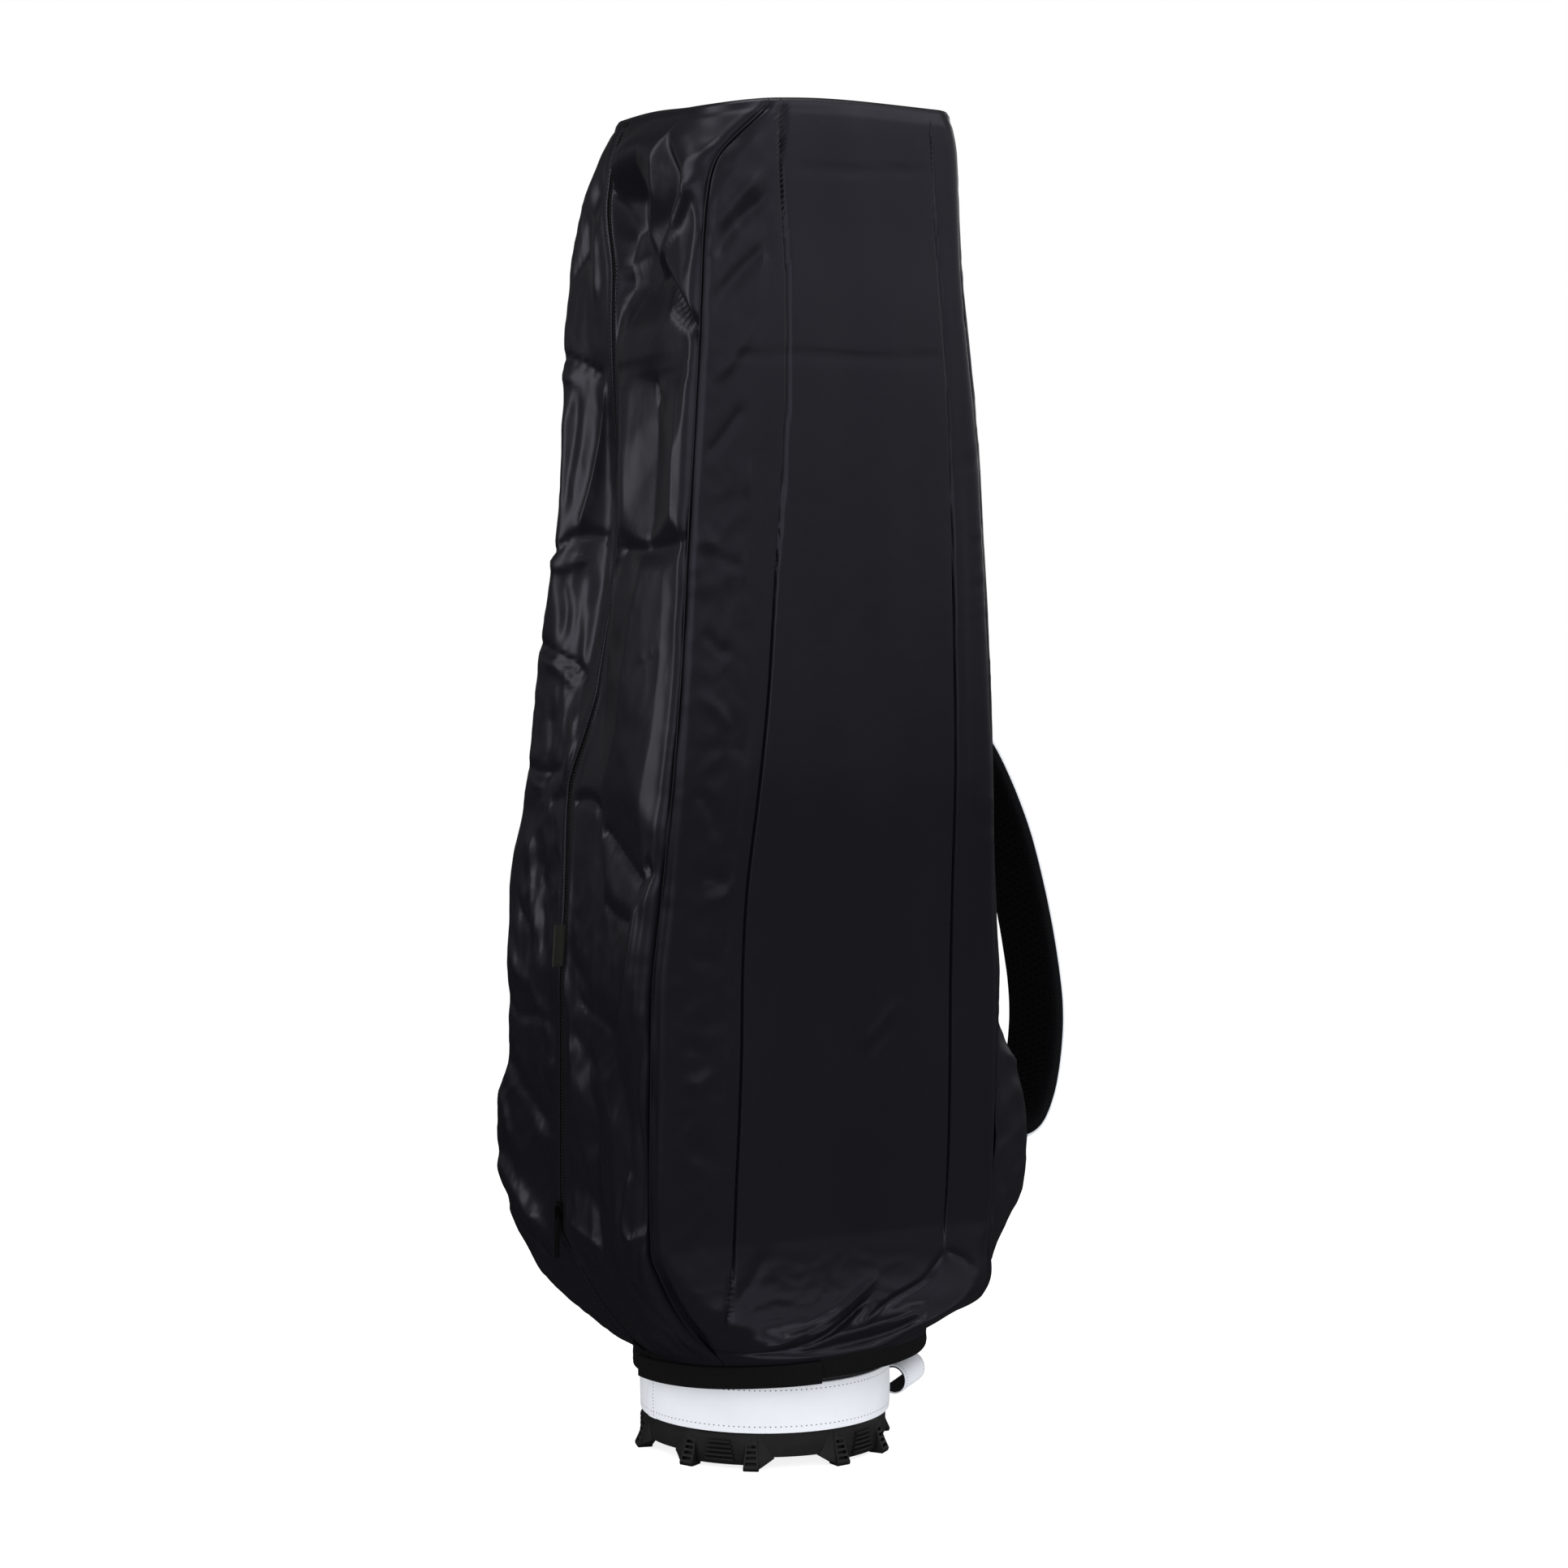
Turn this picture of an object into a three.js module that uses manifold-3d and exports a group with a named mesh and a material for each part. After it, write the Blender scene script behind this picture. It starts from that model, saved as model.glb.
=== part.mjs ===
// Golf travel case: a black nylon travel cover, zipped over a cart-style golf bag that stands on a
// cleated base. Millimetres, +Z up. The cover's front panel faces -Y and the shoulder strap hangs
// on the +X side. An azimuth is counted from -Y towards +X.
import * as THREE from 'three';
import { mergeVertices } from 'three/addons/utils/BufferGeometryUtils.js';
import Module from 'manifold-3d';

const wasm = await Module();
wasm.setup();

const { clamp, lerp, degToRad } = THREE.MathUtils;
const AXIS_Z = new THREE.Vector3(0, 0, 1);

// ---------------------------------------------------------------- driving dimensions

const SEAT = 0.3; // clearance between pieces that rest on each other

// Base moulding, standing on five cleat units
const RING_RADIUS = 113.5;
const RING_BOTTOM = 11;
const RING_TOP = 33;
const BASE_WALL = 3;
const BASE_FLOOR = 16; // underside of the floor plate
const BASE_FLOOR_WALL = 4;
const COLLAR_HEIGHT = 28; // spigot that the tube slides over
const RIB_COUNT = 10;
const RIB_WALL = 3;
const BOSS_RADIUS = 20;

const CLEAT_UNITS = 5;
const CLEAT_AZIMUTH = -51; // of the first unit
const LUG_SPREAD = 15; // degrees from a unit's middle to each lug
const LUG_FLARE = 10; // how far a lug's foot stands outside the ring
const LUG_WIDTH_TOP = 9.6;
const LUG_WIDTH_FOOT = 13.6;
const CLEAT_ROOT = 5; // how deep a cleat is rooted in the ring's wall
const LUG_KNEE = [3, RING_BOTTOM, 23]; // heights at which a lug's face changes slope
const LUG_FACE = [LUG_FLARE, 6.2, 2]; // how far the face stands outside the ring there
const SLOT_MARGIN = 1.8; // from a slot's end to the lug's flank
const SLOTS_PER_LUG = 4;
const SLOT_PITCH = 4.8;
const SLOT_HEIGHT = 2.6;
const SLOT_DEPTH = 3;
const SLOT_LOWEST = 6.8; // centre height of the lowest slot
const BUTTRESS_RUN = 15; // how far a lug's flank runs along the ring
const WEB_BOTTOM = 4;
const WEB_PROUD = 1.8;
const BADGE_RIBS = 5;
const BADGE_RIB_HEIGHT = 2.2;
const BADGE_RIB_PITCH = 4.1;
const BADGE_RIB_PROUD = 1.5;
const BADGE_WIDTH_TOP = 21;
const BADGE_WIDTH_FOOT = 29;
const BADGE_MARGIN = 3.4; // from the web's foot to the lowest rib

// Bag body
const TUBE_RADIUS = 113;
const TUBE_WALL = 2;
const TUBE_TOP = 868;
const BAND_WALL = 4.4;
const BAND_TOP = 78;
const FLOOR_PAD_WALL = 4;
const CUFF_WALL = 8;
const CUFF_SKIRT = 28; // how far the cuff reaches down round the tube
const CUFF_TOP = 905;
const CUFF_FLANGE = 4; // seat for the divider and stop for the stay rods
const CUFF_FLANGE_REACH = 13;
const DIVIDER_HEIGHT = 22;
const DIVIDER_BAR = 8;
const DIVIDER_RIM = 7;
const DIVIDER_ROW = 34; // from the middle to each cross bar
const SKIRT_WALL = 1.4; // hanging cloth partitions
const SKIRT_REACH = 97;
const ROD_RADIUS = 3;
const ROD_CIRCLE = 103.6;
const ROD_AZIMUTHS = [30, 150, 270];
const GRIP_REACH = 26; // cuff handle, out from the cuff
const GRIP_HALF_SPAN = 40;
const GRIP_SECTION = [9, 18];

// Travel cover
const CLOTH = 2; // stand-in thickness of the nylon
const COVER_TOP = 1230;
const CROWN = 10; // rise of the top panel's middle
const HEM_HEIGHT = 104; // where the cloth ends and the webbing hem begins
const HEM_RADIUS = 138;
const HEM_CORNER = HEM_RADIUS - 6;
const HEM_CENTRE = new THREE.Vector2(12, -7);
const HEM_BAND = 20;
const HEM_TILT = 9; // the hem hangs lower on its left
const HEM_SPLIT_AZIMUTH = -91;
const HEM_SPLIT = 4;
const WEBBING = 2;
const TAB_ROOT_AZIMUTH = -99;
const TAB_END_AZIMUTH = -14.5;
const TAB_DROP = 4;

// Sections of the cover from hem to top: height, the reach to the left, right, front and back, and
// the corner radii at front left, front right and back.
const COVER_SECTIONS = [
  [HEM_HEIGHT, HEM_RADIUS, HEM_RADIUS, HEM_RADIUS, HEM_RADIUS, HEM_CORNER, HEM_CORNER, HEM_CORNER],
  [112, 146, 156, 134, 150, 126, 108, 124],
  [128, 157, 177, 130, 166, 92, 64, 102],
  [150, 170, 183, 124, 180, 56, 40, 68],
  [180, 180, 184, 119, 185, 32, 28, 44],
  [210, 188, 188, 117, 189, 20, 20, 30],
  [250, 188, 188, 118, 199, 16, 16, 26],
  [300, 188, 189, 120, 204, 14, 16, 24],
  [360, 188, 189, 122, 180, 14, 16, 24],
  [430, 188, 188, 124, 178, 14, 16, 24],
  [520, 181, 181, 129, 186, 14, 16, 24],
  [640, 172, 173, 137, 163, 14, 16, 24],
  [740, 165, 167, 139, 158, 14, 16, 24],
  [840, 160, 161, 140, 136, 14, 16, 24],
  [940, 153, 154, 140, 133, 14, 16, 24],
  [1040, 147, 148, 139, 139, 14, 16, 24],
  [COVER_TOP - 110, 141, 142, 135, 134, 16, 16, 24],
  [COVER_TOP - 65, 135, 136, 134, 125, 30, 17, 26],
  [COVER_TOP - 30, 130, 132, 133, 110, 48, 18, 30],
  [COVER_TOP, 120, 124, 131, 100, 58, 20, 36],
];
const SHOULDER = 210; // above it the cover stands centred on the bag
const ZIP_OFFSET = 50; // zip seam behind the bag's axis
const DENT = { depth: 28, height: 850, spread: 130, reach: 72 }; // slack cloth beside the zip
const HEM_LATERAL = 30; // degrees from +X towards -Y: the side on which the hem hangs highest
const BULGE = { depth: 64, height: 275, reach: 205, share: 0.27 }; // cloth pushed out by the strap

// Zip
const CHAIN_WIDTH = 5.4;
const CHAIN_PROUD = 0.4;
const SLIDER_HEIGHT = 16;
const SLIDER_WIDTH = 9;
const SLIDER_WALL = 3;
const SLIDER_REST = 226;
const BRIDGE_WALL = 1.2;
const PULLER_LENGTH = 36;
const PULLER_WIDTH = 7.6;
const PULLER_WALL = 1.4;
const TAG = { height: 38, width: 13, wall: 1, centre: 471 };

// Pockets: sideways centre, width, lowest and highest point, and the most that one stands off the
// tube where the cover leaves it room
const LEFT_POCKET = { shift: -14, width: 124, bottom: 172, top: 560 };
const BACK_POCKET = { shift: 0, width: 190, bottom: 172, top: 800 };
const RIGHT_POCKET = { shift: -66, width: 70, bottom: 400, top: 600, standoff: 40 };
const POCKET_WALL = 3;
const POCKET_ZIP = 5.6;
const POCKET_ZIP_INSET = 16; // from the pocket's outer face to its zip

// Shoulder strap, hanging in the plane y = STRAP_Y
const STRAP_Y = 20;
const STRAP_WIDTH = 85;
const STRAP_FOAM = 8;
const STRAP_SKIN = 3;
const STRAP_WEBBING_WIDTH = 38;
const STRAP_WEBBING = 3;
const STRAP_SWING = 20;
const HINGE_X = 154; // the line through both rings, about which the strap swings
const UPPER_RING_Z = 722;
const LOWER_RING_Z = 290;
const RING_BAR = 5;
const PAD_ROUTE = [
  [208, 688], [246, 646], [281, 578], [303, 510], [318, 444],
  [325, 390], [322, 342], [313, 304], [298, 278], [276, 266],
];
const PORT_HEIGHT = 40;
const PORT_CLEARANCE = 5;
const BINDING_WIDTH = 7;
const BINDING_WALL = 1.6;
const KEEPER_LENGTH = 12;
const KEEPER_WALL = 2.4;
const KEEPER_CLEARANCE = 0.7;

// Bottom lift handle, a curled loop beside the kick band
const LOOP_AZIMUTH = 75;
const LOOP_STANDOFF = 13.5; // from the tube to the curl's middle
const LOOP_Z = 49;
const LOOP_RADIUS = 11; // inside the curl
const LOOP_WIDTH = 38;
const LOOP_LINING = 1.3;
const LOOP_FACE = 1.6;
const LOOP_HEADING = 28; // degrees that the curl's axis turns from +X towards +Y
const LOOP_RISE = 6;

// ---------------------------------------------------------------- geometry helpers

// One closed body with shared vertices, no slivers, and its faces pointing out.
function welded(geometry) {
  const bare = geometry.clone();
  bare.deleteAttribute('normal');
  bare.deleteAttribute('uv');
  const merged = mergeVertices(bare, 1e-3);
  const { array } = merged.attributes.position;
  const faces = [];
  let volume = 0;
  const corner = (i) => new THREE.Vector3().fromArray(array, 3 * i);
  for (let i = 0; i < merged.index.count; i += 3) {
    const [a, b, c] = merged.index.array.slice(i, i + 3);
    if (a === b || b === c || c === a) continue;
    faces.push([a, b, c]);
    volume += corner(a).dot(corner(b).cross(corner(c)));
  }
  if (volume < 0) faces.forEach((face) => face.reverse());
  merged.setIndex(faces.flat());
  return merged;
}

function solidOf(geometry) {
  const closed = welded(geometry);
  return new wasm.Manifold(new wasm.Mesh({
    numProp: 3,
    vertProperties: closed.attributes.position.array,
    triVerts: new Uint32Array(closed.index.array),
  }));
}

function geometryOf(solid) {
  const { vertProperties, triVerts } = solid.getMesh();
  const geometry = new THREE.BufferGeometry();
  geometry.setAttribute('position', new THREE.BufferAttribute(vertProperties, 3));
  geometry.setIndex(new THREE.BufferAttribute(triVerts, 1));
  return geometry;
}

const combine = (operation) => (first, ...rest) =>
  geometryOf(rest.map(solidOf).reduce((body, other) => body[operation](other), solidOf(first)));
const join = combine('add');
const cut = combine('subtract');
const common = combine('intersect');

const mapped = (geometry, place) => {
  const { position } = geometry.attributes;
  for (let i = 0; i < position.count; i += 1) {
    const at = place(new THREE.Vector3().fromBufferAttribute(position, i));
    position.setXYZ(i, at.x, at.y, at.z);
  }
  return welded(geometry);
};

// A unit block with columns along u, rows along v and its thickness along w, bent by `place`.
const bentBlock = (columns, rows, place) =>
  mapped(new THREE.BoxGeometry(1, 1, 1, columns, rows, 1).translate(0.5, 0.5, 0.5),
    ({ x, y, z }) => place(x, y, z));

const box = (from, to) => {
  const low = new THREE.Vector3(...from);
  const size = new THREE.Vector3(...to).sub(low);
  return new THREE.BoxGeometry(size.x, size.y, size.z)
    .translate(low.x + size.x / 2, low.y + size.y / 2, low.z + size.z / 2);
};

// A closed profile of [radius, height] turned about Z.
const turned = (profile, segments = 48) =>
  new THREE.LatheGeometry(profile.map(([r, z]) => new THREE.Vector2(r, z)), segments)
    .rotateX(Math.PI / 2);

const ring = (inner, outer, bottom, top, segments) =>
  turned([[inner, bottom], [outer, bottom], [outer, top], [inner, top], [inner, bottom]], segments);

const disc = (radius, bottom, top, segments) =>
  turned([[0, bottom], [radius, bottom], [radius, top], [0, top]], segments);

const outline = (points) => new THREE.Shape(points.map(([x, y]) => new THREE.Vector2(x, y)));

const slab = (shape, depth, curveSegments = 6) =>
  new THREE.ExtrudeGeometry(shape, { depth, bevelEnabled: false, curveSegments });

// A slab drawn in the XZ plane, from y = from to y = to.
const upright = (shape, from, to, curveSegments) =>
  slab(shape, to - from, curveSegments).rotateX(Math.PI / 2).translate(0, to, 0);

const roundedRectangle = (width, height, radius, Kind = THREE.Shape) => {
  const [x, y] = [width / 2, height / 2];
  const shape = new Kind();
  shape.moveTo(-x + radius, -y);
  shape.lineTo(x - radius, -y).absarc(x - radius, -y + radius, radius, -Math.PI / 2, 0);
  shape.lineTo(x, y - radius).absarc(x - radius, y - radius, radius, 0, Math.PI / 2);
  shape.lineTo(-x + radius, y).absarc(-x + radius, y - radius, radius, Math.PI / 2, Math.PI);
  shape.lineTo(-x, -y + radius);
  shape.absarc(-x + radius, -y + radius, radius, Math.PI, 1.5 * Math.PI);
  return shape;
};

const polar = (azimuth, radius, z) => {
  const angle = degToRad(azimuth);
  return new THREE.Vector3(radius * Math.sin(angle), -radius * Math.cos(angle), z);
};

// Straight steps through rows of [key, value, value, ...].
function interpolate(rows, key) {
  const next = clamp(rows.findIndex((row) => row[0] >= key), 1, rows.length - 1);
  const [low, high] = [rows[next - 1], rows[next]];
  const share = clamp((key - low[0]) / (high[0] - low[0]), 0, 1);
  return low.map((value, i) => lerp(value, high[i], share));
}

const root = new THREE.Group();

function add(name, geometry, { color, roughness = 0.8, metalness = 0 }) {
  const shown = geometry.index ? geometry.toNonIndexed() : geometry;
  shown.computeVertexNormals();
  const mesh = new THREE.Mesh(
    shown,
    new THREE.MeshStandardMaterial({ color, roughness, metalness }),
  );
  mesh.name = name;
  root.add(mesh);
}

const NYLON = { color: 0x1b1b20, roughness: 0.42 };
const LINING = { color: 0x222226, roughness: 0.9 };
const BLACK_WEBBING = { color: 0x151517, roughness: 0.85 };
const RUBBER = { color: 0x2a292d, roughness: 0.65 };
const WHITE_LEATHER = { color: 0xdfe3e8, roughness: 0.45 };
const BAG_CLOTH = { color: 0x2b2c31, roughness: 0.8 };
const PLASTIC = { color: 0x1d1e21, roughness: 0.5 };
const FOAM = { color: 0x3a3a3e, roughness: 0.95 };
const STEEL = { color: 0x9fa2a6, roughness: 0.3, metalness: 0.9 };
const ZINC = { color: 0x55575b, roughness: 0.4, metalness: 0.8 };

// ---------------------------------------------------------------- base moulding

const COLLAR_RADIUS = TUBE_RADIUS - TUBE_WALL - SEAT;
const BASE_FLOOR_TOP = BASE_FLOOR + BASE_FLOOR_WALL;
const COLLAR_INSIDE = COLLAR_RADIUS - BASE_WALL;

// A block on the ring wall: azimuth across, height up, radius through.
const ringBlock = (columns, rows, place) => bentBlock(columns, rows, (u, v, w) => {
  const { across, radius, z } = place(u, v, w);
  const angle = across / RING_RADIUS;
  return new THREE.Vector3(radius * Math.sin(angle), -radius * Math.cos(angle), z);
});

function lugOutline(z) {
  const flare = [[0, LUG_FLARE - 1], ...LUG_KNEE.map((height, i) => [height, LUG_FACE[i]]), [RING_TOP, 0]];
  return RING_RADIUS + interpolate(flare, z)[1];
}

function lug() {
  const widths = [[0, LUG_WIDTH_FOOT], [RING_BOTTOM, LUG_WIDTH_FOOT - 1], [RING_TOP, LUG_WIDTH_TOP]];
  const heights = [0, ...LUG_KNEE, RING_TOP];
  const body = ringBlock(1, heights.length - 1, (u, v, w) => {
    const z = heights[Math.round(v * (heights.length - 1))];
    const width = interpolate(widths, z)[1];
    const outer = lugOutline(z);
    return { across: (u - 0.5) * width, radius: lerp(RING_RADIUS - CLEAT_ROOT, outer, w), z };
  });
  const slots = Array.from({ length: SLOTS_PER_LUG }, (_, i) => {
    const z = SLOT_LOWEST + i * SLOT_PITCH;
    const half = interpolate(widths, z)[1] / 2 - SLOT_MARGIN;
    const face = -lugOutline(z);
    const [low, high] = [z - SLOT_HEIGHT / 2, z + SLOT_HEIGHT / 2];
    return box([-half, face - LUG_FLARE, low], [half, face + SLOT_DEPTH, high]);
  });
  return cut(body, ...slots);
}

// The triangular flank that runs from a lug down along the ring.
function buttress(side) {
  const start = LUG_WIDTH_TOP / 2 - 1;
  const spread = (LUG_WIDTH_FOOT - LUG_WIDTH_TOP) / 2;
  return ringBlock(1, 2, (u, v, w) => {
    const z = lerp(u * (RING_BOTTOM - 1), RING_TOP - 1, v);
    const run = lerp(BUTTRESS_RUN, 1, v) + spread;
    const outer = lerp(lugOutline(z) - 0.8, RING_RADIUS + 0.2, u);
    return { across: side * (start + u * run), radius: lerp(RING_RADIUS - CLEAT_ROOT, outer, w), z };
  });
}

function cleatUnit() {
  const lugAcross = degToRad(LUG_SPREAD) * RING_RADIUS;
  const webRadius = RING_RADIUS + WEB_PROUD;
  const web = ringBlock(4, 2, (u, v, w) => ({
    across: (u - 0.5) * 2 * lugAcross,
    radius: lerp(RING_RADIUS - CLEAT_ROOT, v === 1 ? RING_RADIUS + 0.2 : webRadius, w),
    z: [WEB_BOTTOM, RING_TOP - 4, RING_TOP - 0.5][Math.round(v * 2)],
  }));
  const ribs = Array.from({ length: BADGE_RIBS }, (_, i) => {
    const width = lerp(BADGE_WIDTH_FOOT, BADGE_WIDTH_TOP, i / (BADGE_RIBS - 1));
    const bottom = WEB_BOTTOM + BADGE_MARGIN + i * BADGE_RIB_PITCH;
    return ringBlock(2, 1, (u, v, w) => ({
      across: (u - 0.5) * (width - 1.4 * v),
      radius: lerp(webRadius - 1, webRadius + BADGE_RIB_PROUD, w),
      z: bottom + v * BADGE_RIB_HEIGHT,
    }));
  });
  const sides = [-1, 1].flatMap((side) => [
    lug().rotateZ(side * degToRad(LUG_SPREAD)),
    buttress(side).rotateZ(side * degToRad(LUG_SPREAD)),
  ]);
  return join(web, ...sides, ...ribs);
}

function baseMoulding() {
  const cup = turned([
    [0, BASE_FLOOR], [RING_RADIUS - 13, BASE_FLOOR], [RING_RADIUS - 10, RING_BOTTOM],
    [RING_RADIUS - 1, RING_BOTTOM], [RING_RADIUS, RING_BOTTOM + 1], [RING_RADIUS, RING_TOP],
    [COLLAR_RADIUS, RING_TOP], [COLLAR_RADIUS, RING_TOP + COLLAR_HEIGHT],
    [COLLAR_INSIDE, RING_TOP + COLLAR_HEIGHT], [COLLAR_INSIDE, BASE_FLOOR_TOP], [0, BASE_FLOOR_TOP],
  ]);
  const ribs = Array.from({ length: RIB_COUNT }, (_, i) =>
    box([BOSS_RADIUS - 2, -RIB_WALL / 2, RING_BOTTOM + 1], [RING_RADIUS - 9, RIB_WALL / 2, BASE_FLOOR + 1])
      .rotateZ((2 * Math.PI * i) / RIB_COUNT));
  const boss = disc(BOSS_RADIUS, RING_BOTTOM + 1, BASE_FLOOR + 1, 20);
  const unit = cleatUnit();
  const units = Array.from({ length: CLEAT_UNITS }, (_, i) =>
    unit.clone().rotateZ(degToRad(CLEAT_AZIMUTH) + (2 * Math.PI * i) / CLEAT_UNITS));
  return join(cup, boss, ...ribs, ...units);
}

add('base_moulding', baseMoulding(), RUBBER);

// ---------------------------------------------------------------- bag body

const BAND_BOTTOM = RING_TOP + SEAT;
const BAND_OUTER = TUBE_RADIUS + SEAT + BAND_WALL;
const ROD_FOOT = BASE_FLOOR_TOP + SEAT;
const PAD_TOP = BASE_FLOOR_TOP + SEAT + FLOOR_PAD_WALL;
const FLANGE_BOTTOM = TUBE_TOP + 2 * SEAT;
const FLANGE_TOP = FLANGE_BOTTOM + CUFF_FLANGE;
const CUFF_OUTER = TUBE_RADIUS + SEAT + CUFF_WALL;
const CUFF_MOUTH = TUBE_RADIUS - TUBE_WALL;

add('floor_pad', disc(ROD_CIRCLE - ROD_RADIUS - SEAT, ROD_FOOT, PAD_TOP, 40), FOAM);

add('kick_band', turned([
  [TUBE_RADIUS + SEAT, BAND_BOTTOM], [BAND_OUTER - 2, BAND_BOTTOM], [BAND_OUTER - 0.5, BAND_BOTTOM + 8],
  [BAND_OUTER, (BAND_BOTTOM + BAND_TOP) / 2], [BAND_OUTER - 0.4, BAND_TOP - 10], [BAND_OUTER - 1.5, BAND_TOP],
  [TUBE_RADIUS + SEAT, BAND_TOP], [TUBE_RADIUS + SEAT, BAND_BOTTOM],
]), WHITE_LEATHER);

add('bag_tube', ring(TUBE_RADIUS - TUBE_WALL, TUBE_RADIUS, BAND_BOTTOM, TUBE_TOP), BAG_CLOTH);

add('top_cuff', turned([
  [TUBE_RADIUS + SEAT, TUBE_TOP - CUFF_SKIRT], [CUFF_OUTER - 3, TUBE_TOP - CUFF_SKIRT],
  [CUFF_OUTER, TUBE_TOP - CUFF_SKIRT + 8], [CUFF_OUTER, CUFF_TOP - 7], [CUFF_OUTER - 3, CUFF_TOP],
  [CUFF_MOUTH + 2, CUFF_TOP], [CUFF_MOUTH, CUFF_TOP - 3], [CUFF_MOUTH, FLANGE_TOP],
  [CUFF_MOUTH - CUFF_FLANGE_REACH, FLANGE_TOP], [CUFF_MOUTH - CUFF_FLANGE_REACH, FLANGE_BOTTOM],
  [TUBE_RADIUS + SEAT, FLANGE_BOTTOM], [TUBE_RADIUS + SEAT, TUBE_TOP - CUFF_SKIRT],
]), PLASTIC);

// Six-way divider: a rim on the cuff's flange, one long bar and two cross bars.
function divider() {
  const outer = CUFF_MOUTH - SEAT;
  const bottom = FLANGE_TOP + SEAT;
  const top = bottom + DIVIDER_HEIGHT;
  const half = DIVIDER_BAR / 2;
  const rim = ring(outer - DIVIDER_RIM, outer, bottom, top, 48);
  const inside = disc(outer - DIVIDER_RIM / 2, bottom, top - 1, 48);
  const cross = join(
    box([-half, -outer, bottom], [half, outer, top]),
    ...[-DIVIDER_ROW, DIVIDER_ROW].map((y) => box([-outer, y - half, bottom], [outer, y + half, top])),
  );
  return join(rim, common(cross, inside));
}
add('club_divider', divider(), PLASTIC);

// Cloth partitions that hang under the divider's bars down to the floor pad.
function partitions() {
  const bottom = PAD_TOP + 2;
  const top = FLANGE_TOP;
  const half = SKIRT_WALL / 2;
  const crossReach = Math.sqrt(SKIRT_REACH ** 2 - DIVIDER_ROW ** 2) - 2;
  return join(
    box([-half, -SKIRT_REACH, bottom], [half, SKIRT_REACH, top]),
    ...[-DIVIDER_ROW, DIVIDER_ROW].map((y) =>
      box([-crossReach, y - half, bottom], [crossReach, y + half, top])),
  );
}
add('club_partitions', partitions(), LINING);

ROD_AZIMUTHS.forEach((azimuth, i) => {
  const { x, y } = polar(azimuth, ROD_CIRCLE, 0);
  const rod = disc(ROD_RADIUS, ROD_FOOT, FLANGE_BOTTOM - SEAT, 12).translate(x, y, 0);
  add(`stay_rod_${i + 1}`, rod, STEEL);
});

// Moulded carry grip, screwed to the cuff above the strap.
function cuffGrip() {
  const start = Math.sqrt(CUFF_OUTER ** 2 - GRIP_HALF_SPAN ** 2) - 6;
  const reach = CUFF_OUTER + GRIP_REACH - GRIP_SECTION[0] / 2;
  const z = (FLANGE_BOTTOM + CUFF_TOP) / 2 - 6;
  const path = new THREE.CatmullRomCurve3([
    [start, -GRIP_HALF_SPAN], [reach - 8, -0.86 * GRIP_HALF_SPAN], [reach, -0.4 * GRIP_HALF_SPAN],
    [reach, 0.4 * GRIP_HALF_SPAN], [reach - 8, 0.86 * GRIP_HALF_SPAN], [start, GRIP_HALF_SPAN],
  ].map(([x, y]) => new THREE.Vector3(x, y, z)));
  const bar = bentBlock(18, 2, (u, v, w) => {
    const at = path.getPointAt(u);
    const along = path.getTangentAt(u);
    const out = new THREE.Vector3(along.y, -along.x, 0);
    const thin = v === 0.5 ? 1 : 0.6;
    return at.addScaledVector(out, (w - 0.5) * GRIP_SECTION[0] * thin)
      .addScaledVector(AXIS_Z, (v - 0.5) * GRIP_SECTION[1]);
  });
  return cut(bar, disc(CUFF_OUTER + SEAT, TUBE_TOP - CUFF_SKIRT - 5, CUFF_TOP + 5));
}
add('cuff_grip', cuffGrip(), PLASTIC);

// ---------------------------------------------------------------- travel cover

const hemLateral = new THREE.Vector2(Math.cos(degToRad(HEM_LATERAL)), -Math.sin(degToRad(HEM_LATERAL)));
const hemFade = (z) => clamp((SHOULDER - z) / (SHOULDER - HEM_HEIGHT), 0, 1);

// The hem's plane rises to the right and levels out up to the shoulder.
const hung = (point) => {
  const lateral = point.x * hemLateral.x + point.y * hemLateral.y;
  const rise = HEM_TILT * (lateral / HEM_RADIUS) * hemFade(point.z);
  return point.setZ(point.z + rise);
};

function sectionAt(z) {
  const [, left, right, front, back, frontLeft, frontRight, rear] = interpolate(COVER_SECTIONS, z);
  const { x, y } = HEM_CENTRE.clone().multiplyScalar(hemFade(z));
  return {
    centre: new THREE.Vector2(x, y),
    zip: ZIP_OFFSET * (1 - hemFade(z)),
    corners: {
      frontLeft: { x: -left + frontLeft, y: -front + frontLeft, radius: frontLeft },
      frontRight: { x: right - frontRight, y: -front + frontRight, radius: frontRight },
      backRight: { x: right - rear, y: back - rear, radius: rear },
      backLeft: { x: -left + rear, y: back - rear, radius: rear },
    },
  };
}

// Seam angles on the front corners, from +X: they wander along the hem and at the folded top.
const frontLeftSeam = (z) => interpolate([[HEM_HEIGHT, 214], [128, 228], [150, 232], [SHOULDER, 228],
  [260, 225], [COVER_TOP - 80, 225], [COVER_TOP, 262]], z)[1];
const frontRightSeam = (z) => interpolate([[HEM_HEIGHT, 320], [SHOULDER, 315], [COVER_TOP, 315]], z)[1];

const PANELS = {
  front: { from: 'frontLeft', to: 'frontRight', start: frontLeftSeam, end: frontRightSeam, square: 270 },
  right: { from: 'frontRight', to: 'backRight', start: frontRightSeam, end: () => 405, square: 360 },
  back: { from: 'backRight', to: 'backLeft', start: () => 45, end: () => 135, square: 90 },
  left: { from: 'backLeft', to: 'frontLeft', start: () => 135, end: frontLeftSeam, square: 180 },
};
const ARC_SHARE = 0.2; // share of a panel's run that goes round each corner
const ARC_COLUMNS = 2;
const SEAM_STEP = 0.01; // share over which a panel's direction is read

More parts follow.
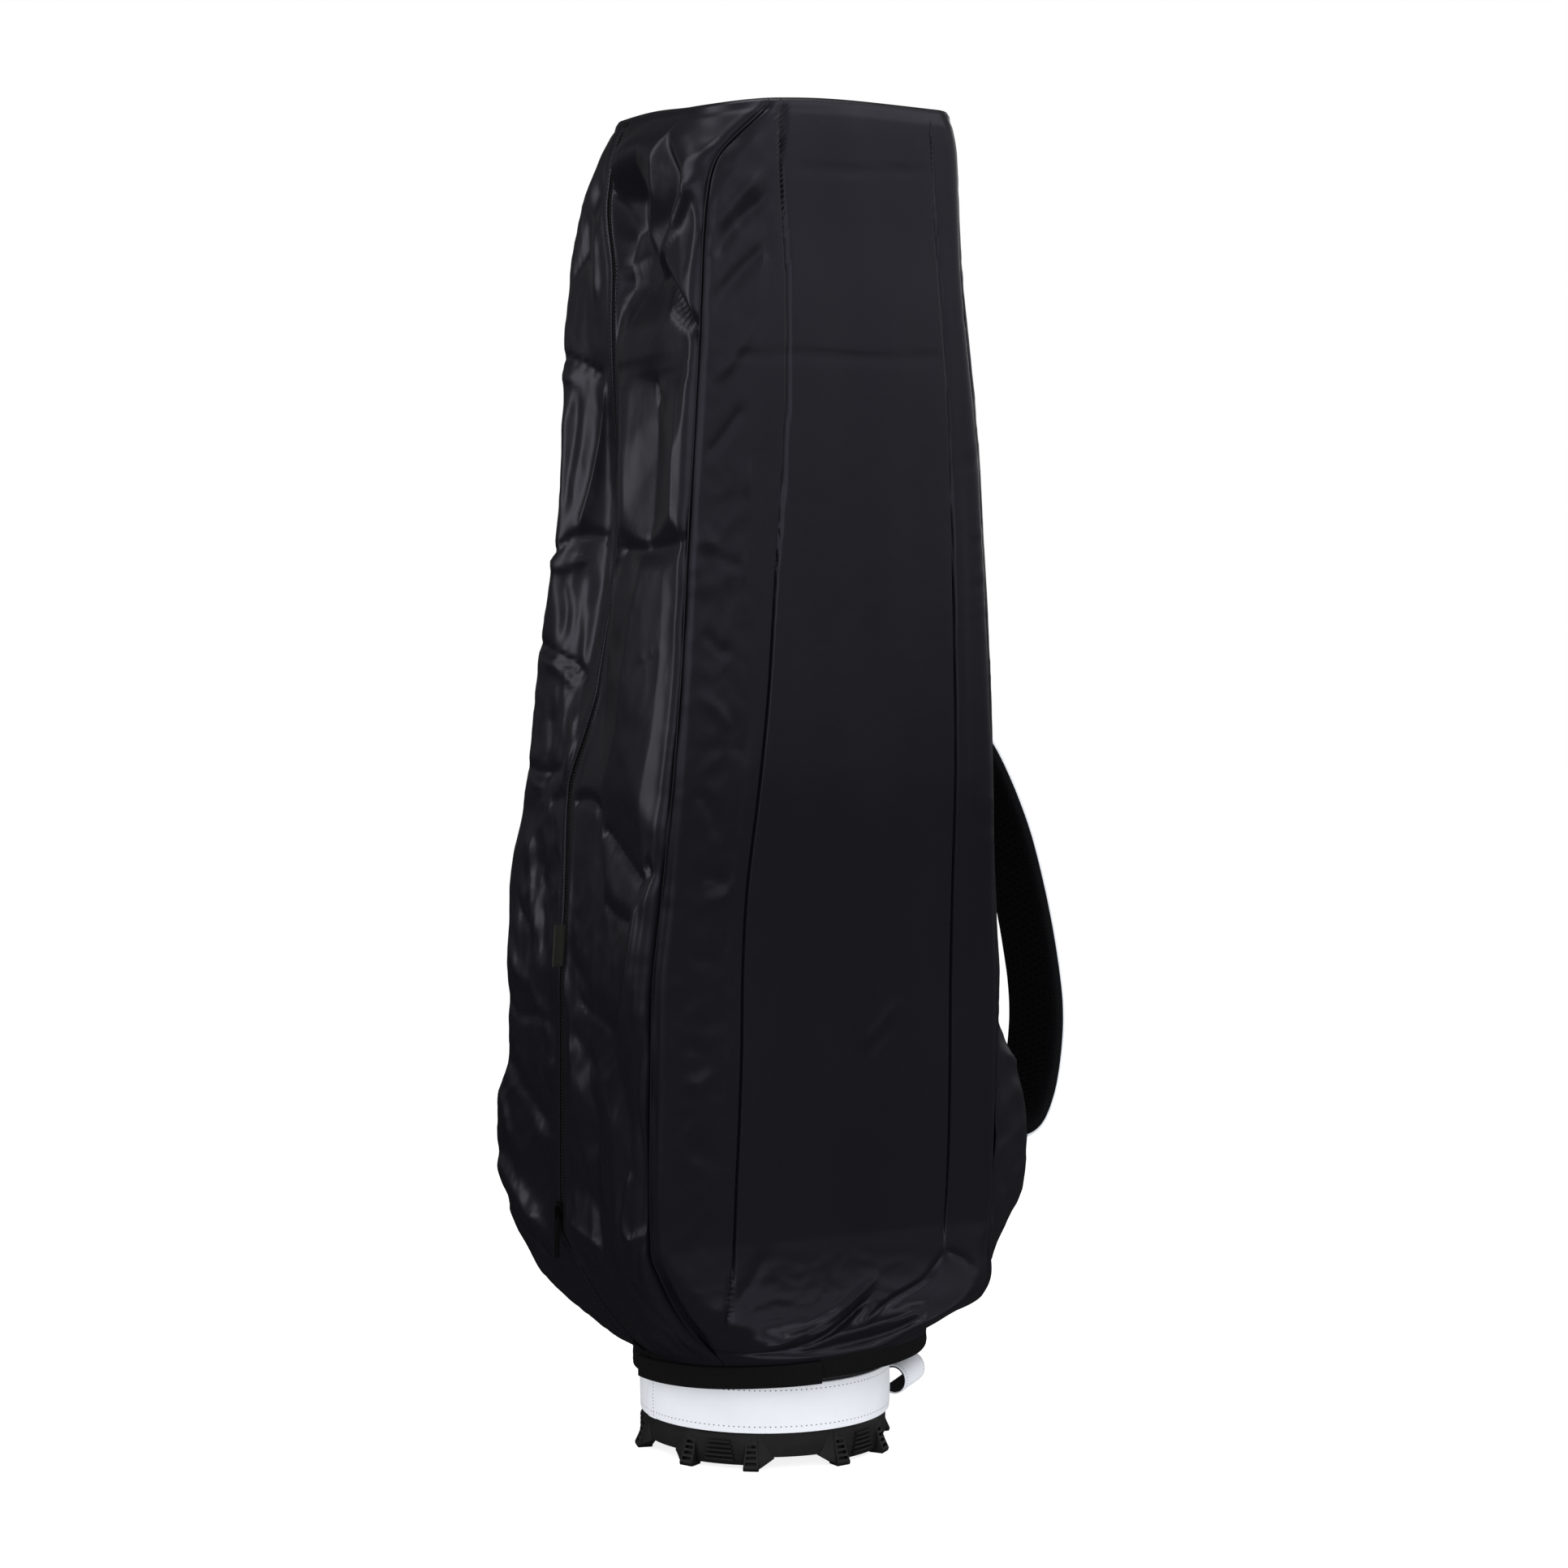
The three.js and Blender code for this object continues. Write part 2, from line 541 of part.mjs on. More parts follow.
function cornerPoint({ x, y, radius }, degrees, inset) {
  const angle = degToRad(degrees);
  const reach = Math.max(radius - inset, 0.5);
  return new THREE.Vector2(x + reach * Math.cos(angle), y + reach * Math.sin(angle));
}

// A point of a panel: u runs anticlockwise from seam to seam and `inset` lies inside the cloth.
function panelPoint(panel, u, z, inset) {
  const { corners, centre } = sectionAt(z);
  const from = corners[panel.from];
  const to = corners[panel.to];
  const flatStart = cornerPoint(from, panel.square, inset);
  const flatEnd = cornerPoint(to, panel.square, inset);
  let at;
  if (u < ARC_SHARE) {
    at = cornerPoint(from, lerp(panel.start(z), panel.square, u / ARC_SHARE), inset);
  } else if (u > 1 - ARC_SHARE) {
    at = cornerPoint(to, lerp(panel.square, panel.end(z), (u - 1 + ARC_SHARE) / ARC_SHARE), inset);
  } else {
    at = flatStart.lerp(flatEnd, (u - ARC_SHARE) / (1 - 2 * ARC_SHARE));
  }
  return at.add(centre);
}

// Slack cloth sinks beside the zip, and the strap's lower end pushes the right side out.
function dentAt(y, z) {
  const across = clamp(Math.abs(y - ZIP_OFFSET) / DENT.reach, 0, 1);
  const up = (z - DENT.height) / DENT.spread;
  return DENT.depth * Math.exp(-(up ** 2)) * Math.cos((Math.PI / 2) * across) ** 2;
}

// `across` is the share of the panel's flat run, from its front corner.
function bulgeAt(across, z) {
  const over = clamp(across / BULGE.share, 0, 1);
  const up = clamp(Math.abs(z - BULGE.height) / BULGE.reach, 0, 1);
  return BULGE.depth * Math.sin(Math.PI * over) * Math.cos((Math.PI / 2) * up) ** 2;
}

// One sewn panel, its edges half a seat short of each seam. `flats` are the shares of its flat run
// where its columns stand, and `relief` pushes it along x.
function clothPanel(panel, flats, relief = () => 0) {
  const rows = COVER_SECTIONS.map(([z]) => z);
  const arcs = Array.from({ length: ARC_COLUMNS }, (_, i) => (ARC_SHARE * i) / ARC_COLUMNS);
  const shares = [
    ...arcs,
    ...flats.map((flat) => lerp(ARC_SHARE, 1 - ARC_SHARE, flat)),
    ...arcs.map((arc) => 1 - arc).reverse(),
  ];
  return bentBlock(shares.length - 1, rows.length - 1, (u, v, w) => {
    const z = rows[Math.round(v * (rows.length - 1))];
    const inset = CLOTH * (1 - w);
    const share = shares[Math.round(u * (shares.length - 1))];
    const at = panelPoint(panel, share, z, inset);
    const ahead = panelPoint(panel, Math.min(share + SEAM_STEP, 1), z, inset);
    const behind = panelPoint(panel, Math.max(share - SEAM_STEP, 0), z, inset);
    const along = ahead.sub(behind).normalize();
    at.addScaledVector(along, SEAT * (0.5 - share));
    at.x += relief((share - ARC_SHARE) / (1 - 2 * ARC_SHARE), z);
    return hung(new THREE.Vector3(at.x, at.y, z));
  });
}

const EVEN_FLATS = [0, 0.25, 0.5, 0.75, 1];
const BULGED_FLATS = [...[0, 1 / 6, 2 / 6, 3 / 6, 4 / 6, 5 / 6, 1].map((step) => step * BULGE.share),
  0.45, 0.7, 1];
add('cover_front_panel', clothPanel(PANELS.front, EVEN_FLATS), NYLON);
add('cover_back_panel', clothPanel(PANELS.back, EVEN_FLATS), NYLON);

// The left side is two gussets, one on each side of the zip.
const ZIP_EDGE = CHAIN_WIDTH / 2 + SEAT;

function leftGusset(isFront) {
  const rows = COVER_SECTIONS.map(([z]) => z);
  const columns = 8;
  return bentBlock(columns, rows.length - 1, (u, v, w) => {
    const z = rows[Math.round(v * (rows.length - 1))];
    const inset = CLOTH * (1 - w);
    const { corners, centre, zip } = sectionAt(z);
    const corner = isFront ? corners.frontLeft : corners.backLeft;
    const share = isFront ? u : 1 - u;
    const arc = 0.25;
    const edge = cornerPoint(corner, 180, inset);
    const seam = isFront ? frontLeftSeam(z) : 135;
    let at;
    if (share > 1 - arc) {
      at = cornerPoint(corner, lerp(180, seam, (share - 1 + arc) / arc), inset);
      const back = degToRad(seam);
      const slip = (SEAT / 2) * ((share - 1 + arc) / arc);
      const sense = isFront ? 1 : -1;
      at.x += sense * slip * Math.sin(back);
      at.y -= sense * slip * Math.cos(back);
    } else {
      const zipEdge = isFront ? zip - ZIP_EDGE : zip + ZIP_EDGE;
      at = new THREE.Vector2(edge.x, lerp(zipEdge, edge.y, share / (1 - arc)));
    }
    at.add(new THREE.Vector2(centre.x + dentAt(at.y, z), centre.y));
    return hung(new THREE.Vector3(at.x, at.y, z));
  });
}
add('cover_left_front_gusset', leftGusset(true), NYLON);
add('cover_left_rear_gusset', leftGusset(false), NYLON);

// Openings in the right gusset that the strap's two ends pass through.
const leftAt = (z) => interpolate(COVER_SECTIONS, z)[1];
const rightAt = (z) => interpolate(COVER_SECTIONS, z)[2];

const portHalfWidth = (z) => {
  const swing = degToRad(STRAP_SWING);
  return (STRAP_WEBBING_WIDTH / 2) * Math.cos(swing)
    + Math.abs(rightAt(z) - HINGE_X) * Math.sin(swing) + PORT_CLEARANCE;
};

const PORTS = [
  { name: 'upper_strap_port_binding', z: UPPER_RING_Z - 3 },
  { name: 'lower_strap_port_binding', z: LOWER_RING_Z - 5 },
].map((port) => ({ ...port, width: 2 * portHalfWidth(port.z) }));

// A slab drawn across (Y) and up (Z) at a port, reaching from x = from to x = to.
const portSlab = (shape, port, depth) =>
  slab(shape, depth, 3).rotateX(Math.PI / 2).rotateZ(Math.PI / 2).translate(0, STRAP_Y, port.z);

function rightGusset() {
  const body = clothPanel(PANELS.right, BULGED_FLATS, bulgeAt);
  const tools = PORTS.map((port) =>
    portSlab(roundedRectangle(port.width, PORT_HEIGHT, 12), port, 60).translate(rightAt(port.z) - 30, 0, 0));
  return cut(body, ...tools);
}
add('cover_right_gusset', rightGusset(), NYLON);

PORTS.forEach((port) => {
  const frame = roundedRectangle(port.width + 2 * BINDING_WIDTH, PORT_HEIGHT + 2 * BINDING_WIDTH, 16);
  frame.holes.push(roundedRectangle(port.width, PORT_HEIGHT, 12, THREE.Path));
  const bound = mapped(portSlab(frame, port, BINDING_WALL), (at) =>
    at.setX(at.x + rightAt(at.z) + SEAT));
  add(port.name, bound, BLACK_WEBBING);
});

// Top panel: the cover's topmost section, crowned towards its middle.
function topPanel() {
  const z = COVER_TOP + SEAT;
  const spokes = ['front', 'right', 'back', 'left'].flatMap((side) =>
    Array.from({ length: 8 }, (_, i) => panelPoint(PANELS[side], i / 8, COVER_TOP, 0)));
  const middle = new THREE.Vector2(0, (spokes[0].y + spokes[20].y) / 2);
  const rings = [1, 0.75, 0.4];
  const underside = rings.map((r) => [r, 0]).reverse();
  const profile = [[0, 0], ...underside, ...rings.map((r) => [r, 1]), [0, 1]];
  return mapped(turned(profile, spokes.length), (at) => {
    const reach = Math.hypot(at.x, at.y);
    const turn = (Math.atan2(at.y, at.x) / (2 * Math.PI) + 1) % 1;
    const spoke = spokes[Math.round(turn * spokes.length) % spokes.length];
    const flat = middle.clone().lerp(spoke, reach);
    const rise = CROWN * (1 - reach ** 2);
    return new THREE.Vector3(flat.x, flat.y, z + rise + CLOTH * at.z);
  });
}
add('cover_top_panel', topPanel(), NYLON);

// ---------------------------------------------------------------- hem

const HEM_TOP = HEM_HEIGHT - SEAT;
const atHem = (point) => hung(point.add(new THREE.Vector3(HEM_CENTRE.x, HEM_CENTRE.y, 0)));

function hemBand() {
  const hoop = ring(HEM_RADIUS - WEBBING, HEM_RADIUS, HEM_TOP - HEM_BAND, HEM_TOP, 48);
  const split = box([-HEM_SPLIT / 2, -HEM_RADIUS - 5, 0], [HEM_SPLIT / 2, 0, HEM_HEIGHT + 5])
    .rotateZ(degToRad(HEM_SPLIT_AZIMUTH));
  return mapped(cut(hoop, split), atHem);
}
add('hem_band', hemBand(), BLACK_WEBBING);

// The hook-and-loop strap that bridges the split and closes the hem at the front.
function closureTab() {
  const inner = HEM_RADIUS + SEAT;
  return bentBlock(14, 1, (u, v, w) => {
    const azimuth = lerp(TAB_ROOT_AZIMUTH, TAB_END_AZIMUTH, u);
    return atHem(polar(azimuth, inner + w * WEBBING, HEM_TOP - TAB_DROP - HEM_BAND * (1 - v)));
  });
}
add('hem_closure_tab', closureTab(), BLACK_WEBBING);

// ---------------------------------------------------------------- zip

// A point on the zip line: `across` towards the back, `out` proud of the cloth.
const zipPoint = (across, z, out) => {
  const { centre, zip } = sectionAt(z);
  const y = zip + across;
  const x = -leftAt(z) - out + dentAt(zip, z);
  return hung(new THREE.Vector3(x + centre.x, y + centre.y, z));
};

function zipStrip(bottom, top, width, from, to) {
  const rows = [bottom, ...COVER_SECTIONS.map(([z]) => z).filter((z) => z > bottom && z < top), top];
  return bentBlock(1, rows.length - 1, (u, v, w) =>
    zipPoint((0.5 - u) * width, rows[Math.round(v * (rows.length - 1))], lerp(from, to, w)));
}
add('zip_chain', zipStrip(HEM_HEIGHT, COVER_TOP, CHAIN_WIDTH, -CLOTH, CHAIN_PROUD), PLASTIC);
add('zip_bottom_stop', zipStrip(HEM_HEIGHT + 3, HEM_HEIGHT + 11, CHAIN_WIDTH + 1.4,
  CHAIN_PROUD + SEAT, CHAIN_PROUD + SEAT + 2), ZINC);

// Slider pieces are drawn with x out of the cloth, y across and z up, from the zip line.
const SLIDER_BACK = CHAIN_PROUD + SEAT;
const SLIDER_FACE = SLIDER_BACK + SLIDER_WALL;
const HINGE_OUT = SLIDER_FACE + 1.2;
const HINGE_UP = 2.3;
const BRIDGE_REACH = 5.6;
const BRIDGE_WIDTH = 3;
const EYE_HALF = BRIDGE_WIDTH / 2 + 0.5;

const onZip = (geometry) => {
  const { x, y, z } = zipPoint(0, SLIDER_REST, 0);
  return geometry.rotateZ(Math.PI).translate(x, y, z);
};

function slider() {
  const [w, h] = [SLIDER_WIDTH / 2, SLIDER_HEIGHT / 2];
  const shoe = outline([[-0.66 * w, -h], [0.66 * w, -h], [w, -0.2 * h], [w, h], [0.3 * w, h],
    [0, 0.72 * h], [-0.3 * w, h], [-w, h], [-w, -0.2 * h]]);
  const body = slab(shoe, SLIDER_WALL).rotateX(Math.PI / 2).rotateZ(Math.PI / 2).translate(SLIDER_BACK, 0, 0);
  const top = HINGE_OUT + 1.3;
  const bridge = outline([
    [SLIDER_FACE - 0.5, -BRIDGE_REACH], [top + BRIDGE_WALL, -BRIDGE_REACH + 1.4],
    [top + BRIDGE_WALL, BRIDGE_REACH - 1.4], [SLIDER_FACE - 0.5, BRIDGE_REACH],
    [SLIDER_FACE - 0.5, BRIDGE_REACH - BRIDGE_WALL], [top, BRIDGE_REACH - BRIDGE_WALL - 1],
    [top, -BRIDGE_REACH + BRIDGE_WALL + 1], [SLIDER_FACE - 0.5, -BRIDGE_REACH + BRIDGE_WALL],
  ]);
  return onZip(join(body, upright(bridge, -BRIDGE_WIDTH / 2, BRIDGE_WIDTH / 2)));
}
add('zip_slider', slider(), ZINC);

function puller() {
  const arm = 1.3;
  const half = EYE_HALF + arm;
  const tabTop = -BRIDGE_REACH - 2.6;
  const plate = outline([[-half, HINGE_UP + 0.7], [-half, tabTop], [-PULLER_WIDTH / 2, tabTop - 3],
    [-PULLER_WIDTH / 2, tabTop - PULLER_LENGTH + 2], [-PULLER_WIDTH / 2 + 2, tabTop - PULLER_LENGTH],
    [PULLER_WIDTH / 2 - 2, tabTop - PULLER_LENGTH], [PULLER_WIDTH / 2, tabTop - PULLER_LENGTH + 2],
    [PULLER_WIDTH / 2, tabTop - 3], [half, tabTop], [half, HINGE_UP + 0.7]]);
  plate.holes.push(outline([[-EYE_HALF, HINGE_UP - 0.7], [EYE_HALF, HINGE_UP - 0.7],
    [EYE_HALF, tabTop + 1], [-EYE_HALF, tabTop + 1]]));
  const body = slab(plate, PULLER_WALL).rotateX(Math.PI / 2).rotateZ(Math.PI / 2)
    .translate(HINGE_OUT - PULLER_WALL / 2, 0, 0);
  return onZip(body);
}
add('zip_puller', puller(), ZINC);

// Small sewn tag that stands out of the zip seam.
function sideTag() {
  const { x, y } = zipPoint(-ZIP_EDGE - 1, TAG.centre, 0);
  const [low, high] = [TAG.centre - TAG.height / 2, TAG.centre + TAG.height / 2];
  const lean = (z) => leftAt(z) - leftAt(TAG.centre);
  return bentBlock(4, 2, (u, v, w) => {
    const z = lerp(low, high, v);
    const out = SEAT + u * TAG.width;
    return new THREE.Vector3(x - lean(z) - out, y - 3 * u * u - w * TAG.wall, z);
  });
}
add('side_tag', sideTag(), BLACK_WEBBING);

// ---------------------------------------------------------------- pockets

// How far the cover's inside lies from the bag's axis, on a side and at a height. Under the
// shoulder the cover leans towards its hem, so the section is read lower down.
function coverReach({ azimuth }, z) {
  const lean = 1.4 * HEM_TILT * hemFade(z);
  const [, left, right, , back] = interpolate(COVER_SECTIONS, z - lean);
  const shift = HEM_CENTRE.length() * hemFade(z - lean);
  const reach = { [-90]: left, 90: right, 180: back }[azimuth];
  return reach - shift - CLOTH - SEAT;
}

// Profile of a pocket from bottom to top: [distance from the axis, height].
function pocketProfile(pocket, shrink) {
  const { bottom, top, standoff = Infinity } = pocket;
  const heights = COVER_SECTIONS.map(([z]) => z).filter((z) => z > bottom + 12 && z < top - 25);
  const reach = (z) => Math.min(coverReach(pocket, z), TUBE_RADIUS + standoff);
  const lip = TUBE_RADIUS + 8;
  return [
    [lip - shrink, bottom + shrink],
    [lerp(lip, reach(bottom + 4), 0.8) - shrink, bottom + 4 + shrink],
    ...heights.map((z) => [reach(z) - shrink, z]),
    [lerp(lip, reach(top - 25), 0.75) - shrink, top - 8 - shrink],
    [lip - shrink, top - shrink],
  ];
}

// Drawn on the -Y side of the bag, open towards the tube, and then turned to its azimuth.
function pocketShell(pocket) {
  const prism = (shrink, inner) => {
    const points = pocketProfile(pocket, shrink);
    const closed = [...points.map(([r, z]) => [r, z]), [inner, points.at(-1)[1]], [inner, points[0][1]]];
    const half = pocket.width / 2 - shrink;
    return upright(outline(closed), -half, half).rotateZ(-Math.PI / 2).translate(pocket.shift, 0, 0);
  };
  const inner = 0.72 * TUBE_RADIUS;
  const tube = disc(TUBE_RADIUS + SEAT, pocket.bottom - 10, pocket.top + 10);
  const shell = cut(prism(0, inner), prism(POCKET_WALL, inner - 5), tube, pocketZipSlot(pocket));
  return shell.rotateZ(degToRad(pocket.azimuth));
}

// The zip runs up one side wall, between the pocket's rounded ends.
const pocketZip = (pocket) => {
  const [low, high] = [pocket.bottom + 50, pocket.top - 60];
  const profile = pocketProfile(pocket, 0).map(([r, z]) => [z, r]);
  const nearest = Math.min(interpolate(profile, low)[1], interpolate(profile, high)[1]);
  return {
    low,
    high,
    depth: nearest - POCKET_ZIP_INSET,
    wall: pocket.shift + pocket.width / 2,
  };
};

function pocketZipSlot(pocket) {
  const { low, high, depth, wall } = pocketZip(pocket);
  const half = POCKET_ZIP / 2;
  return box([wall - POCKET_WALL - 1, -depth - half, low], [wall + 1, -depth + half, high]);
}

function pocketZipChain(pocket) {
  const { low, high, depth, wall } = pocketZip(pocket);
  const half = POCKET_ZIP / 2 - SEAT;
  return box([wall - POCKET_WALL, -depth - half, low + SEAT], [wall, -depth + half, high - SEAT])
    .rotateZ(degToRad(pocket.azimuth));
}

function pocketSlider(pocket) {
  const { low, depth, wall } = pocketZip(pocket);
  const half = SLIDER_WIDTH / 2;
  const shoe = box([wall + SEAT, -depth - half, low], [wall + 2.6, -depth + half, low + SLIDER_HEIGHT]);
  const pull = box([wall + 2, -depth - 2.5, low - 22], [wall + 3.6, -depth + 2.5, low + 12]);
  return join(shoe, pull).rotateZ(degToRad(pocket.azimuth));
}

const POCKETS = [
  { name: 'left_ball_pocket', azimuth: -90, ...LEFT_POCKET },
  { name: 'back_garment_pocket', azimuth: 180, ...BACK_POCKET },
  { name: 'right_valuables_pocket', azimuth: 90, ...RIGHT_POCKET },
];

POCKETS.forEach((pocket) => {
  add(pocket.name, pocketShell(pocket), BAG_CLOTH);
  add(`${pocket.name}_zip_chain`, pocketZipChain(pocket), PLASTIC);
  add(`${pocket.name}_slider`, pocketSlider(pocket), ZINC);
});

// ---------------------------------------------------------------- shoulder strap

const BAR = RING_BAR / 2;
const EYE_REACH = (STRAP_WEBBING_WIDTH / 2) * Math.tan(degToRad(STRAP_SWING))
  + BAR / Math.cos(degToRad(STRAP_SWING)) + 0.4;
const EYE_WALL = 2;
const EYE_HEIGHT = RING_BAR + 2 * SEAT;
const HALF_WEBBING = STRAP_WEBBING_WIDTH / 2;

// Rectangular ring: its outer bar lies on the hinge line, its inner bar holds the anchor.
const RING_HOLE_END = HINGE_X - BAR;
const RING_HOLE_START = HINGE_X - EYE_REACH - EYE_WALL - 2.2
  - HALF_WEBBING * Math.sin(degToRad(STRAP_SWING));
const RING_HALF_HOLE = HALF_WEBBING + 4;

function strapRing(z) {
  const frame = outline([
    [RING_HOLE_START - RING_BAR, -RING_HALF_HOLE - RING_BAR], [HINGE_X + BAR, -RING_HALF_HOLE - RING_BAR],
    [HINGE_X + BAR, RING_HALF_HOLE + RING_BAR], [RING_HOLE_START - RING_BAR, RING_HALF_HOLE + RING_BAR],
  ]);
  frame.holes.push(outline([
    [RING_HOLE_START, -RING_HALF_HOLE], [RING_HOLE_END, -RING_HALF_HOLE],
    [RING_HOLE_END, RING_HALF_HOLE], [RING_HOLE_START, RING_HALF_HOLE],
  ]));
  return slab(frame, RING_BAR).translate(0, STRAP_Y, z - BAR);
}

// Webbing loop round a bar, drawn in the XZ plane about the bar's middle.
function webbingEye(x, z, reach, wall, half) {
  const eye = roundedRectangle(2 * (reach + wall), EYE_HEIGHT + 2 * EYE_WALL, EYE_WALL);
  eye.holes.push(roundedRectangle(2 * reach, EYE_HEIGHT, 1, THREE.Path));
  return upright(eye, STRAP_Y - half, STRAP_Y + half, 2).translate(x, 0, z);
}

function strapAnchor(z) {
  const innerBar = RING_HOLE_START - BAR;
  const eye = webbingEye(innerBar, z, BAR + SEAT, EYE_WALL, HALF_WEBBING);
  const tongue = box([0.8 * TUBE_RADIUS, STRAP_Y - HALF_WEBBING, z - 2],
    [innerBar - BAR - SEAT - 1, STRAP_Y + HALF_WEBBING, z + 2]);
  const patchFace = TUBE_RADIUS + SEAT + 3;
  const patch = box([0.8 * TUBE_RADIUS, STRAP_Y - HALF_WEBBING, z - 26],
    [patchFace, STRAP_Y + HALF_WEBBING, z + 10]);
  return cut(join(eye, tongue, patch), disc(TUBE_RADIUS + SEAT, z - 40, z + 40));
}

[['upper', UPPER_RING_Z], ['lower', LOWER_RING_Z]].forEach(([end, z]) => {
  add(`${end}_strap_anchor`, strapAnchor(z), BLACK_WEBBING);
  add(`${end}_strap_ring`, strapRing(z), STEEL);
});

const inStrapPlane = ([x, z]) => new THREE.Vector3(x, STRAP_Y, z);
const strapNormal = (tangent) => new THREE.Vector3(-tangent.z, 0, tangent.x);

// A band along a route in the strap's plane, `lift` from its middle line, with its own width.
function strapBand(route, columns, widthAt, from, to, across = 2) {
  const curve = new THREE.CatmullRomCurve3(route.map(inStrapPlane));
  const length = curve.getLength();
  return bentBlock(columns, across, (u, v, w) => {
    const share = 0.5 - 0.5 * Math.cos(Math.PI * u);
    const at = curve.getPointAt(share);
    const out = strapNormal(curve.getTangentAt(share));
    const offset = (v - 0.5) * widthAt(share * length, length);
    return at.addScaledVector(out, lerp(from, to, w)).setY(STRAP_Y + offset);
  });
}

// The pad's ends are rounded down to the webbing's width.
function padWidth(along, length) {
  const radius = STRAP_WIDTH / 2;
  const lead = radius - Math.sqrt(radius ** 2 - (HALF_WEBBING + 1) ** 2);
  const fromEnd = Math.min(along, length - along) + lead;
  return fromEnd >= radius ? STRAP_WIDTH : 2 * Math.sqrt(radius ** 2 - (radius - fromEnd) ** 2);
}

const padLayer = (from, to) => strapBand(PAD_ROUTE, 16, padWidth, from, to, 4);
const HALF_FOAM = STRAP_FOAM / 2;
// The route runs downwards, so the normal points away from the bag.
add('strap_foam_pad', padLayer(-HALF_FOAM, HALF_FOAM), FOAM);
add('strap_mesh_lining', padLayer(-HALF_FOAM - SEAT - STRAP_SKIN, -HALF_FOAM - SEAT), LINING);
add('strap_outer_face', padLayer(HALF_FOAM + SEAT, HALF_FOAM + SEAT + STRAP_SKIN), WHITE_LEATHER);

const shortOf = ([x, z], [towardsX, towardsZ], gap) => {
  const step = new THREE.Vector2(x - towardsX, z - towardsZ).normalize().multiplyScalar(gap);
  return [x + step.x, z + step.y];
};
const EYE_TIP = HINGE_X + EYE_REACH + EYE_WALL - 1;
const UPPER_ROUTE = [[EYE_TIP, UPPER_RING_Z], [HINGE_X + 24, UPPER_RING_Z - 3],
  [HINGE_X + 40, UPPER_RING_Z - 17], shortOf(PAD_ROUTE[0], PAD_ROUTE[1], SEAT)];
const LOWER_ROUTE = [[EYE_TIP, LOWER_RING_Z], [HINGE_X + 36, LOWER_RING_Z - 9],
  [HINGE_X + 68, LOWER_RING_Z - 27], [HINGE_X + 98, LOWER_RING_Z - 32],
  shortOf(PAD_ROUTE.at(-1), PAD_ROUTE.at(-2), SEAT)];

const strapWebbing = (route, z) => join(
  webbingEye(HINGE_X, z, EYE_REACH, EYE_WALL, HALF_WEBBING),
  strapBand(route, 10, () => STRAP_WEBBING_WIDTH, -STRAP_WEBBING / 2, STRAP_WEBBING / 2, 1),
);
add('upper_strap_webbing', strapWebbing(UPPER_ROUTE, UPPER_RING_Z), BLACK_WEBBING);
add('lower_strap_webbing', strapWebbing(LOWER_ROUTE, LOWER_RING_Z), BLACK_WEBBING);

// Slide adjuster that the lower webbing runs through.
function keeper() {
  const curve = new THREE.CatmullRomCurve3(LOWER_ROUTE.map(inStrapPlane));
  const share = 0.43;
  const at = curve.getPointAt(share);
  const along = curve.getTangentAt(share);
  const hole = [STRAP_WEBBING_WIDTH + 2 * SEAT, STRAP_WEBBING + 2 * KEEPER_CLEARANCE];
  const frame = roundedRectangle(hole[0] + 2 * KEEPER_WALL, hole[1] + 2 * KEEPER_WALL, 1.8);
  frame.holes.push(roundedRectangle(hole[0], hole[1], 0.2, THREE.Path));
  return slab(frame, KEEPER_LENGTH, 2).translate(0, 0, -KEEPER_LENGTH / 2)
    .rotateZ(Math.PI / 2).rotateY(Math.atan2(along.x, along.z)).translate(at.x, at.y, at.z);
}
add('strap_adjuster', keeper(), PLASTIC);

// ---------------------------------------------------------------- bottom lift handle

// Drawn with the curl's axis along y, x away from the bag and z up, then set beside the band.
const LOOP_ENDS = [-140, 100]; // the curl is open towards the bag
const LOOP_TAIL = 8; // how far its upper end runs on to the anchor

function loopLayer(inner, wall) {
  const [start, end] = LOOP_ENDS.map(degToRad);
  const tail = new THREE.Vector2(-Math.sin(end), Math.cos(end)).multiplyScalar(LOOP_TAIL);
  const curl = new THREE.Shape();
  curl.absarc(0, 0, inner + wall, start, end, false);
  curl.lineTo(curl.currentPoint.x + tail.x, curl.currentPoint.y + tail.y);
  curl.lineTo(inner * Math.cos(end) + tail.x, inner * Math.sin(end) + tail.y);
  curl.absarc(0, 0, inner, end, start, true);
  return curl;
}

// Sets a shape drawn about the curl's middle in its place, rising along the curl.
const placeLoop = (geometry) => {
  const { x, y } = polar(LOOP_AZIMUTH, TUBE_RADIUS + LOOP_STANDOFF, 0);
  const risen = mapped(geometry, (at) => at.setZ(at.z + (at.y / LOOP_WIDTH) * LOOP_RISE));
  return risen.rotateZ(degToRad(LOOP_HEADING - 90)).translate(x, y, LOOP_Z);
};

const loopStrip = (inner, wall) => placeLoop(upright(loopLayer(inner, wall), 0, LOOP_WIDTH, 10));
const LOOP_FACE_RADIUS = LOOP_RADIUS + LOOP_LINING + SEAT;
add('lift_handle_lining', loopStrip(LOOP_RADIUS, LOOP_LINING), LINING);
add('lift_handle_face', loopStrip(LOOP_FACE_RADIUS, LOOP_FACE), WHITE_LEATHER);

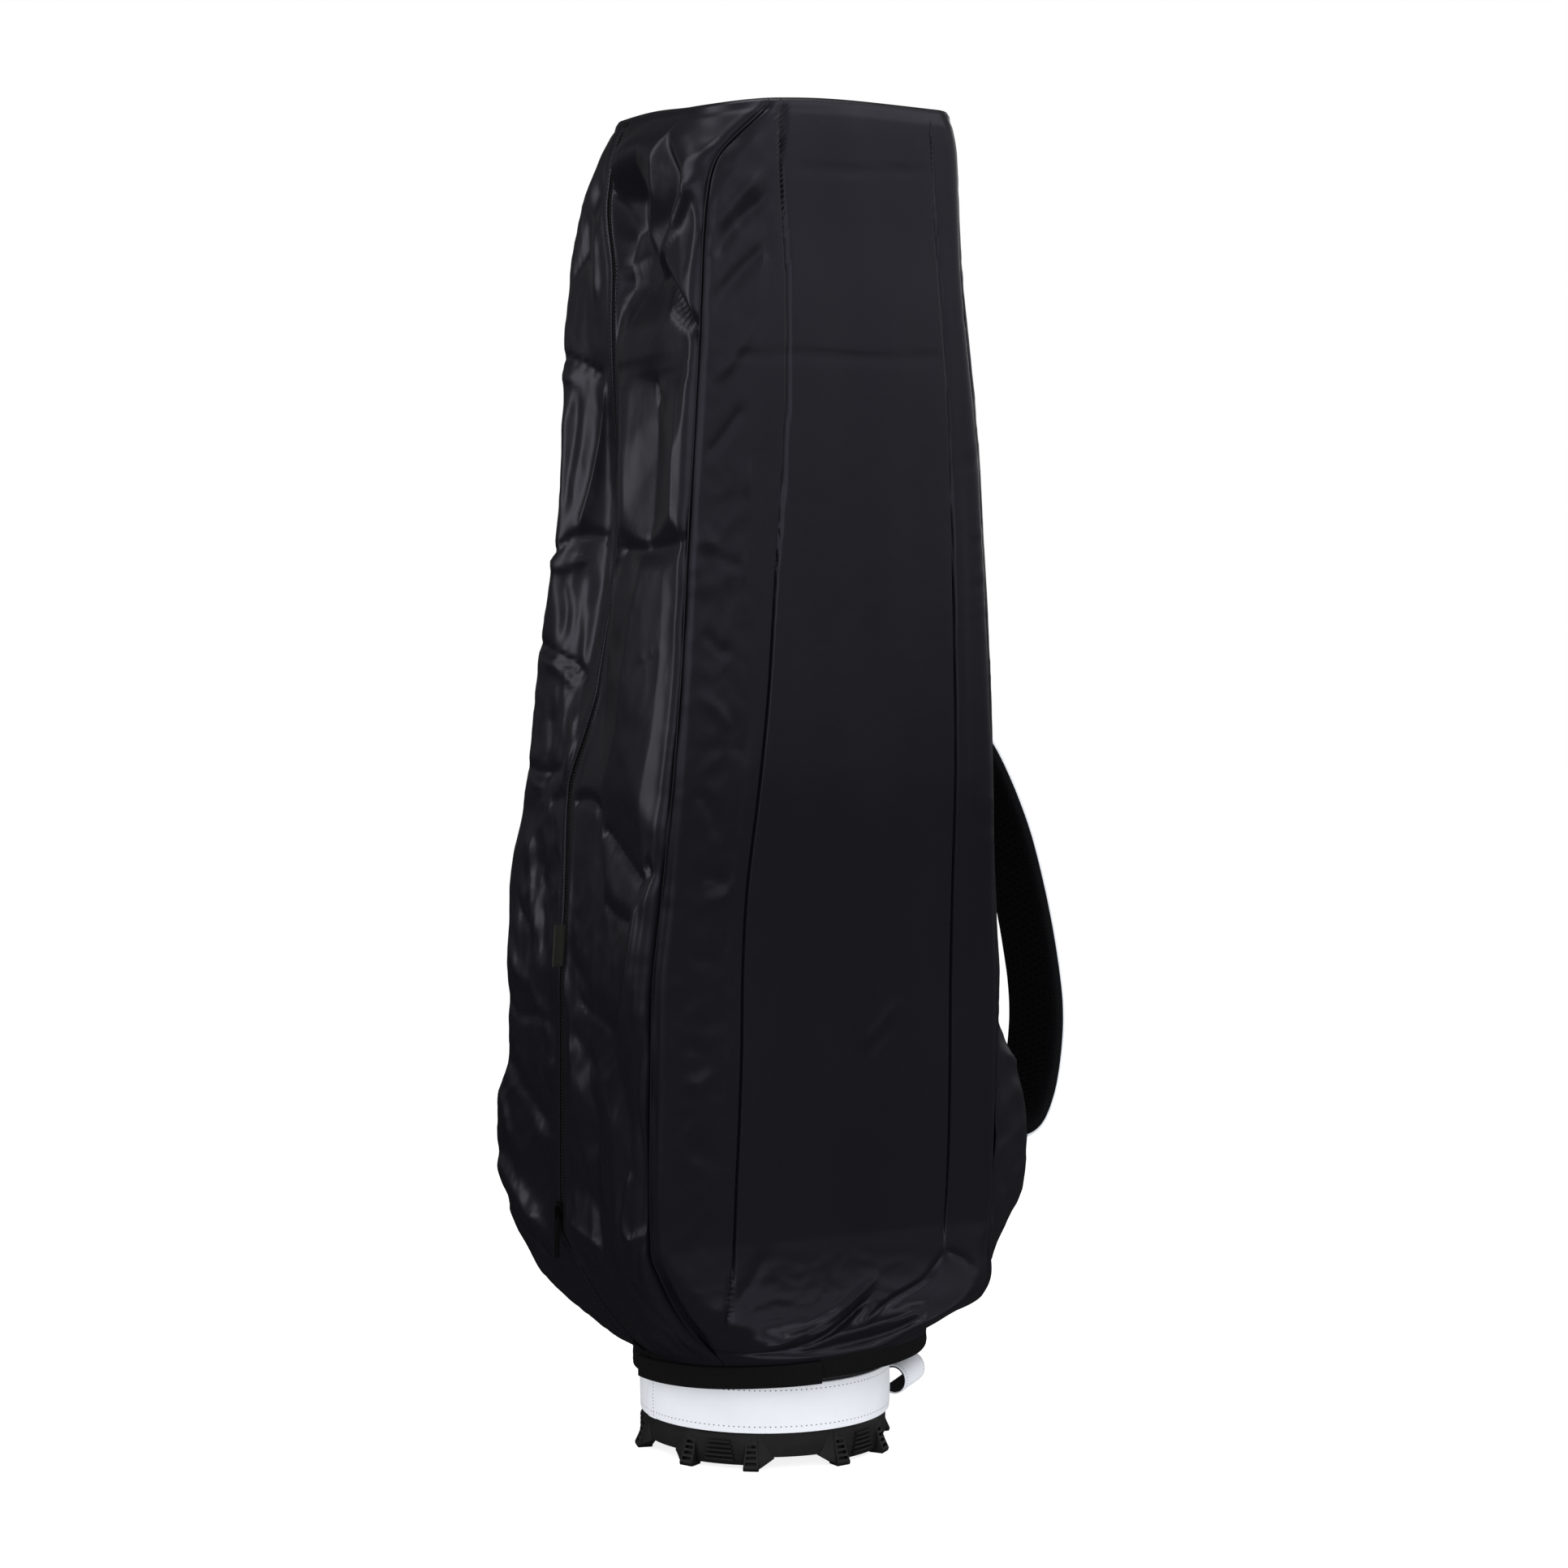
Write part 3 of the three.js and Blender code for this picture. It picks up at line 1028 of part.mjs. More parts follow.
// Sewn patch on the kick band that the loop's upper end is stitched into.
function loopAnchor() {
  const end = degToRad(LOOP_ENDS[1]);
  const tip = [
    LOOP_RADIUS * Math.cos(end) - LOOP_TAIL * Math.sin(end) - SEAT - 1.2,
    LOOP_RADIUS * Math.sin(end) + LOOP_TAIL * Math.cos(end),
  ];
  const patch = box([tip[0] - 22, 2, tip[1] - 5], [tip[0], LOOP_WIDTH - 14, tip[1] + 8]);
  return cut(placeLoop(patch), disc(BAND_OUTER + SEAT, 0, BAND_TOP + 5, 96));
}
add('lift_handle_anchor', loopAnchor(), WHITE_LEATHER);

// ---------------------------------------------------------------- row frame

// The part's origin is on the ground, in the middle of its footprint.
const footprint = new THREE.Box3().setFromObject(root).getCenter(new THREE.Vector3());
root.position.set(-footprint.x, -footprint.y, 0);

export default root;
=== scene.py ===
"""Looks of the golf travel case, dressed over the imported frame.

A black nylon travel cover hangs over a cart bag that stands on a cleated base. Sizes are in
millimetres about the bag's axis, with the front at -Y and the shoulder strap on the +X side; an
azimuth counts from -Y towards +X. Everything is turned into metres in the row frame at the end.
"""

import logging
import math
from dataclasses import dataclass
from enum import Enum
from functools import cached_property
from typing import Callable, Sequence

import bmesh
import bpy
import numpy as np
from bmesh.types import BMesh
from bpy.types import Material, Node, NodeSocket, NodeTree, Object
from mathutils import Matrix, Vector
from mathutils.geometry import delaunay_2d_cdt


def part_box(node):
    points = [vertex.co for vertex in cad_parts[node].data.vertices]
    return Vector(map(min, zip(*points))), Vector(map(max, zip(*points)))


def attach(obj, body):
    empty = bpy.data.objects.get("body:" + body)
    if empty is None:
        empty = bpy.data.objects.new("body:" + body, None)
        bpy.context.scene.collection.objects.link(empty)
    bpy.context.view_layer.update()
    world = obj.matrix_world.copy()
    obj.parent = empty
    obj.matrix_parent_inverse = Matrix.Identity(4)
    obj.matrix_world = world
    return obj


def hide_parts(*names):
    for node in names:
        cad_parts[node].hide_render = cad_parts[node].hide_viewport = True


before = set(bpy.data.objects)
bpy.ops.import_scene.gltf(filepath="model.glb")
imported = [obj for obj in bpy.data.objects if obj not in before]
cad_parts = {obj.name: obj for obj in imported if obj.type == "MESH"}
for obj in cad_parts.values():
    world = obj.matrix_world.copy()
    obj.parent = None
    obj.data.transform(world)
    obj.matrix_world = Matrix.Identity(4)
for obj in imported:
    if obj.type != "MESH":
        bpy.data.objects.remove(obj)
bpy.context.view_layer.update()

LOG = logging.getLogger("travel_case")
ROOT_BODY = "bag_and_cover"

MM = 0.001
TUBE_LOW, TUBE_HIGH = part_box("bag_tube")
AXIS = np.array([(TUBE_LOW.x + TUBE_HIGH.x) / 2, (TUBE_LOW.y + TUBE_HIGH.y) / 2, 0.0])
# a distance in millimetres beyond every reach
FAR = 1e3
# the angle in degrees above which an edge of cloth is shaded sharp
CLOTH_SHARP = 60.0

Points = np.ndarray
Outline = Sequence[tuple[float, float]]
# length along, width across and height, in millimetres
Size = tuple[float, float, float]
Colour = tuple[float, float, float]
Place = Callable[[Points, Points, Points], Points]


# ---------------------------------------------------------------- numbers


def eased(share: Points) -> Points:
    """A share from 0 to 1, eased at both ends."""
    share = np.clip(share, 0.0, 1.0)
    return share * share * (3 - 2 * share)


def placed(points: Points) -> Points:
    """Millimetres about the bag's axis, as metres in the row frame."""
    return np.asarray(points, float) * MM + AXIS


def polar(azimuth: Points, radius: Points, height: Points) -> Points:
    """Points round the axis.

    Args:
        azimuth: Azimuths in degrees.
        radius: Distances from the axis.
        height: Heights.

    Returns:
        Points in millimetres.
    """
    angle = np.radians(azimuth)
    x, y, z = np.broadcast_arrays(radius * np.sin(angle), -radius * np.cos(angle), height)
    return np.stack([x, y, z], axis=-1)


def unit(vectors: Points) -> Points:
    """Vectors brought to length one."""
    return vectors / np.maximum(np.linalg.norm(vectors, axis=-1, keepdims=True), 1e-9)


class SmoothRows:
    """Steps through rows of (key, value, value, ...) without overshoot."""

    def __init__(self, rows: Sequence[Sequence[float]]) -> None:
        """Works out the slopes at the rows.

        Args:
            rows: The rows, with rising keys.
        """
        table = np.array(rows, float)
        self.keys, self.values = table[:, 0], table[:, 1:]
        gaps = np.diff(self.keys)[:, None]
        steps = np.diff(self.values, axis=0) / gaps
        before, after = steps[:-1], steps[1:]
        near, far = 2 * gaps[1:] + gaps[:-1], gaps[1:] + 2 * gaps[:-1]
        turning = before * after <= 0
        mean = (near + far) / (near / np.where(turning, 1, before) + far / np.where(turning, 1, after))
        self.slopes = np.vstack([steps[:1], np.where(turning, 0, mean), steps[-1:]])

    def at(self, key: Points) -> Points:
        """The values at keys.

        Args:
            key: An array of keys.

        Returns:
            The values, with one more axis than the keys.
        """
        key = np.clip(np.asarray(key, float), self.keys[0], self.keys[-1])
        row = np.clip(np.searchsorted(self.keys, key) - 1, 0, len(self.keys) - 2)
        gap = (self.keys[row + 1] - self.keys[row])[..., None]
        t = (key - self.keys[row])[..., None] / gap
        rise = t * t * (3 - 2 * t)
        return (
            (1 - rise) * self.values[row]
            + rise * self.values[row + 1]
            + gap * (t * (1 - t) ** 2 * self.slopes[row] - t * t * (1 - t) * self.slopes[row + 1])
        )

    def one(self, key: Points) -> Points:
        """The first value at keys."""
        return self.at(key)[..., 0]


class Noise:
    """Seeded gradient noise over two coordinates, from about -1 to 1."""

    def __init__(self, seed: int) -> None:
        """Shuffles the lattice.

        Args:
            seed: The seed, so that every run gives the same cloth.
        """
        rng = np.random.default_rng(seed)
        self.order = np.tile(rng.permutation(256), 2)
        self.turns = rng.uniform(0, 2 * np.pi, 256)

    def at(self, x: Points, y: Points) -> Points:
        """The noise at points.

        Args:
            x: Places along the first axis, in wavelengths.
            y: Places along the second.

        Returns:
            The noise.
        """
        x, y = np.broadcast_arrays(np.asarray(x, float), np.asarray(y, float))
        cell_x, cell_y = np.floor(x).astype(int), np.floor(y).astype(int)
        fx, fy = x - cell_x, y - cell_y
        sx, sy = fx**3 * (fx * (6 * fx - 15) + 10), fy**3 * (fy * (6 * fy - 15) + 10)

        def pull(dx: int, dy: int) -> Points:
            """The lattice corner's gradient, seen from each point."""
            turn = self.turns[self.order[self.order[(cell_x + dx) & 255] + ((cell_y + dy) & 255)]]
            return np.cos(turn) * (fx - dx) + np.sin(turn) * (fy - dy)

        low = pull(0, 0) * (1 - sx) + pull(1, 0) * sx
        high = pull(0, 1) * (1 - sx) + pull(1, 1) * sx
        return 1.4 * (low * (1 - sy) + high * sy)

    def creased(self, x: Points, y: Points) -> Points:
        """Facets that meet in sharp ridges, as crumpled cloth does.

        Args:
            x: Places along the first axis, in wavelengths.
            y: Places along the second.

        Returns:
            Heights about zero.
        """
        warp_x = x + 0.35 * self.at(x * 0.7 + 31, y * 0.7)
        warp_y = y + 0.35 * self.at(x * 0.7, y * 0.7 + 57)
        coarse = 1 - 2.4 * np.abs(self.at(warp_x, warp_y))
        fine = 1 - 2.4 * np.abs(self.at(2.1 * warp_x + 9, 2.1 * warp_y + 5))
        return 0.7 * coarse + 0.3 * fine - 0.35


def smooth_path(points: Sequence[Sequence[float]], per_leg: int) -> Points:
    """A Catmull-Rom line through points.

    Args:
        points: The points, in two or three coordinates.
        per_leg: How many steps each leg gets.

    Returns:
        The line's points, both ends among them.
    """
    given = np.array(points, float)
    if len(given) < 3:
        return np.linspace(given[0], given[-1], per_leg + 1)
    ends = np.vstack([2 * given[0] - given[1], given, 2 * given[-1] - given[-2]])
    t = np.linspace(0, 1, per_leg, endpoint=False)[:, None]
    legs = []
    for a, b, c, d in zip(ends[:-3], ends[1:-2], ends[2:-1], ends[3:]):
        legs.append(
            b + 0.5 * t * (c - a + t * (2 * a - 5 * b + 4 * c - d + t * (3 * (b - c) + d - a)))
        )
    return np.vstack([*legs, given[-1:]])


def gone_along(line: Points) -> Points:
    """The distance from a line's start to each of its points."""
    return np.concatenate([[0], np.cumsum(np.linalg.norm(np.diff(line, axis=0), axis=1))])


def read_off(marks: Points, keys: Points, rows: Points) -> Points:
    """Rows of values, read off at marks between the rows' keys."""
    return np.stack([np.interp(marks, keys, rows[:, i]) for i in range(rows.shape[1])], axis=-1)


def along_path(line: Points, marks: Points) -> tuple[Points, Points]:
    """Points on a line at distances along it, and the line's direction there.

    Args:
        line: The line's points.
        marks: Distances from its start.

    Returns:
        The points and the unit directions.
    """
    lengths = gone_along(line)
    step = 0.5 + 0.002 * lengths[-1]
    ahead, behind = (read_off(marks + move, lengths, line) for move in (step, -step))
    return read_off(marks, lengths, line), unit(ahead - behind)


def length_of(line: Points) -> float:
    """The length of a line through points."""
    return float(np.linalg.norm(np.diff(line, axis=0), axis=1).sum())


# ---------------------------------------------------------------- mesh work


def in_scene(name: str, data: bpy.types.ID) -> Object:
    """Puts data into the scene as an object.

    Args:
        name: The object's name.
        data: Its mesh, light or camera.

    Returns:
        The object.
    """
    made = bpy.data.objects.new(name, data)
    bpy.context.scene.collection.objects.link(made)
    return made


def as_mesh(bm: BMesh, name: str) -> bpy.types.Mesh:
    """Turns a bmesh into a mesh.

    Args:
        bm: The bmesh, which is freed.
        name: The mesh's name.

    Returns:
        The mesh.
    """
    mesh = bpy.data.meshes.new(name)
    bm.to_mesh(mesh)
    bm.free()
    return mesh


def shaded(bm: BMesh, name: str, sharp: float) -> Object:
    """Turns a bmesh in metres into a smoothly shaded object.

    Args:
        bm: The bmesh, which is freed.
        name: The piece's name.
        sharp: Edges that turn further than this many degrees keep their edge in shading.

    Returns:
        The object.
    """
    mesh = as_mesh(bm, name)
    mesh.shade_smooth()
    mesh.set_sharp_from_angle(angle=math.radians(sharp))
    return in_scene(name, mesh)


def to_object(bm: BMesh, name: str, sharp: float = 50.0) -> Object:
    """Turns a bmesh in millimetres about the axis into an object at the origin.

    Args:
        bm: The bmesh, which is freed.
        name: The piece's name.
        sharp: As in shaded.

    Returns:
        The object.
    """
    bmesh.ops.scale(bm, vec=(MM, MM, MM), verts=bm.verts)
    bmesh.ops.translate(bm, vec=Vector(AXIS), verts=bm.verts)
    return shaded(bm, name, sharp)


def outward(bm: BMesh) -> None:
    """Merges doubles and turns every face outward."""
    bmesh.ops.remove_doubles(bm, verts=bm.verts, dist=1e-3)
    bmesh.ops.recalc_face_normals(bm, faces=bm.faces)


def round_edges(bm: BMesh, width: float, segments: int = 2, angle: float = 35.0) -> None:
    """Bevels every edge that turns further than an angle.

    Args:
        bm: The bmesh.
        width: The bevel's width in the bmesh's units.
        segments: Steps across the bevel.
        angle: The least turn in degrees of an edge that is rounded.
    """
    sharp = [e for e in bm.edges if e.is_manifold and e.calc_face_angle(0) > math.radians(angle)]
    bmesh.ops.bevel(
        bm, geom=sharp, offset=width, offset_type="OFFSET", segments=segments, profile=0.5,
        affect="EDGES", clamp_overlap=True, material=-1,
    )


def block(
    columns: int, rows: int, place: Place, rounding: float = 0.0, segments: int = 2,
    flat: tuple[float, float] = (1.0, 1.0), angle: float = 35.0,
) -> BMesh:
    """A unit block of one layer, bent by a function and rounded along its edges.

    Args:
        columns: Cells along u.
        rows: Cells along v.
        place: Takes arrays u, v and w from 0 to 1 and returns points in millimetres.
        rounding: The edges' bevel in millimetres.
        segments: Steps across the bevel.
        flat: The block's flat size in metres, which its UV map is drawn in.
        angle: The least turn in degrees of an edge that is rounded.

    Returns:
        The closed bmesh.
    """
    bm = bmesh.new()
    uv = bm.loops.layers.uv.new("UVMap")
    bmesh.ops.create_grid(bm, x_segments=columns, y_segments=rows, size=0.5)
    raised = bmesh.ops.extrude_face_region(bm, geom=bm.faces[:])["geom"]
    top = [g for g in raised if isinstance(g, bmesh.types.BMVert)]
    bmesh.ops.translate(bm, vec=(0, 0, 1), verts=top)
    for face in bm.faces:
        for loop in face.loops:
            x, y, _ = loop.vert.co
            loop[uv].uv = ((x + 0.5) * flat[0], (y + 0.5) * flat[1])
    at = np.array([v.co for v in bm.verts]).reshape(-1, 3)
    made = place(at[:, 0] + 0.5, at[:, 1] + 0.5, at[:, 2])
    for vert, point in zip(bm.verts, made):
        vert.co = point
    outward(bm)
    if rounding:
        round_edges(bm, rounding, segments, angle)
    return bm


def spun(
    profile: Outline, steps: int = 128, rounding: float = 0.0, segments: int = 2,
) -> BMesh:
    """A closed profile of (radius, height) spun about the axis.

    Args:
        profile: The profile's corners, in order.
        steps: Steps of the full turn.
        rounding: The bevel of its sharp edges.
        segments: Steps across the bevel.

    Returns:
        The closed bmesh.
    """
    bm = bmesh.new()
    verts = [bm.verts.new((r, 0, z)) for r, z in profile]
    edges = [bm.edges.new(pair) for pair in zip(verts, verts[1:] + verts[:1])]
    bmesh.ops.spin(
        bm, geom=verts + edges, cent=(0, 0, 0), axis=(0, 0, 1), dvec=(0, 0, 0),
        angle=2 * math.pi, steps=steps, use_merge=True, use_duplicate=False,
    )
    outward(bm)
    if rounding:
        round_edges(bm, rounding, segments)
    return bm


def joined(name: str, parts: Sequence[BMesh], sharp: float = 50.0) -> Object:
    """One object from several bmeshes.

    Args:
        name: The piece's name.
        parts: The bmeshes, which are freed.
        sharp: As in shaded.

    Returns:
        The object.
    """
    whole = bmesh.new()
    for part in parts:
        mesh = as_mesh(part, "part")
        whole.from_mesh(mesh)
        bpy.data.meshes.remove(mesh)
    return to_object(whole, name, sharp)


def turned(bm: BMesh, azimuth: float) -> BMesh:
    """Turns a bmesh about the axis.

    Args:
        bm: The bmesh.
        azimuth: The turn in degrees.

    Returns:
        The same bmesh.
    """
    bmesh.ops.rotate(
        bm, cent=(0, 0, 0), matrix=Matrix.Rotation(math.radians(azimuth), 3, "Z"), verts=bm.verts
    )
    return bm


def softened(node: str, name: str, rounding: float, segments: int = 2) -> Object:
    """A copy of a frame node, merged and with its edges rounded.

    Args:
        node: The node's name.
        name: The new piece's name.
        rounding: The bevel in millimetres.
        segments: Steps across the bevel.

    Returns:
        The copy, at the origin.
    """
    bm = bmesh.new()
    bm.from_mesh(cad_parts[node].data)
    bmesh.ops.remove_doubles(bm, verts=bm.verts, dist=1e-6)
    bmesh.ops.dissolve_limit(bm, angle_limit=math.radians(0.5), verts=bm.verts, edges=bm.edges)
    bmesh.ops.recalc_face_normals(bm, faces=bm.faces)
    round_edges(bm, rounding * MM, segments)
    return shaded(bm, name, 40)


def beads(name: str, at: Points, along: Points, out: Points, size: Size) -> Object:
    """A row of small rounded stitches or dots.

    Args:
        name: The piece's name.
        at: Their middles in millimetres.
        along: Their directions.
        out: The surface's normals under them.
        size: Length along, width across and height.

    Returns:
        The object.
    """
    bm = bmesh.new()
    along, out = unit(along), unit(out)
    side = unit(np.cross(out, along))
    out = unit(np.cross(along, side))
    for middle, a, s, o in zip(at, along, side, out):
        turn = Matrix((
            (a[0] * size[0], s[0] * size[1], o[0] * size[2], middle[0]),
            (a[1] * size[0], s[1] * size[1], o[1] * size[2], middle[1]),
            (a[2] * size[0], s[2] * size[1], o[2] * size[2], middle[2]),
            (0, 0, 0, 1),
        ))
        bmesh.ops.create_icosphere(bm, subdivisions=1, radius=0.5, matrix=turn)
    return to_object(bm, name, 80)


class Sheet:
    """A fine grid of cloth, whose rows and columns can be read back."""

    def __init__(
        self, name: str, columns: int, rows: int, focus: Sequence[float] = (), low: float = 0.0
    ) -> None:
        """Lays out the flat grid.

        Args:
            name: The piece's name.
            columns: Cells along u.
            rows: Cells along v.
            focus: The shares of u round which the columns crowd.
            low: How much denser the rows are at the foot.
        """
        bm = bmesh.new()
        bm.loops.layers.uv.new("UVMap")
        bmesh.ops.create_grid(bm, x_segments=columns, y_segments=rows, size=0.5, calc_uvs=True)
        self.mesh = as_mesh(bm, name)
        at = np.empty(3 * len(self.mesh.vertices), np.float32)
        self.mesh.vertices.foreach_get("co", at)
        at = at.reshape(-1, 3).astype(float).round(6)
        self.order = np.lexsort((at[:, 0], at[:, 1]))
        self.shape = (rows + 1, columns + 1)
        self.crowded = self.shares(columns, [(middle, 0.024, 5.0) for middle in focus])
        self.rising = self.shares(rows, [(0.0, 0.12, low)])
        self.u = np.broadcast_to(self.crowded, self.shape)
        self.v = np.broadcast_to(self.rising[:, None], self.shape)
        self.points = np.zeros((*self.shape, 3))
        self.normals = np.zeros((*self.shape, 3))
        self.name = name

    @staticmethod
    def shares(count: int, crowds: Sequence[tuple[float, float, float]]) -> Points:
        """Shares from 0 to 1 that crowd at places.

        Args:
            count: The number of steps.
            crowds: Each place, its spread, and how much denser it is.

        Returns:
            The shares.
        """
        fine = np.linspace(0, 1, 2001)
        crowd = np.ones(2001)
        for middle, spread_out, more in crowds:
            crowd = crowd + more * np.exp(-(((fine - middle) / spread_out) ** 2))
        gone = np.concatenate([[0], np.cumsum(0.5 * (crowd[1:] + crowd[:-1]))])
        return np.interp(np.linspace(0, 1, count + 1), gone / gone[-1], fine)

    def lay(self, points: Points, flat: tuple[float, float]) -> Object:
        """Puts the grid's points in place.

        Args:
            points: Points in millimetres, one for each row and column.
            flat: The cloth's flat width and length in metres, for its UV map.

        Returns:
            The object.
        """
        self.points, self.normals = points, slopes(points)[2]
        at = np.empty((len(self.order), 3), np.float32)
        at[self.order] = placed(points.reshape(-1, 3))
        self.mesh.vertices.foreach_set("co", at.ravel())
        layer = self.mesh.uv_layers[0].uv
        uv = np.empty(2 * len(layer), np.float32)
        layer.foreach_get("vector", uv)
        uv = uv.reshape(-1, 2)
        uv[:, 0] = np.interp(uv[:, 0], np.linspace(0, 1, self.shape[1]), self.crowded)
        uv[:, 1] = np.interp(uv[:, 1], np.linspace(0, 1, self.shape[0]), self.rising)
        layer.foreach_set("vector", (uv * np.array(flat, np.float32)).ravel())
        self.mesh.update()
        self.mesh.shade_smooth()
        return in_scene(self.name, self.mesh)

    def drop_cells(self, made: Object, gone: Callable[[Points], Points]) -> None:
        """Cuts openings out of the laid sheet.

        Args:
            made: The sheet's object.
            gone: Takes the cells' middles in millimetres and says which go.
        """
        bm = bmesh.new()
        bm.from_mesh(made.data)
        middles = (np.array([f.calc_center_median() for f in bm.faces]) - AXIS) / MM
        out = [f for f, hit in zip(bm.faces, gone(middles)) if hit]
        bmesh.ops.delete(bm, geom=out, context="FACES")
        bm.to_mesh(made.data)
        bm.free()


def slopes(points: Points) -> tuple[Points, Points, Points]:
    """Reads a grid's slopes.

    Args:
        points: The grid's points.

    Returns:
        The directions along its rows and along its columns, and its outward normals.
    """
    along_u = np.gradient(points, axis=1)
    along_v = np.gradient(points, axis=0)
    return unit(along_u), unit(along_v), unit(np.cross(along_u, along_v))


def thicken(made: Object, thickness: float) -> None:
    """Gives a sheet its cloth's thickness, inwards.

    Args:
        made: The sheet.
        thickness: The thickness in millimetres.
    """
    wall = made.modifiers.new("thickness", "SOLIDIFY")
    wall.thickness = thickness * MM
    wall.offset = -1.0
    wall.use_even_offset = False


# ---------------------------------------------------------------- finishes


class Nodes:
    """A node tree under way."""

    def __init__(self, tree: NodeTree) -> None:
        """Takes up a tree."""
        self.tree = tree

    def add(self, kind: str, inputs: dict[str | int, object] | None = None, **settings: object) -> Node:
        """Adds a node.

        Args:
            kind: The node's type.
            inputs: Values or links for its sockets.
            settings: Its own properties.

        Returns:
            The node.
        """
        node = self.tree.nodes.new(kind)
        for key, value in settings.items():
            setattr(node, key, value)
        for key, value in (inputs or {}).items():
            if isinstance(value, NodeSocket):
                self.tree.links.new(value, node.inputs[key])
            else:
                node.inputs[key].default_value = value
        return node

    def mathed(self, operation: str, first: object, second: object) -> NodeSocket:
        """A sum, product or other operation of two values or sockets."""
        return self.add("ShaderNodeMath", {0: first, 1: second}, operation=operation).outputs[0]

    def stepped(self, by: NodeSocket, start: tuple[float, float], end: tuple[float, float]) -> NodeSocket:
        """A value that eases between two results.

        Args:
            by: The driving value.
            start: Where it starts and ends to count.
            end: The two results.

        Returns:
            The result.
        """
        inputs = {"Value": by, "From Min": start[0], "From Max": start[1], "To Min": end[0], "To Max": end[1]}
        return self.add("ShaderNodeMapRange", inputs, interpolation_type="SMOOTHSTEP").outputs["Result"]


class Shader(Nodes):
    """A material under way: a surface and the nodes that feed it."""

    def __init__(self, name: str, shade: Colour, roughness: float, **surface: float) -> None:
        """Starts the material.

        Args:
            name: The material's name.
            shade: The base colour.
            roughness: The surface's roughness.
            surface: Other sockets of the surface, by their names with _ for a space.
        """
        self.material = bpy.data.materials.new(name)
        self.material.use_nodes = True
        super().__init__(self.material.node_tree)
        self.surface = self.tree.nodes["Principled BSDF"]
        self.surface.inputs["Base Color"].default_value = (*shade, 1)
        self.surface.inputs["Roughness"].default_value = roughness
        for socket, value in surface.items():
            self.surface.inputs[socket.replace("_", " ")].default_value = value
        self.places = self.tree.nodes.new("ShaderNodeTexCoord")
        self.relief: NodeSocket | None = None

    def scaled(self, source: str, scale: Sequence[float], turn: float = 0.0) -> NodeSocket:
        """Coordinates, scaled and turned.

        Args:
            source: The coordinates' name.
            scale: The scale on each axis.
            turn: A turn about Z in radians.

        Returns:
            The coordinates.
        """
        node = self.add(
            "ShaderNodeMapping",
            {"Vector": self.places.outputs[source], "Scale": tuple(scale), "Rotation": (0, 0, turn)},
        )
        return node.outputs["Vector"]

    def noise(
        self, source: str, scale: Sequence[float], detail: float = 2.0, rough: float = 0.5,
        warp: float = 0.0,
    ) -> NodeSocket:
        """Noise over coordinates.

        Args:
            source: The coordinates' name.
            scale: Cycles per metre on each axis.
            detail: Octaves.
            rough: How strong the finer ones are.
            warp: How far it is distorted.

        Returns:
            The noise from 0 to 1.
        """
        inputs = {"Vector": self.scaled(source, scale), "Scale": 1.0, "Detail": detail,
                  "Roughness": rough, "Distortion": warp}
        return self.add("ShaderNodeTexNoise", inputs).outputs["Fac"]

    def cells(self, source: str, scale: Sequence[float], feature: str = "F1") -> NodeSocket:
        """Distances in a field of cells, in cells per metre."""
        inputs = {"Vector": self.scaled(source, scale), "Scale": 1.0}
        return self.add("ShaderNodeTexVoronoi", inputs, feature=feature).outputs["Distance"]

    def lines(self, source: str, pitch: float, axis: str, turn: float = 0.0) -> NodeSocket:
        """Even ridges.

        Args:
            source: The coordinates' name.
            pitch: The pitch in metres.
            axis: The axis that they run across.
            turn: A turn about Z in radians.

        Returns:
            The ridges from 0 to 1.
        """
        # a wave texture repeats every 2 pi / 20 units of its own scale
        rate = 2 * math.pi / (20 * pitch)
        inputs = {"Vector": self.scaled(source, (rate, rate, rate), turn), "Scale": 1.0}
        node = self.add("ShaderNodeTexWave", inputs, wave_type="BANDS", bands_direction=axis)
        return node.outputs["Fac"]

    def mottle(self, by: NodeSocket, low: Colour, high: Colour, spread: float = 0.25) -> None:
        """Varies the colour between two shades.

        Args:
            by: The driving value.
            low: The shade at low values.
            high: The shade at high ones.
            spread: How far about 0.5 the shades blend.
        """
        ramp = self.add("ShaderNodeValToRGB", {"Fac": by})
        ramp.color_ramp.elements[0].position = 0.5 - spread
        ramp.color_ramp.elements[0].color = (*low, 1)
        ramp.color_ramp.elements[1].position = 0.5 + spread
        ramp.color_ramp.elements[1].color = (*high, 1)
        self.tree.links.new(ramp.outputs["Color"], self.surface.inputs["Base Color"])

    def paint_hollow_shade(self, reach: float) -> None:
        """Paints shade into the colour: darkens it where the surface is hemmed in, as in hollows, slots and
        between ribs.

        Args:
            reach: The reach in metres.
        """
        colour = self.surface.inputs["Base Color"].links[0].from_socket
        # painted shade: the occlusion darkens the base colour itself
        hollow = self.add("ShaderNodeAmbientOcclusion", {"Color": colour, "Distance": reach})
        self.tree.links.new(hollow.outputs["Color"], self.surface.inputs["Base Color"])

    def vary_roughness(self, by: NodeSocket, low: float, high: float) -> None:
        """Varies the roughness between two values."""
        node = self.add("ShaderNodeMapRange", {"Value": by, "To Min": low, "To Max": high})
        self.tree.links.new(node.outputs["Result"], self.surface.inputs["Roughness"])

    def raise_by(self, height: NodeSocket, depth: float, strength: float = 1.0) -> None:
        """Adds relief over what is there.

        Args:
            height: The driving value.
            depth: The depth in metres.
            strength: How much of it shows.
        """
        inputs: dict[str | int, object] = {"Height": height, "Distance": depth, "Strength": strength}
        if self.relief is not None:
            inputs["Normal"] = self.relief
        self.relief = self.add("ShaderNodeBump", inputs).outputs["Normal"]

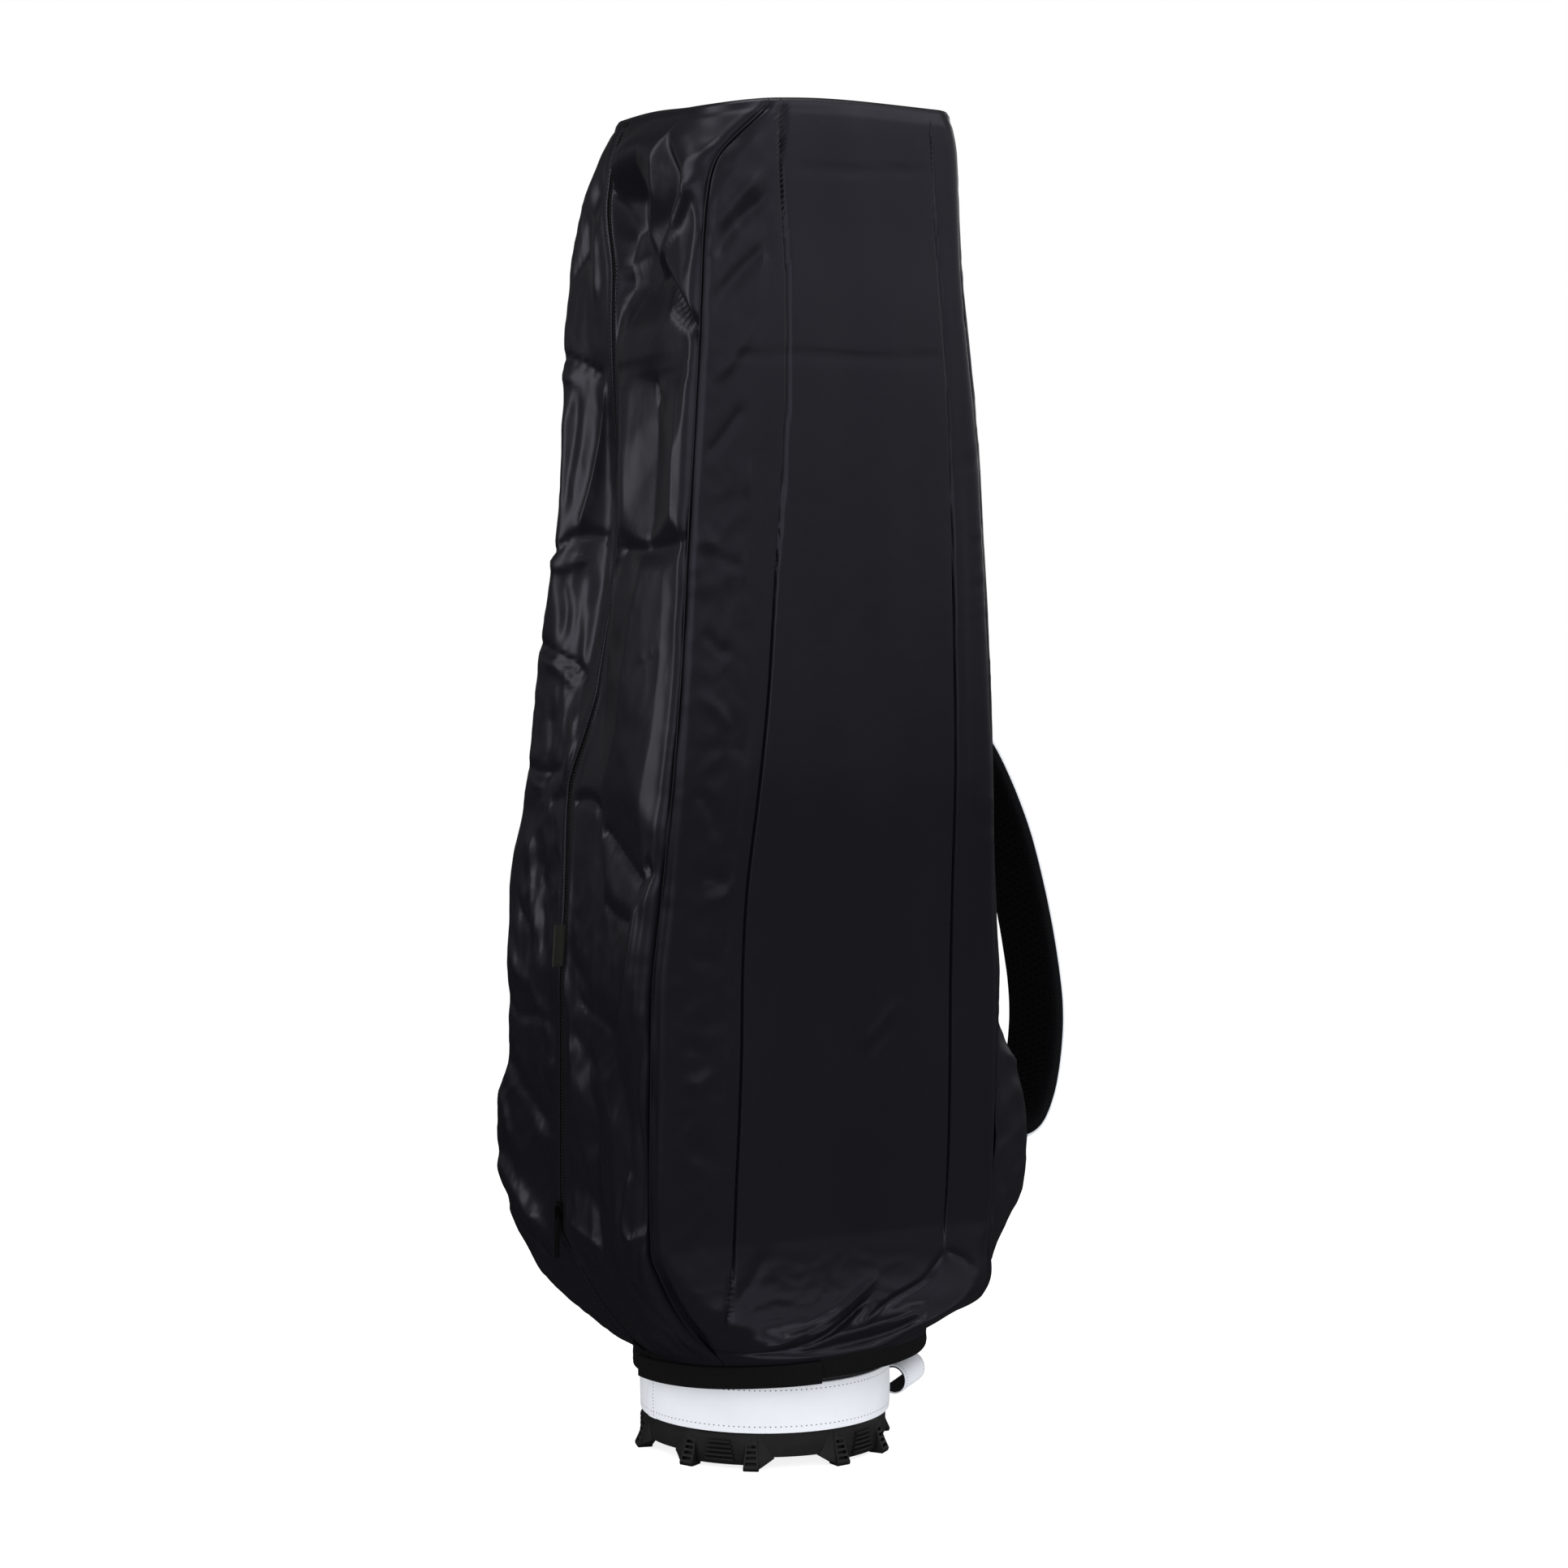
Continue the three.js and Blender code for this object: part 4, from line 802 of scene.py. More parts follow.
    def done(self) -> Material:
        """Joins the relief to the surface.

        Returns:
            The material.
        """
        if self.relief is not None:
            self.tree.links.new(self.relief, self.surface.inputs["Normal"])
        return self.material


@dataclass(frozen=True)
class NylonFinish:
    """Thin satin nylon, woven fine and crinkled from its package."""

    shade: Colour = (0.0044, 0.0042, 0.0058)
    worn: Colour = (0.0056, 0.0053, 0.0072)
    gloss: tuple[float, float] = (0.27, 0.34)
    specular: float = 0.21
    glint: Colour = (0.84, 0.80, 1.0)
    crinkle: float = 0.0005
    thread: float = 0.00055

    def material(self, name: str) -> Material:
        """Builds the material.

        Args:
            name: The material's name.

        Returns:
            The material.
        """
        made = Shader(name, self.shade, self.gloss[0], Specular_IOR_Level=self.specular,
                      Specular_Tint=(*self.glint, 1.0))
        made.mottle(made.noise("Object", (9, 9, 3), 3), self.shade, self.worn)
        made.vary_roughness(made.noise("Object", (26, 26, 14), 3), *self.gloss)
        made.raise_by(made.noise("Object", (34, 34, 26), 3, 0.5, 0.5), self.crinkle, 0.5)
        made.raise_by(made.cells("Object", (30, 30, 22), "DISTANCE_TO_EDGE"), 0.0003, 0.3)
        twill = made.lines("UV", self.thread, "DIAGONAL")
        made.raise_by(twill, 0.00003, 0.12)
        return made.done()


@dataclass(frozen=True)
class WebbingFinish:
    """Woven black webbing with ribs across its length."""

    shade: Colour = (0.0024, 0.0024, 0.0027)
    light: Colour = (0.0066, 0.0065, 0.0068)
    rib: float = 0.0019
    roughness: float = 0.82

    def material(self, name: str) -> Material:
        """Builds the material.

        Args:
            name: The material's name.

        Returns:
            The material.
        """
        made = Shader(name, self.shade, self.roughness, Specular_IOR_Level=0.1)
        ribs = made.lines("UV", self.rib, "X")
        weft = made.lines("UV", self.rib * 0.7, "Y")
        weave = made.mathed("MULTIPLY", ribs, weft)
        made.mottle(weave, self.shade, self.light, 0.4)
        made.raise_by(weave, 0.0004, 0.7)
        made.raise_by(made.noise("Object", (900, 900, 900), 2), 0.0001, 0.4)
        return made.done()


@dataclass(frozen=True)
class MeshFinish:
    """Knitted spacer mesh: open diamond cells on a slant, coloured darker than the threads as painted shade.
    """

    thread: Colour = (0.0040, 0.0040, 0.0052)
    # the open cells' colour, painted shade of the holes
    hole: Colour = (0.0012, 0.0012, 0.0016)
    cell: float = 0.0034
    roughness: float = 0.7

    def material(self, name: str) -> Material:
        """Builds the material.

        Args:
            name: The material's name.

        Returns:
            The material.
        """
        made = Shader(name, self.thread, self.roughness, Specular_IOR_Level=0.1)
        one = made.lines("UV", self.cell, "X", math.radians(38))
        two = made.lines("UV", self.cell, "X", math.radians(-38))
        knit = made.mathed("MAXIMUM", one, two)
        # painted shade: the open cells between the threads are coloured darker
        made.mottle(knit, self.hole, self.thread, 0.3)
        made.raise_by(knit, 0.0007, 0.8)
        made.raise_by(made.lines("UV", self.cell / 4, "Y"), 0.0001, 0.4)
        return made.done()


@dataclass(frozen=True)
class LeatherFinish:
    """Coated leather with a fine pebbled grain."""

    shade: Colour = (0.75, 0.77, 0.81)
    shaded: Colour = (0.70, 0.72, 0.77)
    roughness: tuple[float, float] = (0.42, 0.55)
    grain: float = 620.0

    def material(self, name: str) -> Material:
        """Builds the material.

        Args:
            name: The material's name.

        Returns:
            The material.
        """
        made = Shader(name, self.shade, self.roughness[0], Specular_IOR_Level=0.4, Coat_Weight=0.05,
                      Coat_Roughness=0.4)
        made.mottle(made.noise("Object", (16, 16, 22), 4), self.shaded, self.shade)
        made.vary_roughness(made.noise("Object", (120, 120, 120), 2), *self.roughness)
        made.raise_by(made.cells("Object", (self.grain,) * 3, "DISTANCE_TO_EDGE"), 0.00012, 0.5)
        made.raise_by(made.noise("Object", (45, 45, 45), 2), 0.0006, 0.25)
        return made.done()


@dataclass(frozen=True)
class MouldedFinish:
    """Moulded rubber or plastic with a spark grain, patchy wear, and painted shade darkening its hollows."""

    shade: Colour = (0.0088, 0.0080, 0.0088)
    worn: Colour = (0.0128, 0.0117, 0.0126)
    roughness: tuple[float, float] = (0.46, 0.60)
    grain: float = 0.00012
    specular: float = 0.16

    def material(self, name: str) -> Material:
        """Builds the material.

        Args:
            name: The material's name.

        Returns:
            The material.
        """
        made = Shader(name, self.shade, self.roughness[0], Specular_IOR_Level=self.specular)
        made.mottle(made.noise("Object", (40, 40, 70), 4), self.shade, self.worn)
        # painted shade in the hollows, slots and between the badge's ribs
        made.paint_hollow_shade(0.012)
        made.vary_roughness(made.noise("Object", (70, 70, 70), 3), *self.roughness)
        made.raise_by(made.noise("Object", (1500, 1500, 1500), 2), self.grain, 0.5)
        made.raise_by(made.noise("Object", (60, 60, 60), 2), 0.0004, 0.2)
        return made.done()


@dataclass(frozen=True)
class FoamFinish:
    """Closed-cell foam."""

    shade: Colour = (0.030, 0.030, 0.033)
    roughness: float = 0.95

    def material(self, name: str) -> Material:
        """Builds the material.

        Args:
            name: The material's name.

        Returns:
            The material.
        """
        made = Shader(name, self.shade, self.roughness, Specular_IOR_Level=0.2)
        cells = made.cells("Object", (700, 700, 700))
        made.mottle(cells, (0.022, 0.022, 0.024), self.shade, 0.4)
        made.raise_by(cells, 0.0003, 0.6)
        return made.done()


@dataclass(frozen=True)
class MetalFinish:
    """Plated or blackened metal with fine scratches."""

    shade: Colour = (0.42, 0.42, 0.43)
    roughness: tuple[float, float] = (0.24, 0.42)

    def material(self, name: str) -> Material:
        """Builds the material.

        Args:
            name: The material's name.

        Returns:
            The material.
        """
        made = Shader(name, self.shade, self.roughness[0], Metallic=1.0)
        made.vary_roughness(made.noise("Object", (500, 500, 60), 3), *self.roughness)
        made.mottle(made.noise("Object", (90, 90, 90), 3), tuple(0.8 * c for c in self.shade), self.shade)
        made.raise_by(made.noise("Object", (1200, 1200, 200), 2), 0.00004, 0.4)
        return made.done()


@dataclass(frozen=True)
class CoatedClothFinish:
    """The bag's own coated polyester."""

    shade: Colour = (0.021, 0.0215, 0.025)
    light: Colour = (0.031, 0.0315, 0.036)
    roughness: float = 0.72

    def material(self, name: str) -> Material:
        """Builds the material.

        Args:
            name: The material's name.

        Returns:
            The material.
        """
        made = Shader(name, self.shade, self.roughness, Specular_IOR_Level=0.3)
        warp = made.lines("Object", 0.0011, "Z")
        made.mottle(warp, self.shade, self.light, 0.4)
        made.raise_by(warp, 0.0001, 0.5)
        made.raise_by(made.noise("Object", (24, 24, 12), 3), 0.0012, 0.35)
        return made.done()


class Finish(Enum):
    """Every finish on the case."""

    COVER_NYLON = NylonFinish()
    BLACK_WEBBING = WebbingFinish()
    STRAP_WEBBING = WebbingFinish(rib=0.0014)
    SPACER_MESH = MeshFinish()
    INNER_LINING = MeshFinish(cell=0.0022, thread=(0.012, 0.012, 0.0135))
    WHITE_LEATHER = LeatherFinish()
    # painted shade: dark grey dots stand in for the shade inside the needle holes
    NEEDLE_HOLE_SHADE = LeatherFinish(shade=(0.10, 0.10, 0.11), shaded=(0.06, 0.06, 0.07))
    BASE_RUBBER = MouldedFinish()
    BLACK_PLASTIC = MouldedFinish(
        shade=(0.006, 0.006, 0.007), worn=(0.009, 0.009, 0.0105), roughness=(0.4, 0.5))
    ZIP_TAPE = WebbingFinish(rib=0.0011, roughness=0.9)
    ZIP_COIL = MouldedFinish(
        shade=(0.0034, 0.0034, 0.0040), worn=(0.0050, 0.0050, 0.0058), roughness=(0.4, 0.55))
    BLACK_THREAD = WebbingFinish(
        shade=(0.0060, 0.0060, 0.0072), light=(0.0105, 0.0105, 0.0125), rib=0.0004)
    SEWN_LABEL = WebbingFinish(shade=(0.020, 0.020, 0.017), light=(0.045, 0.045, 0.038), rib=0.0007)
    GREY_FOAM = FoamFinish()
    STEEL = MetalFinish()
    BLACK_ZIP_METAL = MetalFinish(shade=(0.030, 0.030, 0.032), roughness=(0.38, 0.5))
    BAG_CLOTH = CoatedClothFinish()

    @cached_property
    def material(self) -> Material:
        """The finish's material, made when it is first asked for."""
        return self.value.material(self.name.lower())


def dress(
    made: Object, finish: Finish, body: str = ROOT_BODY, replaces: Sequence[str] = (),
) -> Object:
    """Finishes a piece and fixes it to its body.

    Args:
        made: The piece.
        finish: Its finish.
        body: The body that it rides on.
        replaces: The frame nodes that it stands for.

    Returns:
        The piece.
    """
    made.data.materials.clear()
    made.data.materials.append(finish.material)
    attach(made, body)
    if replaces:
        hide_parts(*replaces)
    LOG.info("%s: %d faces on %s", made.name, len(made.data.polygons), body)
    return made


# ---------------------------------------------------------------- cover


class FoldKind(Enum):
    """How a fold looks across its line."""

    SOFT = "soft"
    SHARP = "sharp"
    LAP = "lap"
    SLIT = "slit"

    def profile(self, across: Points) -> Points:
        """The fold's height across its line.

        Args:
            across: Distances across the line, in widths.

        Returns:
            Heights from 0 to 1.
        """
        if self is FoldKind.SOFT:
            return np.exp(-(across**2))
        if self is FoldKind.SHARP:
            return np.exp(-1.5 * (np.sqrt(across**2 + 0.04) - 0.2))
        if self is FoldKind.SLIT:
            return np.exp(-(across**4)) + 0.12 * np.exp(-0.4 * np.abs(across))
        return np.where(across < 0, np.exp(-((2.4 * across) ** 2)), np.exp(-0.85 * across))


@dataclass(frozen=True)
class Fold:
    """One fold along a line of (across, height) points on a panel; rise is negative for a valley."""

    line: Outline
    rise: float
    width: float
    kind: FoldKind = FoldKind.SOFT
    fade: float = 28.0

    def lift(self, across: Points, height: Points) -> Points:
        """How far the fold moves the cloth at points.

        Args:
            across: The points' places across the panel.
            height: Their heights.

        Returns:
            Millimetres outward.
        """
        path = smooth_path(self.line, 8)
        margin = (7 if self.kind is FoldKind.LAP else 4) * self.width
        low, high = path.min(0) - margin, path.max(0) + margin
        near = (across > low[0]) & (across < high[0]) & (height > low[1]) & (height < high[1])
        raised = np.zeros_like(across)
        if not near.any():
            return raised
        at = np.stack([across[near], height[near]], -1)[:, None]
        start, leg = path[:-1], np.diff(path, axis=0)
        size = np.linalg.norm(leg, axis=1)
        share = np.clip(((at - start) * leg).sum(-1) / size**2, 0, 1)
        gap = at - start - share[..., None] * leg
        far = np.linalg.norm(gap, axis=-1)
        best = far.argmin(1)
        pick = np.arange(len(best))
        turn = leg[best, 0] * gap[pick, best, 1] - leg[best, 1] * gap[pick, best, 0]
        done = gone_along(path)
        along = done[best] + share[pick, best] * size[best]
        fade = min(self.fade, 0.45 * done[-1])
        ends = eased(along / fade) * eased((done[-1] - along) / fade)
        raised[near] = self.rise * ends * self.kind.profile(np.sign(turn) * far[pick, best] / self.width)
        return raised


@dataclass(frozen=True)
class Crumple:
    """A patch of crumpled cloth, fading out from its middle."""

    middle: tuple[float, float]
    reach: tuple[float, float]
    rise: float
    grain: tuple[float, float] = (30.0, 55.0)

    def lift(self, across: Points, height: Points, noise: Noise) -> Points:
        """How far the crumple moves the cloth at points.

        Args:
            across: The points' places across the panel.
            height: Their heights.
            noise: The panel's noise.

        Returns:
            Millimetres outward.
        """
        far = np.hypot((across - self.middle[0]) / self.reach[0], (height - self.middle[1]) / self.reach[1])
        creases = noise.creased(across / self.grain[0] + self.middle[0], height / self.grain[1])
        return self.rise * eased(1.35 - far) * creases


@dataclass(frozen=True)
class Facets:
    """Flat facets between creases of (across, height, rise) points, as crisp folded cloth lies."""

    creases: tuple[tuple[tuple[float, float, float], ...], ...]
    gain: float = 1.25

    def lift(self, across: Points, height: Points) -> Points:
        """How far the facets move the cloth at points.

        Args:
            across: The points' places across the panel.
            height: Their heights.

        Returns:
            Millimetres outward.
        """
        spots = np.array([spot for crease in self.creases for spot in crease], float)
        starts = np.cumsum([0, *map(len, self.creases)])
        edges = [(first + step, first + step + 1)
                 for first, crease in zip(starts, self.creases) for step in range(len(crease) - 1)]
        corners, _, faces, sources, _, _ = delaunay_2d_cdt(
            [Vector(spot[:2]) for spot in spots], edges, [], 0, 0.01)
        rises = [spots[source, 2].mean() if source else
                 spots[np.linalg.norm(spots[:, :2] - corner, axis=1).argmin(), 2]
                 for corner, source in zip(corners, sources)]
        raised = np.zeros_like(across)
        at = np.stack([across, height], -1)
        for face in faces:
            first, second, third = (np.array(corners[index]) for index in face)
            area = spread(second - first, third - first)
            if abs(area) < 1e-6:
                continue
            by_second = spread(at - first, third - first) / area
            by_third = spread(second - first, at - first) / area
            by_first = 1 - by_second - by_third
            inside = (by_first >= 0) & (by_second >= 0) & (by_third >= 0)
            rise = by_first * rises[face[0]] + by_second * rises[face[1]] + by_third * rises[face[2]]
            raised = np.where(inside, rise, raised)
        return self.gain * blurred(blurred(blurred(blurred(raised, 0), 1), 0), 1)


def spread(first: Points, second: Points) -> Points:
    """The signed areas between plane vectors."""
    return first[..., 0] * second[..., 1] - first[..., 1] * second[..., 0]


def blurred(values: Points, axis: int) -> Points:
    """Softens values on a grid.

    Args:
        values: The values on a grid.
        axis: The axis that they are softened along.

    Returns:
        The softened values, with the edges as they were.
    """
    before, after = np.roll(values, 1, axis), np.roll(values, -1, axis)
    inner = [slice(None)] * values.ndim
    inner[axis] = slice(1, -1)
    soft = values.copy()
    soft[tuple(inner)] = (0.25 * before + 0.5 * values + 0.25 * after)[tuple(inner)]
    return soft


SHARP, LAP, SLIT = FoldKind.SHARP, FoldKind.LAP, FoldKind.SLIT

FRONT_FOLDS = (
    # the two long package creases
    Fold(((-58, 1233), (-60, 1165), (-57, 1100), (-56, 1007), (-62, 885), (-68, 813), (-75, 706),
          (-84, 613), (-92, 526), (-94, 454), (-94, 381), (-97, 272), (-100, 193), (-111, 131)), -4.6, 1.25,
         SLIT, 20),
    Fold(((-90, 700), (-97, 613), (-105, 526), (-107, 454), (-107, 300)), 1.0, 5.0, fade=80),
    Fold(((97, 1223), (100, 1149), (110, 1017), (116, 891), (121, 743), (125, 594), (129, 292),
          (124, 187)), -2.2, 1.0, SLIT, 20),
    Fold(((116, 930), (121, 743), (125, 594), (129, 292), (124, 187)), -3.6, 1.3, SLIT, 120),
    Fold(((126, 930), (131, 743), (135, 594), (139, 292)), 0.9, 4.0, fade=120),
    Fold(((124, 187), (103, 163), (60, 146), (21, 125)), -3.4, 2.4, SLIT, 20),
    Fold(((124, 187), (146, 176), (159, 160)), -2.0, 3.0, SHARP, 12),
    # faint folds straight across
    Fold(((-62, 1167), (20, 1171), (104, 1179)), -0.8, 2.8, SHARP),
    Fold(((-142, 995), (-57, 1002), (30, 1004), (114, 1009)), -0.8, 2.8, SHARP),
    Fold(((-140, 826), (-120, 818), (-96, 812)), -1.0, 4),
    Fold(((-152, 650), (-120, 655), (-88, 648)), -0.5, 5),
    # slack at the top left
    Fold(((-136, 1078), (-108, 1112), (-66, 1150)), -2.4, 6),
    Fold(((-132, 1104), (-106, 1136), (-70, 1170)), 1.6, 5),
    Fold(((-140, 1030), (-110, 1066), (-64, 1108)), -2.0, 7),
    Fold(((-138, 972), (-116, 992), (-90, 1030)), 1.5, 5),
    Fold(((-142, 905), (-120, 930), (-100, 958)), -1.4, 4, fade=16),
    Fold(((-144, 760), (-128, 742), (-108, 736)), -1.4, 4, fade=14),
    Fold(((-148, 700), (-130, 690), (-112, 668)), 1.2, 4, fade=14),
    Fold(((-152, 620), (-134, 604), (-122, 570)), -1.3, 5, fade=14),
    Fold(((-120, 1176), (-92, 1196), (-66, 1214)), -1.6, 7),
    Fold(((-97, 908), (-98, 890), (-99, 872)), 1.2, 2.6, SHARP, 14),
    Fold(((-148, 846), (-136, 834), (-126, 840)), 1.6, 6, fade=12),
    Fold(((-100, 828), (-101, 812), (-102, 796)), 1.0, 2.8, SHARP, 12),
    # soft vertical bands
    Fold(((12, 1150), (2, 900), (-14, 640), (-20, 400), (-10, 190)), -1.2, 22, fade=120),
    Fold(((60, 1120), (52, 880), (44, 620), (40, 360), (34, 190)), 1.4, 24, fade=120),
    Fold(((-76, 1000), (-86, 800), (-100, 620), (-112, 440), (-112, 240)), -1.2, 12, fade=120),
    Fold(((66, 560), (54, 470), (38, 390), (30, 320)), -0.8, 12, fade=50),
    Fold(((29, 381), (50, 400), (72, 424)), 1.1, 2.6, SHARP, 16),
    Fold(((34, 370), (52, 388), (68, 404)), -0.7, 4, fade=16),
    # the slack strip beside the left seam
    Fold(((-146, 545), (-128, 541), (-106, 528)), -1.6, 4, SHARP, 12),
    Fold(((-140, 528), (-122, 520), (-104, 540)), 1.5, 4, SHARP, 12),
    Fold(((-150, 478), (-132, 468), (-112, 474)), -1.0, 6),
    Fold(((-152, 400), (-136, 384), (-122, 388)), -1.2, 5, SHARP, 12),
    Fold(((-154, 366), (-138, 356), (-126, 372)), 1.4, 5, fade=12),
    Fold(((-150, 318), (-136, 300), (-128, 262)), -1.0, 7),
    # gathers that fan out of the seam's foot
    Fold(((-118, 114), (-66, 121), (-22, 131), (16, 148), (52, 172)), 3.6, 3.4, SHARP, 24),
    Fold(((-116, 110), (-62, 114), (-16, 123), (20, 139), (44, 156)), -5.4, 2.6, SLIT, 24),
    Fold(((-96, 108), (-32, 112), (20, 117), (56, 122), (97, 131)), -5.0, 2.6, SLIT, 24),
    Fold(((-60, 114), (0, 121), (60, 131), (104, 142)), 3.0, 3.6, SHARP, 24),
    Fold(((-124, 112), (-112, 140), (-84, 176), (-60, 210)), -1.8, 7),
    Fold(((-108, 122), (0, 124), (112, 128)), 4.2, 8, fade=30),
    Fold(((-122, 112), (-137, 131), (-156, 152), (-172, 186)), -4.6, 3.2, SHARP, 20),
    Fold(((-140, 118), (-156, 138), (-174, 170)), 3.0, 5, fade=20),
)

LEFT_FACETS = Facets((
    # the folded top corner
    ((95, 1240, 0), (68, 1189, 3), (33, 1187, 10), (8, 1196, 12), (-19, 1196, 12), (-48, 1181, 11),
     (-66, 1199, 8), (-75, 1218, 1)),
    ((-48, 1181, 12), (-39, 1151, 4), (-21, 1121, -6), (-22, 1102, -12), (-48, 1074, -13), (-12, 1073, -14),
     (24, 1073, -11)),
    ((40, 1116, -14), (13, 1132, -21), (8, 1160, -15)),
    ((20, 1178, 6), (-10, 1180, 6)),
    ((-82, 1162, -4), (-66, 1130, -12), (-36, 1094, -13)),
    ((-104, 1163, 9), (-113, 1140, 10), (-91, 1118, 8), (-64, 1092, 5), (-48, 1074, -10)),
    ((-118, 1136, 2), (-96, 1112, 1), (-70, 1088, 0)),
    ((-131, 1155, -3), (-143, 1116, -5), (-147, 1061, -3), (-146, 1014, -3)),
    ((-48, 1074, -10), (-101, 1040, 4), (-146, 1008, -2)),
    ((-76, 1083, 3), (-112, 1053, 5), (-141, 1019, -1)),
    ((-69, 1077, -9), (-105, 1045, -12), (-138, 1017, -8)),
    ((62, 1231, 0), (-14, 1226, 0), (-73, 1222, 1), (-157, 1215, 0)),
    ((30, 1190, 10), (46, 1212, 2)),
    ((-127, 1184, 0), (-175, 1175, 0)),
    ((-9, 1033, 2), (-80, 1029, 5)),
    # hanging folds between the straight ones
    ((24, 997, 1), (-53, 994, 3), (-155, 994, 1)),
    ((17, 988, -1), (-54, 984, -2), (-147, 986, -1)),
    ((-1, 979, 3), (-14, 919, 4), (-25, 863, 3)),
    ((-68, 958, -4), (-70, 915, -5), (-75, 850, -3)),
    ((-112, 969, 3), (-115, 912, 5), (-116, 854, 4)),
    ((-15, 851, 2), (-57, 839, 3), (-75, 843, 0)),
    ((-26, 833, -4), (-73, 827, -3), (-142, 834, -4)),
    ((-65, 818, 4), (-61, 794, 6), (-49, 749, 7), (-41, 700, 7), (-38, 673, 6), (-13, 614, 4), (-2, 599, 2)),
    ((8, 800, 1), (12, 740, -1), (10, 690, -2)),
    ((-146, 811, -3), (-143, 748, -4), (-141, 685, -4), (-140, 614, -3)),
    ((-105, 813, 2), (-106, 741, 2), (-103, 670, 3), (-92, 604, 6)),
    ((-16, 581, 2), (-39, 570, 1), (-106, 534, 2)),
    ((-40, 540, 6), (-60, 520, 7)),
    ((-113, 524, 5), (-100, 512, 6), (-97, 477, 7), (-86, 418, 7), (-75, 387, 6), (-60, 335, 7),
     (-55, 266, 7), (-57, 238, 6), (-62, 206, 4)),
    ((-33, 516, 4), (-62, 498, 3)),
    ((-20, 470, 3), (-34, 440, 3)),
    ((9, 430, 2), (-16, 415, 1), (-62, 398, 2)),
    ((20, 405, 6), (12, 351, 8), (16, 306, 6)),
    ((-11, 361, 1), (-28, 319, 0), (-26, 267, 1)),
    ((-88, 330, 0), (-92, 290, 1)),
    ((28, 218, 4), (-28, 208, 6), (-46, 200, 4)),
    ((-10, 250, 1), (-30, 236, 0)),
    ((-35, 171, 3), (-70, 171, 4), (-83, 149, 3), (-110, 140, 1)),
    # the edges, where the cloth is held
    ((52, 1200, 0), (52, 1164, 0), (34, 1085, -4), (27, 1010, 0), (32, 940, 0), (38, 831, 0), (28, 730, 0),
     (38, 669, 0), (60, 610, 1), (55, 540, 3), (50, 470, 3), (50, 250, 1), (40, 150, 0), (20, 96, 0)),
    ((-150, 560, 0), (-150, 470, 0), (-150, 300, 0), (-150, 200, 0), (-170, 140, 0), (-170, 96, 0)),
))

LEFT_FOLDS = (
    # the full fold beside the front seam and its hollow
    Fold(((-150, 440), (-134, 350), (-140, 280), (-136, 214), (-112, 165)), 4.2, 9, fade=50),
    Fold(((-118, 420), (-104, 350), (-108, 280), (-104, 216), (-84, 170)), -4.6, 6, SHARP, 50),
    Fold(((-86, 360), (-72, 320), (-70, 270), (-74, 222), (-60, 180)), 2.4, 8, fade=40),
    # folds straight across
    Fold(((30, 999), (-53, 996), (-155, 996)), -1.5, 3.6, SHARP, 10),
    Fold(((24, 836), (-73, 831), (-146, 838)), -1.6, 3.2, SHARP, 12),
    # short sharp creases
    Fold(((-64, 986), (-69, 956)), -2.8, 3.6, SHARP, 10),
    Fold(((-86, 980), (-90, 950)), 1.2, 3.6, SHARP, 10),
    Fold(((-16, 581), (-39, 570), (-106, 534)), -3.6, 4.4, fade=8),
    Fold(((-104, 557), (-118, 540)), -2.8, 4.2, fade=6),
    Fold(((-113, 524), (-100, 512), (-97, 477), (-86, 418), (-75, 387)), 1.3, 3.6, SHARP, 14),
    Fold(((-33, 516), (-72, 502), (-94, 501)), -2.2, 4.4, fade=10),
    Fold(((50, 600), (30, 606), (2, 604), (-16, 592)), -3.2, 4.2, fade=10),
    Fold(((9, 430), (-16, 415), (-76, 401)), -1.8, 3.2, SHARP, 14),
    Fold(((-64, 730), (-112, 745)), 0.8, 3.6, SHARP, 14),
    Fold(((-52, 335), (-49, 307), (-47, 266), (-57, 238)), 1.3, 3.6, SHARP, 14),
    Fold(((-93, 283), (-85, 235), (-96, 219), (-112, 233)), 2.4, 4.0, fade=14),
    Fold(((28, 218), (-28, 208), (-46, 200)), 1.6, 3.6, SHARP, 12),
    Fold(((36, 470), (4, 446), (-30, 420), (-62, 410)), -1.2, 7),
    Fold(((30, 400), (-8, 378), (-44, 338)), -1.4, 8),
    Fold(((24, 320), (2, 280), (-14, 230)), -1.6, 8),
    # tension folds that run down to the hem
    Fold(((34, 200), (6, 166), (-40, 132), (-72, 114)), 2.4, 6),
    Fold(((22, 178), (-20, 146), (-60, 118)), -2.2, 4, SHARP),
    Fold(((30, 158), (2, 134), (-24, 116)), -1.8, 4, SHARP),
    Fold(((-60, 200), (-84, 160), (-104, 128)), -2.0, 6),
    Fold(((-62, 206), (-96, 176), (-124, 158)), 1.6, 4, SHARP),
)

